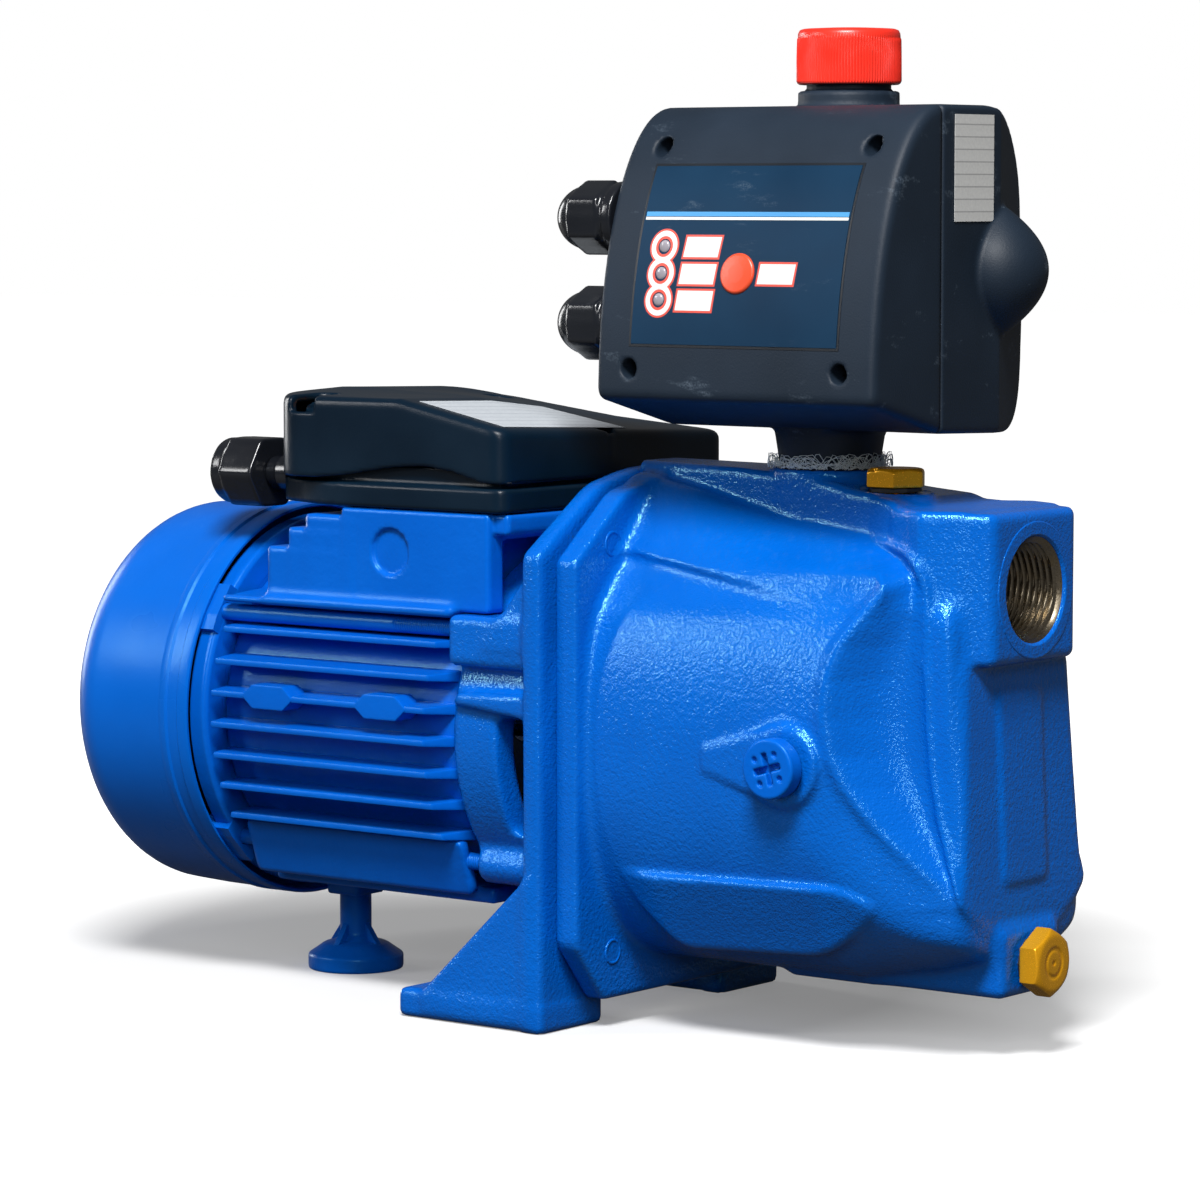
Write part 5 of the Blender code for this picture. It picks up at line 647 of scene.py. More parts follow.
def hex_head(axis, centre, start, end, flat, crown, turn=0.0, step=0.5, cross=None):
    """A hexagon head whose corners are turned off at the crowned end."""
    middle = list(centre)
    middle.insert("XYZ".index(axis), 0.0)
    low, high = min(start, end), max(start, end)

    def form(x, y, z):
        along = (x, y, z)["XYZ".index(axis)]
        u, v = [c - m for i, (c, m) in enumerate(zip((x, y, z), middle)) if "XYZ"[i] != axis]
        across = np.hypot(u, v)
        rise = (along - end) if end > start else (end - along)
        body = trimmed(hexagon(u, v, flat, turn), np.maximum(along - high, low - along), 0.5)
        body = trimmed(body, (across - flat * 1.02) * 0.5 + rise * 0.87 + crown, 0.4)
        return body if cross is None else cross(body, u, v, rise)

    reach = flat * 1.2 + 1.0
    corner = [m - reach for m in middle], [m + reach for m in middle]
    corner[0]["XYZ".index(axis)], corner[1]["XYZ".index(axis)] = low - 1.0, high + 1.0
    return cast_skin(form, corner[0], corner[1], step)


zinc = finish(
    "zinc_plate", worked_metal, {"Centre": world_point(-8.0, -42.0, 163.0), "Ring Scale": 900.0},
    (0.74, 0.76, 0.74), (0.50, 0.53, 0.52), (0.62, 0.60, 0.50), 0.4, (0.28, 0.42), 0.00004, metallic=1.0,
)
for number, (side, up) in enumerate(BOLT_PLACES, 1):
    head = hex_head("X", (side, up), -8.4, -13.6, 6.5, 0.4)
    shank = spun(softened(((-9.0, 3.4), (9.6, 3.4), (10.2, 2.8)), 0.4), "X", (side, up), 24)
    shown(
        f"flange_bolt_{number}", together(head, shank), zinc, "frame", "steel",
        f"body_bolt_{number}", sharp=40,
    )
    end = softened(((9.0, 4.4), (10.75, 4.4), (10.95, 3.7), (10.6, 3.3), (10.6, 0.4)), 0.25)
    shown(f"bolt_end_{number}", spun(end, "X", (side, up), 40), cast_enamel, "frame", "cast_blue", sharp=50)

# ---------------------------------------------------------------------------------------
# Motor housing: an aluminium casting with level fins along both sides, a pedestal for the
# terminal box, flat skirts below and a boss for the foot, in smooth satin enamel.
# ---------------------------------------------------------------------------------------
motor_enamel = finish(
    "motor_enamel", pebbled_skin, {"Lump Scale": 300.0, "Peel Scale": 900.0, "Peel Share": 0.5},
    (0.0006, 0.120, 0.60), (0.0005, 0.098, 0.52), (0.16, 0.36, 0.62), 0.05,
    (0.27, 0.34), 0.00012, shine=0.32, tint=ENAMEL_TINT,
)
SKIRT_TOP = (52.0, 59.0)
SKIRT_FOOT = (44.5, 38.0)
FOOT_X = -139.0


def housing_form(x, y, z):
    side = np.abs(y)
    from_shaft = from_axis(y, z, SHAFT_SPOT)
    body = round_bar(from_shaft, x, 57.0, -150.2, -42.4, 1.0)
    wide, tall = SKIRT_TOP[0] - SKIRT_FOOT[0], SKIRT_TOP[1] - SKIRT_FOOT[1]
    lean = math.hypot(wide, tall)
    along = (wide * (side - SKIRT_FOOT[0]) + tall * (z - SKIRT_FOOT[1])) / lean
    out = (tall * (side - SKIRT_FOOT[0]) - wide * (z - SKIRT_FOOT[1])) / lean
    skirt = chest(x, along, out, (-146.0, 1.5, -4.0), (-46.6, lean + 0.5, 0.3), 1.6)
    corner = chest(x, along, 0.0, (-146.0, 1.5, -9.0), (-46.6, lean + 0.5, 9.0), 4.0)
    body = fillet(body, trimmed(skirt, corner, 1.0), 1.5)
    body = fillet(body, chest(x, y, z, (-143.0, -38.5, 36.4), (-43.5, 38.5, 42.0), 1.4), 1.5)
    pedestal = chest(x, y, z, (-94.0, -59.5, 138.4), (-28.6, 59.5, 172.0), 1.2)
    pedestal = hollowed(pedestal, chest(x, y, z, (-43.0, -51.0, 120.0), (-10.0, 51.0, 163.0), 1.0), 1.0)
    pedestal = fillet(pedestal, chest(x, y, z, (-60.0, -57.0, 165.0), (-22.0, 57.0, 172.0), 1.0), 1.0)
    for rear, top in ((-128.0, 157.0), (-118.4, 164.0), (-110.4, 169.0)):
        pedestal = fillet(pedestal, chest(x, y, z, (rear, -59.4, 138.4), (-88.0, 59.4, top), 1.2), 0.6)
    mark = from_axis(x, z, (-72.0, 157.5))
    pedestal = hollowed(pedestal, np.maximum(mark - 8.0, 58.0 - side), 0.5)
    body = fillet(body, pedestal, 2.0)
    shelf = chest(x, y, z, (-147.0, -61.6, 136.8), (-44.5, 61.6, 139.0), 1.0)
    body = fillet(body, shelf, 4.5)
    body = fillet(body, chest(x, y, z, (-146.5, -7.5, 27.0), (-131.5, 7.5, 45.0), 1.2), 2.0)
    pocket = chest(x, y, z, (-85.0, -50.5, 154.4), (-54.5, 50.5, 190.0), 1.0)
    for hole in (
        from_shaft - 52.0, pocket,
        np.maximum(from_axis(x, y, (FOOT_X, 0.0)) - 5.8, z - 34.3),
    ):
        body = np.maximum(body, -hole)
    return body


def eased(points, faces, width, segments=2, angle=25.0):
    """A form with its hard edges rounded."""
    bm = bmesh.new()
    corners = [bm.verts.new(point) for point in points]
    for face in faces:
        bm.faces.new([corners[i] for i in face])
    bmesh.ops.recalc_face_normals(bm, faces=bm.faces[:])
    hard = [edge for edge in bm.edges
            if len(edge.link_faces) == 2 and edge.calc_face_angle() > math.radians(angle)]
    bmesh.ops.bevel(bm, geom=hard, offset=width, segments=segments, affect="EDGES", profile=0.6,
                    clamp_overlap=True)
    return taken(bm)


def lofted(first, last):
    """A form between two outlines with the same number of corners."""
    count = len(first)
    faces = [tuple(range(count))[::-1], tuple(range(count, 2 * count))]
    for side in range(count):
        after = (side + 1) % count
        faces.append((side, after, after + count, side + count))
    return np.concatenate((first, last)), faces


FIN_HEIGHTS = [138.0 - 11.0 * number for number in range(8)]
FIN_REACH = 68.0
PAD_PLACES = (-121.0, -70.0)
fins = []
for up in FIN_HEIGHTS:
    reach = math.sqrt(FIN_REACH ** 2 - (up - SHAFT_Z) ** 2)
    inner = math.sqrt(55.5 ** 2 - (up - SHAFT_Z) ** 2)
    for side in (-1, 1):
        root = [(x, side * inner, up + rise) for x, rise in (
            (-148.8, -2.0), (-43.8, -2.0), (-43.8, 2.0), (-148.8, 2.0))]
        tip = [(x, side * reach, up + rise) for x, rise in (
            (-147.4, -1.1), (-50.5, -1.1), (-50.5, 1.1), (-147.4, 1.1))]
        fins.append(eased(*lofted(root, tip), 0.75))
for place in PAD_PLACES:
    up = FIN_HEIGHTS[3]
    reach = math.sqrt(FIN_REACH ** 2 - (up - SHAFT_Z) ** 2)
    flat = [(place + u, up + v) for u, v in (
        (-12.0, 0.0), (-7.0, -4.3), (7.0, -4.3), (12.0, 0.0), (7.0, 4.3), (-7.0, 4.3))]
    for side in (-1, 1):
        near = [(x, side * (reach - 9.0), z) for x, z in flat]
        far = [(x, side * (reach + 0.3), z) for x, z in flat]
        fins.append(eased(*lofted(near, far), 0.9))
shown(
    "motor_shell", cast_skin(housing_form, (-152.0, -62.0, 20.0), (-20.0, 62.0, 174.0), 1.3),
    motor_enamel, "frame", "motor_blue", "motor_housing",
)
shown("motor_fins", together(*fins), motor_enamel, "frame", "motor_blue", sharp=35)

# ---------------------------------------------------------------------------------------
# Support foot: a disc with a stem and cross webs, moulded in one and painted with the motor.
# Its stem is pushed up into the boss under the housing's rear end.
# ---------------------------------------------------------------------------------------
stem = softened(((0.0, 15.6), (0.0, 16.9), (1.0, 17.2), (5.3, 17.2), (6.6, 15.2), (9.2, 11.5),
                 (10.4, 7.2), (12.5, 5.7), (34.0, 5.7)), 0.9)
webs = []
for turn in (0, 1):
    flat = [(-13.5, 6.0), (13.5, 6.0), (5.0, 17.5), (-5.0, 17.5)]
    ends = [[(FOOT_X + wide, a, b) if turn else (FOOT_X + a, wide, b) for a, b in flat]
            for wide in (-1.3, 1.3)]
    webs.append(eased(*lofted(*ends), 0.5))
shown(
    "stand_foot", together(spun(stem, "Z", (FOOT_X, 0.0), 72), *webs),
    motor_enamel, "frame", "motor_blue", "support_foot", sharp=40,
)

# ---------------------------------------------------------------------------------------
# Tie rods and rear shield: long studs clamp the housing between bracket and shield. Their
# front ends show a thread and their nuts sit behind the shield's ears, all painted over.
# ---------------------------------------------------------------------------------------


def dressed(node, material):
    """Gives a finish to a node of the frame that keeps its own shape."""
    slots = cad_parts[node].data.materials
    slots.clear()
    slots.append(material)


ROD_PLACES = [(side * wide, up) for wide, up in (HIGH_ROD, LOW_ROD) for side in (1, -1)]
for number, spot in enumerate(ROD_PLACES, 1):
    rod = spun(softened(((-167.6, 2.4), (-167.0, 3.0), (-72.0, 3.0), (-71.4, 2.6)), 0.3), "X", spot, 24)
    screw = thread("X", spot, -72.0, -24.6, 3.0, 0.55, 1.0, 20, 4)
    nut = hex_head("X", spot, -162.9, -167.8, 3.3, 0.2, step=0.45)
    shown(
        f"stud_{number}", together(rod, screw, nut), motor_enamel, "frame", "motor_blue",
        f"tie_rod_{number}", sharp=40,
    )
rim = softened(((-150.5, 58.0), (-150.5, 65.6), (-151.6, 67.0), (-158.0, 67.0), (-158.0, 58.0)), 0.6)
shown(
    "shield_rim", spun(rim, "X", SHAFT_SPOT, 96, closed=True),
    motor_enamel, "frame", "motor_blue", sharp=40,
)
dressed("rear_shield", motor_enamel)

# ---------------------------------------------------------------------------------------
# Fan cover: a deep-drawn steel cup with a beaded rim and upright air slots in its back,
# in the same blue but smoother than the castings.
# ---------------------------------------------------------------------------------------
cover_enamel = finish(
    "cover_enamel", pebbled_skin, {"Lump Scale": 180.0, "Peel Scale": 700.0, "Peel Share": 0.6},
    (0.0006, 0.122, 0.60), (0.0005, 0.106, 0.53), (0.16, 0.36, 0.62), 0.04,
    (0.26, 0.32), 0.00004, shine=0.32, tint=ENAMEL_TINT,
)


def carved(form, *tools):
    """A form less the tools, cut with an exact boolean."""
    keep = []
    for points, faces in (form, together(*tools)):
        mesh = bpy.data.meshes.new("blank")
        mesh.from_pydata(np.asarray(points).tolist(), [], [list(map(int, face)) for face in faces])
        piece = bpy.data.objects.new("blank", mesh)
        bpy.context.scene.collection.objects.link(piece)
        keep.append(piece)
    cut = keep[0].modifiers.new("cut", "BOOLEAN")
    cut.operation, cut.object = "DIFFERENCE", keep[1]
    bpy.context.view_layer.update()
    bm = bmesh.new()
    bm.from_object(keep[0], bpy.context.evaluated_depsgraph_get())
    for piece in keep:
        mesh = piece.data
        bpy.data.objects.remove(piece)
        bpy.data.meshes.remove(mesh)
    return taken(bm)


cup = [(-156.0, 69.8), (-156.0, 70.6), (-157.0, 71.0), (-160.5, 71.0), (-161.3, 70.3), (-165.6, 70.3),
       (-166.4, 71.0), (-169.0, 71.0), (-170.0, 70.4), (-186.0, 70.2), (-201.0, 69.6)]
for step in range(1, 13):
    angle = math.pi / 2 * step / 12
    cup.append((-201.0 - 19.0 * math.sin(angle), 49.6 + 20.0 * math.cos(angle)))
inner = [(x + (1.2 if x < -202.0 else 0.0), max(radius - 1.2, 1.0)) for x, radius in reversed(cup[6:])]
cup += [(-220.0, 24.0), (-220.0, 1.0), (-218.8, 1.0), (-218.8, 24.0)] + inner + [(-156.6, 69.4)]
slots = []
for number in range(7):
    side = (number - 3) * 12.0
    reach = math.sqrt(50.0 ** 2 - side ** 2) - 5.0
    ring = []
    for step in range(16):
        angle = math.pi * (step if step < 8 else step - 1) / 7
        lift = reach - 2.5 if math.sin(angle) >= 0 and step < 8 else 2.5 - reach
        ring.append((side + 2.5 * math.cos(angle), SHAFT_Z + lift + 2.5 * math.sin(angle)))
    slots.append(lofted([(-224.0, a, b) for a, b in ring], [(-214.0, a, b) for a, b in ring]))
shown(
    "fan_cup", carved(spun(cup, "X", SHAFT_SPOT, 112, closed=True), *slots),
    cover_enamel, "frame", "motor_blue", "fan_cover", sharp=35,
)

# ---------------------------------------------------------------------------------------
# Terminal box: a tray and a lid moulded in satin black. The lid's top falls to the pump's
# end past a kink, its skirt laps over the tray, and three sunk brass screws hold it.
# ---------------------------------------------------------------------------------------
# Moulded skin: fine spark grain, slow drift of tone, and pale scuffs drawn out sideways.
moulded_skin, given, result, place = effect(
    "moulded_skin", {"Grain Scale": 1500.0, "Scuff Scale": 70.0, "Scuff Edge": 0.6},
)
grain = noise(moulded_skin, place, given["Grain Scale"], 2.0, 0.5)
drift = noise(moulded_skin, place, 22.0, 3.0, 0.5)
stretch = moulded_skin.nodes.new("ShaderNodeMapping")
stretch.inputs["Scale"].default_value = (0.45, 1.0, 1.6)
stretch.inputs["Rotation"].default_value = (0.3, 0.5, 0.2)
moulded_skin.links.new(place, stretch.inputs["Vector"])
rubbed = noise(moulded_skin, stretch.outputs["Vector"], given["Scuff Scale"], 6.0, 0.68)
over = sum_of(moulded_skin, "SUBTRACT", rubbed, given["Scuff Edge"])
scuffs = sum_of(moulded_skin, "MULTIPLY", ranged(moulded_skin, over, 0.0, 0.16),
                ranged(moulded_skin, grain, 0.35, 0.65))
moulded_skin.links.new(grain, result["Height"])
moulded_skin.links.new(ranged(moulded_skin, drift, 0.3, 0.7), result["Tone"])
moulded_skin.links.new(scuffs, result["Mark"])

box_plastic = finish(
    "box_plastic", moulded_skin, {"Grain Scale": 1300.0, "Scuff Scale": 40.0, "Scuff Edge": 0.66},
    (0.0025, 0.013, 0.028), (0.0015, 0.008, 0.018), (0.10, 0.15, 0.21), 0.35,
    (0.28, 0.38), 0.00003, shine=0.2,
)
BOX_PLAN = [(-22.0, -60.0), (-22.0, 65.0), (-101.0, 65.0), (-131.0, 53.0), (-131.0, -48.0), (-101.0, -60.0)]
BOX_GLAND = (-39.0, 181.2)
LID_PLAN = [(-22.0, -60.4), (-22.0, 65.4), (-119.0, 65.4), (-134.0, 48.0), (-134.0, -43.0), (-119.0, -60.4)]
LID_TOP = ((-134.0, 209.2, 210.8, 209.2), (-119.0, 209.6, 211.0, 205.5),
           (-68.0, 209.8, 208.5, 199.0), (-22.0, 200.5, 198.5, 195.5))
LID_SKIRT = ((-134.0, 181.6), (-104.0, 181.8), (-90.0, 183.2), (-70.0, 186.4), (-56.0, 187.2),
             (-44.0, 185.8), (-32.0, 182.6), (-22.0, 181.8))
LID_SCREWS = ((-111.0, -48.0), (-111.0, 48.0), (-28.5, 0.0))


def inwards(corners, amount):
    """An outline's corners, drawn in towards its middle."""
    middle = np.mean(corners, axis=0)
    return [tuple(np.array(c) - amount * np.sign(np.array(c) - middle)) for c in corners]


def lid_top(x, y):
    """Height of the lid's outside."""
    places = [row[0] for row in LID_TOP]
    near, ridge, far = (np.interp(x, places, [row[i] for row in LID_TOP]) for i in (1, 2, 3))
    left = near + (ridge - near) * np.clip((y + 60.0) / 45.0, 0.0, 1.0)
    return np.where(y < -15.0, left, ridge + (far - ridge) * np.clip((y + 15.0) / 80.0, 0.0, 1.0))


def tray_form(x, y, z):
    rim = inwards(BOX_PLAN, 2.9)
    lower = trimmed(outline(x, y, BOX_PLAN, 5.0), np.abs(z - 176.4) - 4.1, 1.0)
    upper = trimmed(outline(x, y, rim, 4.0), np.abs(z - 181.0) - 6.0, 0.6)
    body = fillet(lower, upper, 0.6)
    hollow = np.maximum(outline(x, y, inwards(BOX_PLAN, 5.2), 3.0), 175.3 - z)
    body = np.maximum(body, -hollow)
    for spot in LID_SCREWS:
        across = from_axis(x, y, spot)
        body = np.minimum(body, round_bar(across, z, 4.8, 174.0, 187.0, 0.4))
    for hole in (
        np.maximum(from_axis(x, y, (-68.0, 0.0)) - 12.0, z - 178.0),
        np.maximum(from_axis(y, z, BOX_GLAND) - 4.7, x + 125.0),
    ):
        body = np.maximum(body, -hole)
    return body


def lid_form(x, y, z):
    plan = outline(x, y, LID_PLAN, 6.0)
    top = (z - lid_top(x, y)) * 0.97
    body = trimmed(plan, top, 3.2)
    body = trimmed(body, read(LID_SKIRT, x) - z, 0.9)
    inside = np.maximum(outline(x, y, inwards(LID_PLAN, 2.7), 5.0), top + 2.6)
    body = np.maximum(body, -inside)
    for spot in LID_SCREWS:
        across = from_axis(x, y, spot)
        roof = float(lid_top(*spot))
        body = np.minimum(body, round_bar(across, z, 6.6, 187.4, roof - 3.0, 0.6))
        body = hollowed(body, np.maximum(across - 5.2, roof - 5.8 - z), 0.6)
        body = np.maximum(body, -(across - 2.1))
    pocket = chest(x, y, z, (-116.5, -66.0, 204.0), (-105.5, -48.0, 216.0), 1.0)
    return hollowed(body, pocket, 0.6)


shown(
    "box_tray", cast_skin(tray_form, (-134.0, -63.0, 171.0), (-19.0, 68.0, 189.0), 1.2),
    box_plastic, "frame", "box_black", "terminal_box",
)
shown(
    "box_lid", cast_skin(lid_form, (-137.0, -63.5, 179.5), (-19.0, 68.5, 213.5), 1.2),
    box_plastic, "frame", "box_black", "terminal_lid",
)
for number, spot in enumerate(LID_SCREWS, 1):
    seat = float(lid_top(*spot)) - 5.5
    head = softened(((178.5, 1.7), (seat, 1.7), (seat, 3.6), (seat + 1.6, 3.5), (seat + 2.3, 2.6),
                     (seat + 2.4, 0.3)), 0.3)
    bar = [(spot[0] - 4.5, spot[1] - 0.5), (spot[0] + 4.5, spot[1] - 0.5),
           (spot[0] + 4.5, spot[1] + 0.5), (spot[0] - 4.5, spot[1] + 0.5)]
    across = [(spot[0] + b - spot[1], spot[1] + a - spot[0]) for a, b in bar][::-1]
    slots = [lofted([(a, b, seat + 1.2) for a, b in ring], [(a, b, seat + 4.0) for a, b in ring])
             for ring in (bar, across)]
    screw = carved(carved(spun(head, "Z", spot, 32), slots[0]), slots[1])
    shown(f"box_screw_{number}", screw, brass, "frame", "brass", f"lid_screw_{number}", sharp=40)

# Ruled sheet: straight lines across a direction, for foils, windings and stacked plates.
ruled_sheet, given, result, place = effect(
    "ruled_sheet", {"Along": (1.0, 0.0, 0.0), "Line Scale": 1000.0, "Line Edge": 0.9},
)
node = ruled_sheet.nodes.new("ShaderNodeVectorMath")
node.operation = "DOT_PRODUCT"
ruled_sheet.links.new(place, node.inputs[0])
ruled_sheet.links.new(given["Along"], node.inputs[1])
waves = sum_of(ruled_sheet, "MULTIPLY", node.outputs["Value"], given["Line Scale"])
waves = ranged(ruled_sheet, sum_of(ruled_sheet, "SINE", waves, 0.0), -1.0, 1.0)
over = sum_of(ruled_sheet, "SUBTRACT", waves, given["Line Edge"])
fibre = noise(ruled_sheet, place, 900.0, 3.0, 0.6)
height = sum_of(ruled_sheet, "ADD", waves, sum_of(ruled_sheet, "MULTIPLY", fibre, 0.4))
ruled_sheet.links.new(height, result["Height"])
ruled_sheet.links.new(ranged(ruled_sheet, fibre, 0.3, 0.7), result["Tone"])
ruled_sheet.links.new(ranged(ruled_sheet, over, 0.0, 0.05), result["Mark"])

# Rating plate: a bare pale foil with ruled lines, stuck on the lid's slope.
foil = finish(
    "plate_foil", ruled_sheet, {"Along": (1.0, 0.0, 0.0), "Line Scale": 1250.0, "Line Edge": 0.95},
    (0.62, 0.66, 0.70), (0.52, 0.56, 0.61), (0.16, 0.19, 0.24), 0.5, (0.30, 0.42), 0.00001,
)


def sheet(corner_rows, top, back):
    """A thin sheet from a grid of points; its top and back are shifts away from the grid."""
    grid = np.asarray(corner_rows, float)
    rows, columns = grid.shape[:2]
    upper, lower = (grid + top).reshape(-1, 3), (grid + back).reshape(-1, 3)
    count = rows * columns
    faces = []
    for row in range(rows - 1):
        for column in range(columns - 1):
            a = row * columns + column
            quad = (a, a + 1, a + columns + 1, a + columns)
            faces += [quad, tuple(i + count for i in quad[::-1])]
    edge = list(range(columns))
    edge += [row * columns + columns - 1 for row in range(1, rows)]
    edge += [(rows - 1) * columns + column for column in range(columns - 2, -1, -1)]
    edge += [row * columns for row in range(rows - 2, 0, -1)]
    for a, b in zip(edge, edge[1:] + edge[:1]):
        faces.append((a, b, b + count, a + count))
    return squared(np.concatenate((upper, lower)), faces)


grid = []
for x in np.linspace(-63.0, -26.0, 9):
    grid.append([(x, y, float(lid_top(x, y))) for y in np.linspace(-54.0, 13.0, 15)])
shown(
    "rating_foil", sheet(grid, (0.06, 0.0, 0.24), (0.03, 0.0, 0.12)),
    foil, "frame", "light_plastic", sharp=40,
)

# ---------------------------------------------------------------------------------------
# Box gland: a cable gland in glossy black nylon. Its neck is screwed into the tray's end and
# its hexagon nut, with a round crown, is screwed on the neck.
# ---------------------------------------------------------------------------------------
gland_nylon = finish(
    "gland_nylon", moulded_skin, {"Grain Scale": 700.0, "Scuff Scale": 90.0, "Scuff Edge": 0.62},
    (0.010, 0.012, 0.016), (0.006, 0.007, 0.010), (0.18, 0.20, 0.23), 0.3, (0.16, 0.24), 0.00002,
)
neck = softened(((-152.0, 4.3), (-141.5, 4.3), (-141.5, 5.7), (-137.4, 5.7), (-136.8, 6.4), (-131.6, 6.4),
                 (-131.3, 4.3), (-126.0, 4.3)), 0.4)
shown(
    "gland_neck", spun(neck, "X", BOX_GLAND, 40), gland_nylon, "frame", "box_black",
    "box_gland_body", sharp=40,
)


def gland_nut_form(x, y, z):
    u, v = y - BOX_GLAND[0], z - BOX_GLAND[1]
    across = np.hypot(u, v)
    nut = trimmed(hexagon(u, v, 12.0, math.pi / 2), np.abs(x + 149.6) - 7.6, 1.0)
    nut = trimmed(nut, across - 13.4, 0.8)
    crown = round_bar(across, x, 11.6, -163.2, -150.0, 1.6)
    body = fillet(nut, crown, 1.0)
    body = np.maximum(body, -np.maximum(across - 5.2, x + 151.0))
    return np.maximum(body, -np.maximum(across - 4.7, -151.0 - x))


shown(
    "gland_nut", cast_skin(gland_nut_form, (-164.6, -55.0, 165.5), (-137.0, -23.0, 197.0), 0.75),
    gland_nylon, "frame", "box_black", "box_gland_nut",
)

# ---------------------------------------------------------------------------------------
# Controller body: the rear shell of the flow controller, moulded in matt black with the
# water way inside, a screwed collar below, a neck above and a pointed bulge on its side.
# ---------------------------------------------------------------------------------------
shell_plastic = finish(
    "shell_plastic", moulded_skin, {"Grain Scale": 1500.0, "Scuff Scale": 55.0, "Scuff Edge": 0.60},
    (0.011, 0.021, 0.037), (0.007, 0.014, 0.025), (0.20, 0.26, 0.33), 0.6,
    (0.50, 0.60), 0.00006, shine=0.28,
)
CONTROL_HALF = 55.3
NECK_SPOT = (OUTLET_X, 10.0)


def controller_form(x, y, z):
    across = np.abs(x - OUTLET_X)
    under = 202.0 - z - 0.031 * (y + 17.0)
    lean = y - 52.5 + 8.0 * np.clip((z - 240.0) / 67.0, 0.0, 1.2)
    lean = lean + 4.0 * np.clip((240.0 - z) / 40.0, 0.0, 1.2)
    roof = trimmed(z - 307.5, (y - 49.0 + 0.9 * (z - 283.0)) / 1.35, 14.0)
    shell = trimmed(trimmed(under, lean, 22.0), roof, 6.0)
    flat = across - CONTROL_HALF
    side = np.maximum(flat, (flat + 12.4 * (y - 17.0) / 32.0) * 0.93)
    shell = trimmed(trimmed(shell, side, 2.4), -16.85 - y, 0.8)
    up = (z - 254.0) / 22.6
    from_bulge = from_axis(x, y, (121.3, 20.0))
    bulge = (from_bulge - 16.8 * np.clip(1.0 - up * up, -1.0, 1.0)) * 0.72
    body = fillet(shell, bulge, 0.9)
    from_outlet = from_axis(x, y, OUTLET_SPOT)
    collar = trimmed(from_outlet - 16.7 - np.clip((z - 190.0) / 14.0, 0.0, 1.0) * 2.2,
                     np.maximum(188.9 - z, z - 215.0), 1.0)
    body = fillet(body, collar, 2.0)
    body = np.minimum(body, round_bar(from_outlet, z, 15.9, 174.6, 200.0, 0.6))
    from_neck = from_axis(x, y, NECK_SPOT)
    body = fillet(body, round_bar(from_neck, z, 16.8, 300.0, 312.7, 1.0), 1.5)
    body = np.minimum(body, round_bar(from_neck, z, 14.0, 300.0, 329.5, 0.6))
    for hole in (
        np.maximum(from_outlet - 13.0, z - 256.0), np.maximum(from_neck - 11.5, 254.0 - z),
    ):
        body = np.maximum(body, -hole)
    return body


shown(
    "controller_shell", cast_skin(controller_form, (11.0, -19.0, 172.5), (140.5, 54.5, 331.5), 1.3),
    shell_plastic, "frame", "controller_black", "controller_body",
)
shown(
    "neck_thread", thread("Z", NECK_SPOT, 316.5, 328.8, 15.0, 0.9, 2.0, 64, 6),
    shell_plastic, "frame", "controller_black", sharp=50,
)

# Valve spring: a coil of stainless wire, closed at both ends, that presses the flow valve
# down on its seat.
COIL_LOW, COIL_HIGH, COIL_RADIUS, WIRE_RADIUS = 200.5, 223.0, 8.5, 0.7
COIL_RISE = ((0.0, COIL_LOW), (1.0, COIL_LOW + 1.5), (6.0, COIL_HIGH - 1.5), (7.0, COIL_HIGH))
turn = np.linspace(0.0, 7.0, 225)[:, None]
around = 2 * np.pi * np.arange(10)[None, :] / 10
reach = COIL_RADIUS + WIRE_RADIUS * np.cos(around)
coil = np.stack((
    OUTLET_X + reach * np.cos(2 * np.pi * turn), reach * np.sin(2 * np.pi * turn),
    read(COIL_RISE, turn) + WIRE_RADIUS * np.sin(around),
), axis=-1)
spring_wire = finish(
    "spring_wire", worked_metal, {"Centre": world_point(OUTLET_X, 0.0, COIL_LOW), "Ring Scale": 1600.0},
    (0.70, 0.71, 0.72), (0.52, 0.53, 0.55), (0.40, 0.36, 0.30), 0.3, (0.18, 0.30), 0.00003, metallic=1.0,
)
coil_spring = shown("coil_spring", skinned(coil), spring_wire, None, "steel", "valve_spring")
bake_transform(coil_spring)

# ---------------------------------------------------------------------------------------
# Controller cover: the bowed front in the same matt plastic, with four sunk screws, and the
# printed face film let into it.
# ---------------------------------------------------------------------------------------
FACE_SEAM, FACE_DEPTH, FACE_FOOT, FACE_RISE = -17.0, 39.0, 212.0, 95.5
COVER_SCREWS = [(OUTLET_X + side * 41.6, up) for side in (-1, 1) for up in (222.0, 294.0)]
BUTTON_UP = 253.3
LENS_X, LENS_UP = 38.4, (261.7, 253.0, 244.5)
SIDE_GLANDS_Y, SIDE_GLANDS_UP = -36.0, (271.0, 236.0)


def face_y(up):
    """Y of the bowed front at a height."""
    return FACE_SEAM - FACE_DEPTH * math.sqrt(max(1.0 - ((up - FACE_FOOT) / FACE_RISE) ** 2, 0.0))


def face_out(up):
    """The outward direction of the bowed front at a height."""
    slope = Vector((0.0, (face_y(up) - FACE_SEAM) / FACE_DEPTH ** 2, (up - FACE_FOOT) / FACE_RISE ** 2))
    return np.array(slope.normalized())


button_axis = -face_out(BUTTON_UP)
button_spot = np.array((OUTLET_X, face_y(BUTTON_UP), BUTTON_UP))


def from_button(x, y, z):
    """Distance from the button's axis and the place along it, counted inwards."""
    along = (y - button_spot[1]) * button_axis[1] + (z - button_spot[2]) * button_axis[2]
    away = (x - button_spot[0]) ** 2 + (y - button_spot[1]) ** 2 + (z - button_spot[2]) ** 2 - along ** 2
    return np.sqrt(np.maximum(away, 0.0)), along


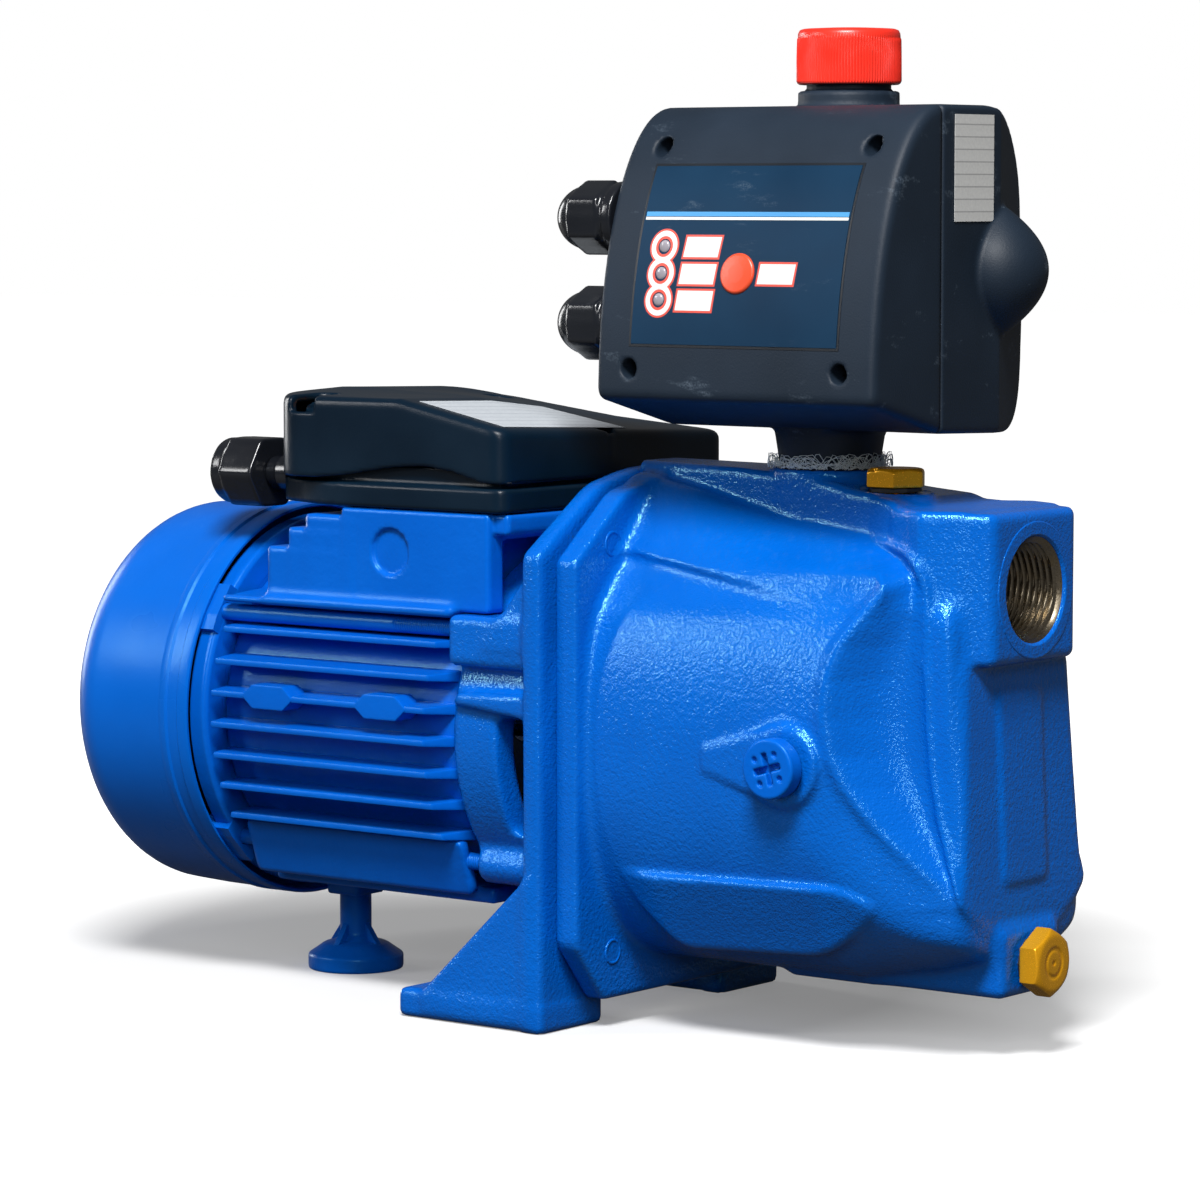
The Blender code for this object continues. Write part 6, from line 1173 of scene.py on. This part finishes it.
def cover_form(x, y, z):
    deep, rise = (y - FACE_SEAM) / FACE_DEPTH, (z - FACE_FOOT) / FACE_RISE
    size = np.sqrt(deep ** 2 + rise ** 2) + 1e-6
    steep = np.sqrt((deep / FACE_DEPTH) ** 2 + (rise / FACE_RISE) ** 2) + 1e-6
    bow = np.where(z > FACE_FOOT, (size - 1.0) * size / steep, -y + FACE_SEAM - FACE_DEPTH)
    under = (-10.0 * (y + 17.0) - 39.0 * (z - 202.0)) / 40.26
    across = np.abs(x - OUTLET_X)
    body = trimmed(trimmed(bow, under, 3.0), across - CONTROL_HALF, 3.4)
    body = trimmed(body, y + 17.15, 0.8)
    body = hollowed(body, trimmed(np.maximum(across - 52.0, bow + 3.2), under + 3.2, 1.0), 0.6)
    away, along = from_button(x, y, z)
    holes = [np.maximum(away - 7.1, np.abs(along) - 12.0)]
    for spot in COVER_SCREWS:
        far = from_axis(x, z, spot)
        body = np.minimum(body, np.maximum(np.maximum(far - 5.2, bow + 1.0), y + 18.0))
        holes.append(np.maximum(far - 3.2, y + 24.0))
    for up in LENS_UP:
        holes.append(np.maximum(from_axis(x, z, (LENS_X, up)) - 2.6, y + 40.0))
    for up in SIDE_GLANDS_UP:
        holes.append(np.maximum(from_axis(y, z, (SIDE_GLANDS_Y, up)) - 7.8, x - 22.0))
    for hole in holes:
        body = hollowed(body, hole, 0.5)
    return body


shown(
    "controller_front", cast_skin(cover_form, (11.5, -59.0, 199.5), (126.5, -14.5, 309.5), 1.2),
    shell_plastic, "frame", "controller_black", "controller_cover",
)
cover_steel = finish(
    "cover_screw", worked_metal, {"Centre": world_point(OUTLET_X, -40.0, 222.0), "Ring Scale": 700.0},
    (0.10, 0.10, 0.11), (0.05, 0.05, 0.055), (0.20, 0.15, 0.10), 0.3, (0.35, 0.5), 0.00003, metallic=0.9,
)
screws = [
    spun(softened(((-23.6, 2.7), (-25.4, 2.7), (-26.0, 1.9), (-25.2, 1.2), (-25.2, 0.3)), 0.2), "Y", spot, 24)
    for spot in COVER_SCREWS
]
shown("cover_screws", together(*screws), cover_steel, "frame", "steel", sharp=45)

# Face film and its print: a dark film with plain stripes, rings round the lamps and bare
# fields in raised ink. It is cut out round the button and the lamps.
film = finish(
    "face_film", moulded_skin, {"Grain Scale": 2200.0, "Scuff Scale": 60.0, "Scuff Edge": 0.63},
    (0.006, 0.033, 0.074), (0.004, 0.023, 0.054), (0.20, 0.26, 0.32), 0.4,
    (0.40, 0.50), 0.00002, shine=0.12,
)
FILM_X, FILM_UP = (28.3, 109.7), (230.2, 287.8)


def on_face(points, lift):
    """Flat (x, up) points laid on the bowed front, lifted off it."""
    return [np.array((x, face_y(up), up)) + face_out(up) * lift for x, up in points]


def circle(x, up, radius, sides=40):
    """A circle of flat (x, up) points."""
    return [(x + radius * math.cos(t), up + radius * math.sin(t))
            for t in np.linspace(0.0, 2 * math.pi, sides, endpoint=False)]


def button_ring(along, radius, sides):
    """A ring of points round the button's axis."""
    turn = np.linspace(0.0, 2 * math.pi, sides, endpoint=False)[:, None]
    across = np.cos(turn) * (1.0, 0.0, 0.0) - np.sin(turn) * np.cross((1.0, 0.0, 0.0), button_axis)
    return button_spot + button_axis * along + radius * across


levels = np.linspace(*FILM_UP, 19)
grid = [on_face([(x, up) for x in np.linspace(*FILM_X, 25)], 0.0) for up in levels]
outs = np.array([[face_out(up)] for up in levels])
bores = [lofted(button_ring(4.0, 7.1, 48), button_ring(-4.0, 7.1, 48))]
for up in LENS_UP:
    hole = circle(LENS_X, up, 2.5, 24)
    bores.append(lofted([(a, -62.0, b) for a, b in hole], [(a, -40.0, b) for a, b in hole]))
shown(
    "film_sheet", carved(sheet(grid, outs * 0.30, outs * -0.25), *bores), film, "frame", "panel",
    "face_panel", sharp=35,
)


def ink(name, colour, deep):
    """A printing ink, smooth and satin."""
    return finish(name, moulded_skin, {"Grain Scale": 1800.0, "Scuff Scale": 80.0, "Scuff Edge": 0.66},
                  colour, deep, (0.30, 0.32, 0.34), 0.3, (0.34, 0.44), 0.00001)


white_ink = ink("white_ink", (0.80, 0.80, 0.78), (0.70, 0.70, 0.69))
red_ink = ink("red_ink", (0.72, 0.075, 0.045), (0.60, 0.055, 0.035))
sky_ink = ink("sky_ink", (0.055, 0.30, 0.62), (0.045, 0.25, 0.54))
shade_ink = ink("shade_ink", (0.006, 0.010, 0.016), (0.004, 0.006, 0.010))


def patch(corners, lift):
    """A printed patch: its outline laid on the face, with a thin edge down to the film."""
    return lofted(on_face(corners, 0.26), on_face(corners, lift))


def washer(x, up, inner, outer, lift, sides=40):
    """A printed ring on the face."""
    corners = ((inner, 0.26), (inner, lift), (outer, lift), (outer, 0.26))
    return skinned([on_face(circle(x, up, radius, sides), off) for radius, off in corners], closed=True)


def field(left, right, low, high, slant=0.7):
    """The corners of a label field, with slanting ends, or of a straight strip."""
    return [(left - slant, low), (right - slant, low), (right, high), (left, high)]


FIELDS = ((47.2, 61.0, 258.4, 264.9), (46.6, 60.4, 249.7, 256.2), (46.0, 60.2, 241.2, 247.6),
          (77.8, 91.6, 250.0, 256.4))
reds = [washer(LENS_X, up, 2.5, 3.4, 0.40) for up in LENS_UP]
reds += [washer(LENS_X, up, 5.1, 5.8, 0.36) for up in LENS_UP]
whites = [washer(LENS_X, up, 3.4, 5.15, 0.42) for up in LENS_UP]
for left, right, low, high in FIELDS:
    reds.append(patch(field(left - 0.7, right + 0.7, low - 0.7, high + 0.7), 0.36))
    whites.append(patch(field(left, right, low, high), 0.40))
whites.append(patch(field(28.9, 109.2, 270.4, 271.3, 0.0), 0.38))
sky = patch(field(28.9, 109.2, 271.5, 273.0, 0.0), 0.38)
shown("print_red", together(*reds), red_ink, "frame", "panel", sharp=40)
shown("print_white", together(*whites), white_ink, "frame", "panel", sharp=40)
shown("print_blue", sky, sky_ink, "frame", "panel", sharp=40)
strips = [field(FILM_X[0] - 0.9, FILM_X[1] + 0.9, low, low + 0.8, 0.0)
          for low in (FILM_UP[1] + 0.1, FILM_UP[0] - 0.9)]
levels = np.linspace(FILM_UP[0] - 0.9, FILM_UP[1] + 0.9, 19)
for left in (FILM_X[0] - 0.9, FILM_X[1] + 0.1):
    strips += [field(left, left + 0.8, low, high, 0.0) for low, high in zip(levels, levels[1:])]
edges = [lofted(on_face(strip, -0.2), on_face(strip, 0.14)) for strip in strips]
shown("film_edge", together(*edges), shade_ink, "frame", "controller_black", sharp=40)

# ---------------------------------------------------------------------------------------
# Reset button and lamp lenses: a red moulded push button that slides in its hole, and a clear
# light guide behind the cover with three domed lenses.
# ---------------------------------------------------------------------------------------
button_red = finish(
    "button_red", moulded_skin, {"Grain Scale": 1200.0, "Scuff Scale": 90.0, "Scuff Edge": 0.64},
    (0.78, 0.085, 0.030), (0.68, 0.065, 0.022), (0.85, 0.35, 0.25), 0.3, (0.30, 0.40), 0.00003,
)
profile = softened(((18.0, 3.0), (4.5, 3.0), (4.5, 6.7), (-0.5, 6.7), (-1.1, 6.1), (-1.35, 3.0),
                    (-1.4, 0.4)), 0.35)
push = skinned([button_ring(along, radius, 56) for along, radius in profile])
shown("reset_push", push, button_red, "button", "signal_red", "reset_button", sharp=40)

lens_clear = finish(
    "lens_clear", moulded_skin, {"Grain Scale": 900.0, "Scuff Scale": 120.0, "Scuff Edge": 0.66},
    (0.36, 0.34, 0.38), (0.26, 0.24, 0.28), (0.60, 0.60, 0.62), 0.3, (0.10, 0.18), 0.00001,
)
lenses = []
for up in LENS_UP:
    y = face_y(up)
    dome = softened(((y + 14.0, 2.2), (y - 0.3, 2.2), (y - 0.8, 1.6), (y - 1.0, 0.3)), 0.4)
    lenses.append(spun(dome, "Y", (LENS_X, up), 24))
rail = [(36.2, 242.3), (40.6, 242.3), (40.6, 263.9), (36.2, 263.9)]
lenses.append(eased(*lofted([(a, -43.0, b) for a, b in rail], [(a, -40.5, b) for a, b in rail]), 0.5))
shown("lamp_lenses", together(*lenses), lens_clear, "frame", "lens", "signal_lens", sharp=40)

# ---------------------------------------------------------------------------------------
# Controller glands: two domed cable glands in the same glossy nylon as the box gland, with
# their hexagon screwed against the cover's side.
# ---------------------------------------------------------------------------------------


def side_gland_form(up):
    """The form of the gland at a height."""
    def form(x, y, z):
        u, v = y - SIDE_GLANDS_Y, z - up
        across = np.hypot(u, v)
        dome = np.sqrt((np.maximum(-3.0 - x, 0.0) * 0.92) ** 2 + across ** 2) - 10.9
        dome = trimmed(dome, np.maximum(-13.7 - x, x - 13.4), 1.6)
        ring = trimmed(trimmed(hexagon(u, v, 11.09), across - 12.5, 0.8), np.abs(x - 1.0) - 6.2, 0.9)
        body = fillet(dome, ring, 0.8)
        body = np.minimum(body, trimmed(across - 12.0, np.abs(x - 11.4) - 2.0, 0.7))
        body = np.minimum(body, round_bar(across, x, 7.5, 10.0, 19.0, 0.5))
        return np.maximum(body, -np.maximum(across - 5.0, x + 9.0))
    return form


for level, up in zip(("upper", "lower"), SIDE_GLANDS_UP):
    low, high = (-15.5, -51.0, up - 15.0), (21.0, -21.0, up + 15.0)
    shown(
        f"gland_{level}", cast_skin(side_gland_form(up), low, high, 0.8),
        gland_nylon, "frame", "box_black", f"{level}_gland",
    )

# Side plate: a small bare foil with ruled lines on the controller's side.
side_foil = finish(
    "side_foil", ruled_sheet, {"Along": (0.0, 0.0, 1.0), "Line Scale": 1570.0, "Line Edge": 0.95},
    (0.66, 0.66, 0.64), (0.58, 0.58, 0.57), (0.16, 0.16, 0.17), 0.6, (0.34, 0.44), 0.00001,
)
grid = [[(124.3, y, up) for y in np.linspace(-10.5, 12.4, 6)] for up in np.linspace(270.0, 304.4, 8)]
shown(
    "side_plate", sheet(grid, (0.30, 0.0, 0.0), (0.15, 0.0, 0.0)),
    side_foil, "frame", "light_plastic", sharp=40,
)

# ---------------------------------------------------------------------------------------
# Outlet cap: a transport cap moulded in red plastic, with fine upright ribs, screwed over the
# controller's neck.
# ---------------------------------------------------------------------------------------
cap_red = finish(
    "cap_red", moulded_skin, {"Grain Scale": 800.0, "Scuff Scale": 60.0, "Scuff Edge": 0.64},
    (0.86, 0.035, 0.018), (0.72, 0.022, 0.012), (0.95, 0.40, 0.32), 0.25, (0.26, 0.36), 0.00003,
)
RIBS = 110
skirt = [(314.9, 15.4), (314.8, 16.4), (315.2, 17.0), (316.0, 17.15), (324.0, 17.1), (329.6, 17.0),
         (330.3, 17.0), (331.6, 16.9), (332.7, 16.3), (333.1, 15.2), (333.4, 9.0), (333.5, 1.0)]
bored = [(330.9, 1.0), (330.9, 14.9), (330.6, 15.3)]


def ribs(number, angle):
    """How far the ribs stand out on one row of the skirt."""
    return 0.28 * np.maximum(np.cos(RIBS * angle), -0.4) if 2 < number < 6 else 0.0


shown(
    "red_cap", spun(skirt + bored, "Z", NECK_SPOT, RIBS * 6, closed=True, ripple=ribs),
    cap_red, "cap", "cap_red", "outlet_cap", sharp=50,
)

# ---------------------------------------------------------------------------------------
# Plugs: brass hexagon plugs for priming and draining, and a blue round plug with a cross
# recess over the gauge tapping, each with its thread and a flat washer.
# ---------------------------------------------------------------------------------------


def notched(body, u, v, rise):
    """A small nick in the head's edge."""
    return hollowed(body, np.maximum(from_axis(u, v, (-3.0, -8.0)) - 1.3, -rise - 0.9), 0.3)


def dished(body, u, v, rise):
    """A shallow turned ring and centre in the head's face."""
    across = np.hypot(u, v)
    body = hollowed(body, np.maximum(np.abs(across - 4.6) - 0.6, -rise - 0.3), 0.4)
    return hollowed(body, np.maximum(across - 0.8, -rise - 0.5), 0.3)


def plug_thread(axis, spot, start, end):
    """The thread that the three plugs have in common."""
    return thread(axis, spot, start, end, 6.4, 0.8, 1.6, 36, 5)


priming = together(
    hex_head("Z", PRIMING_SPOT, 183.8, 190.0, 9.1, 0.5, math.pi / 6, cross=notched),
    plug_thread("Z", PRIMING_SPOT, 171.6, 184.4),
)
drain = together(
    hex_head("X", DRAIN_SPOT, 150.8, 158.0, 9.8, 0.5, 0.0, cross=dished),
    plug_thread("X", DRAIN_SPOT, 138.6, 151.4),
)
shown("priming_screw", priming, brass, "priming", "brass", "priming_plug", sharp=40)
shown("drain_screw", drain, brass, "drain", "brass", "drain_plug", sharp=40)


def gauge_form(x, y, z):
    u, v = x - GAUGE_SPOT[0], z - GAUGE_SPOT[1]
    across = np.hypot(u, v)
    body = round_bar(across, y, 9.8, -67.0, -60.8, 0.9)
    a, b = u * 0.96 + v * 0.28, v * 0.96 - u * 0.28
    arms = [np.maximum(np.abs(c) - 1.0, np.abs(d) - 5.2) for c, d in ((a, b), (b, a))]
    body = hollowed(body, np.maximum(np.minimum(*arms), y + 64.4), 0.5)
    for turn in range(4):
        angle = math.radians(45 + 90 * turn + 16)
        dot = from_axis(u, v, (5.6 * math.cos(angle), 5.6 * math.sin(angle)))
        body = hollowed(body, np.maximum(dot - 0.95, y + 66.0), 0.3)
    return body


gauge = together(
    cast_skin(gauge_form, (80.5, -68.5, 85.0), (102.5, -59.5, 107.0), 0.5),
    plug_thread("Y", GAUGE_SPOT, -61.2, -48.6),
)
shown("gauge_screw", gauge, motor_enamel, "gauge", "cast_blue", "gauge_plug")

# ---------------------------------------------------------------------------------------
# Hemp: pale sealing hemp, wound into the thread under the controller's collar. Its loose ends
# stand out round the joint.
# ---------------------------------------------------------------------------------------
hemp_fibre = finish(
    "hemp_fibre", ruled_sheet, {"Along": (0.4, 0.6, 0.7), "Line Scale": 6000.0, "Line Edge": 0.8},
    (0.66, 0.74, 0.76), (0.52, 0.62, 0.66), (0.80, 0.82, 0.80), 0.5, (0.55, 0.75), 0.00002,
)
strands = bpy.data.curves.new("hemp_strands", "CURVE")
strands.dimensions = "3D"
strands.bevel_depth = 0.00011
strands.bevel_resolution = 1
luck = random.Random(7)
for number in range(200):
    turn = luck.uniform(0.0, 2 * math.pi)
    sweep = luck.uniform(-0.8, 0.8)
    reach = luck.uniform(0.6, 4.4)
    rise = luck.uniform(0.3, 5.0)
    points = []
    for step in range(6):
        share = step / 5
        radius = 17.0 + reach * math.sin(share * math.pi * 0.6)
        angle = turn + sweep * share
        up = 188.9 + rise * math.sin(math.pi * share) + luck.uniform(-0.2, 0.4)
        x, y = OUTLET_X + radius * math.cos(angle), radius * math.sin(angle)
        points.append(world_point(x, y, max(up, 188.8)))
    spline = strands.splines.new("POLY")
    spline.points.add(len(points) - 1)
    for point, spot in zip(spline.points, points):
        point.co = (*spot, 1.0)
strands.materials.append(hemp_fibre)
hemp = bpy.data.objects.new("hemp_strands", strands)
bpy.context.scene.collection.objects.link(hemp)
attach(hemp, "frame")

# ---------------------------------------------------------------------------------------
# Inner pieces: rotor, stator, hydraulics, valve and electrics keep the frame's own shapes
# and get the finish of what they are made of: stacked plate, copper, steel, bronze, rubber.
# ---------------------------------------------------------------------------------------
INNER_FINISHES = (
    (("stator_core", "rotor_core"), ruled_sheet,
     {"Along": (1.0, 0.0, 0.0), "Line Scale": 9000.0, "Line Edge": 0.7},
     (0.42, 0.43, 0.45), (0.30, 0.31, 0.33), (0.20, 0.14, 0.09), 0.4, (0.35, 0.5), 0.00006, 0.9),
    (("winding_front", "winding_rear"), ruled_sheet,
     {"Along": (0.3, 0.7, 0.6), "Line Scale": 5200.0, "Line Edge": 0.8},
     (0.62, 0.24, 0.08), (0.48, 0.16, 0.05), (0.30, 0.10, 0.03), 0.5, (0.25, 0.4), 0.00025, 0.8),
    (("rotor_shaft", "seal_head", "front_bearing_outer", "front_bearing_inner", "rear_bearing_outer",
      "rear_bearing_inner"), worked_metal,
     {"Centre": world_point(0.0, *SHAFT_SPOT), "Ring Scale": 1600.0},
     (0.70, 0.71, 0.72), (0.52, 0.53, 0.55), (0.40, 0.36, 0.30), 0.3, (0.18, 0.3), 0.00003, 1.0),
    (("impeller", "impeller_nut", "nozzle"), worked_metal,
     {"Centre": world_point(0.0, *SHAFT_SPOT), "Ring Scale": 2400.0},
     (0.84, 0.56, 0.15), (0.68, 0.40, 0.08), (0.40, 0.22, 0.06), 0.4, (0.24, 0.36), 0.00005, 1.0),
    (("body_o_ring", "gauge_washer", "priming_washer", "drain_washer", "cap_liner"), moulded_skin,
     {"Grain Scale": 900.0, "Scuff Scale": 80.0, "Scuff Edge": 0.64},
     (0.020, 0.020, 0.021), (0.012, 0.012, 0.013), (0.10, 0.10, 0.10), 0.4, (0.55, 0.7), 0.00005, 0.0),
    (("seal_seat",), moulded_skin, {"Grain Scale": 2000.0, "Scuff Scale": 90.0, "Scuff Edge": 0.66},
     (0.74, 0.72, 0.66), (0.66, 0.63, 0.57), (0.50, 0.46, 0.40), 0.3, (0.14, 0.22), 0.00001, 0.0),
    (("diffuser", "venturi_tube", "terminal_block", "run_capacitor", "check_valve"), moulded_skin,
     {"Grain Scale": 1400.0, "Scuff Scale": 60.0, "Scuff Edge": 0.62},
     (0.62, 0.61, 0.57), (0.54, 0.53, 0.49), (0.40, 0.38, 0.34), 0.35, (0.36, 0.48), 0.00003, 0.0),
    (("circuit_board",), ruled_sheet, {"Along": (1.0, 0.0, 0.0), "Line Scale": 2600.0, "Line Edge": 0.86},
     (0.020, 0.16, 0.060), (0.014, 0.12, 0.045), (0.30, 0.26, 0.10), 0.6, (0.32, 0.44), 0.00003, 0.0),
    (("fan",), moulded_skin, {"Grain Scale": 1100.0, "Scuff Scale": 50.0, "Scuff Edge": 0.6},
     (0.020, 0.022, 0.025), (0.012, 0.013, 0.016), (0.16, 0.15, 0.13), 0.4, (0.42, 0.55), 0.00005, 0.0),
)
for names, *recipe in INNER_FINISHES:
    inner_finish = finish(names[0] + "_finish", *recipe)
    for name in names:
        dressed(name, inner_finish)

# ---------------------------------------------------------------------------------------
# Floor and light: a white studio sweep whose glow is dimmed in a spot round the pump, a
# painted shade where the lamps' soft shadow shows, and full further out, which paints shadows
# away. A panel stands high in front, a strip to its left, a wider panel to its right and
# one behind the fan cover.
# ---------------------------------------------------------------------------------------
MIRRORED_SHARE, FLOOR_FILL, WORLD_FILL = 0.09, 0.05, 0.03
floor_mesh = bpy.data.meshes.new("floor")
floor_mesh.from_pydata([(-8, -8, 0), (8, -8, 0), (8, 8, 0), (-8, 8, 0)], [], [(0, 1, 2, 3)])
floor = bpy.data.objects.new("floor", floor_mesh)
bpy.context.scene.collection.objects.link(floor)
sweep = bpy.data.materials.new("white_sweep")
sweep.use_nodes = True
tree = sweep.node_tree
shader = tree.nodes["Principled BSDF"]
shader.inputs["Roughness"].default_value = 0.6
shader.inputs["Specular IOR Level"].default_value = 0.2
shader.inputs["Emission Color"].default_value = (1.0, 1.0, 1.0, 1.0)


def in_view(tree):
    """How much of the bright studio a ray sees: all of it straight on, less by reflection."""
    path = tree.nodes.new("ShaderNodeLightPath").outputs
    mirrored = sum_of(tree, "MULTIPLY", path["Is Glossy Ray"], MIRRORED_SHARE)
    straight = sum_of(tree, "MAXIMUM", path["Is Camera Ray"], path["Is Transmission Ray"])
    return sum_of(tree, "MAXIMUM", straight, mirrored), path["Is Camera Ray"]


direct, seen = in_view(tree)
tree.links.new(ranged(tree, seen, 0.0, 1.0, FLOOR_FILL, 0.66), shader.inputs["Base Color"])
# Painted shade: the floor's glow is low in a spot a little towards the motor and full further out, so the
# lamps' shadow shows only near the pump.
spot = tree.nodes.new("ShaderNodeTexCoord").outputs["Object"]
distance = tree.nodes.new("ShaderNodeVectorMath")
distance.operation = "LENGTH"
aside = tree.nodes.new("ShaderNodeVectorMath")
aside.inputs[1].default_value = (0.06, -0.02, 0.0)
tree.links.new(spot, aside.inputs[0])
tree.links.new(aside.outputs["Vector"], distance.inputs[0])
painted_shade_fade = ranged(tree, distance.outputs["Value"], 0.15, 0.42, 0.22, 0.99)
tree.links.new(sum_of(tree, "MULTIPLY", direct, painted_shade_fade), shader.inputs["Emission Strength"])
floor_mesh.materials.append(sweep)

world = bpy.data.worlds.new("studio")
bpy.context.scene.world = world
world.use_nodes = True
tree = world.node_tree
back = tree.nodes["Background"]
tree.links.new(ranged(tree, in_view(tree)[0], 0.0, 1.0, WORLD_FILL, 1.0), back.inputs["Strength"])
back.inputs["Color"].default_value = (1.0, 1.0, 1.0, 1.0)


def panel_light(name, place, target, width, height, power):
    """A rectangular lamp that faces its target."""
    data = bpy.data.lights.new(name, "AREA")
    data.shape = "RECTANGLE"
    data.size, data.size_y, data.energy = width, height, power
    lamp = bpy.data.objects.new(name, data)
    lamp.location = place
    lamp.rotation_euler = (Vector(target) - Vector(place)).to_track_quat("-Z", "Y").to_euler()
    bpy.context.scene.collection.objects.link(lamp)


panel_light("high_key", (0.62, -1.05, 1.62), (0.0, 0.0, 0.13), 0.6, 0.5, 54.0)
panel_light("left_strip", (-1.4, -1.35, 0.94), (0.0, 0.0, 0.13), 0.2, 0.7, 10.0)
panel_light("right_front", (1.15, -1.5, 0.85), (0.1, 0.0, 0.13), 0.35, 0.7, 8.0)
panel_light("rear_left", (-1.9, 0.3, 0.5), (-0.15, 0.0, 0.1), 0.4, 0.9, 9.0)

bpy.context.scene.view_settings.view_transform = "Standard"
bpy.context.view_layer.update()
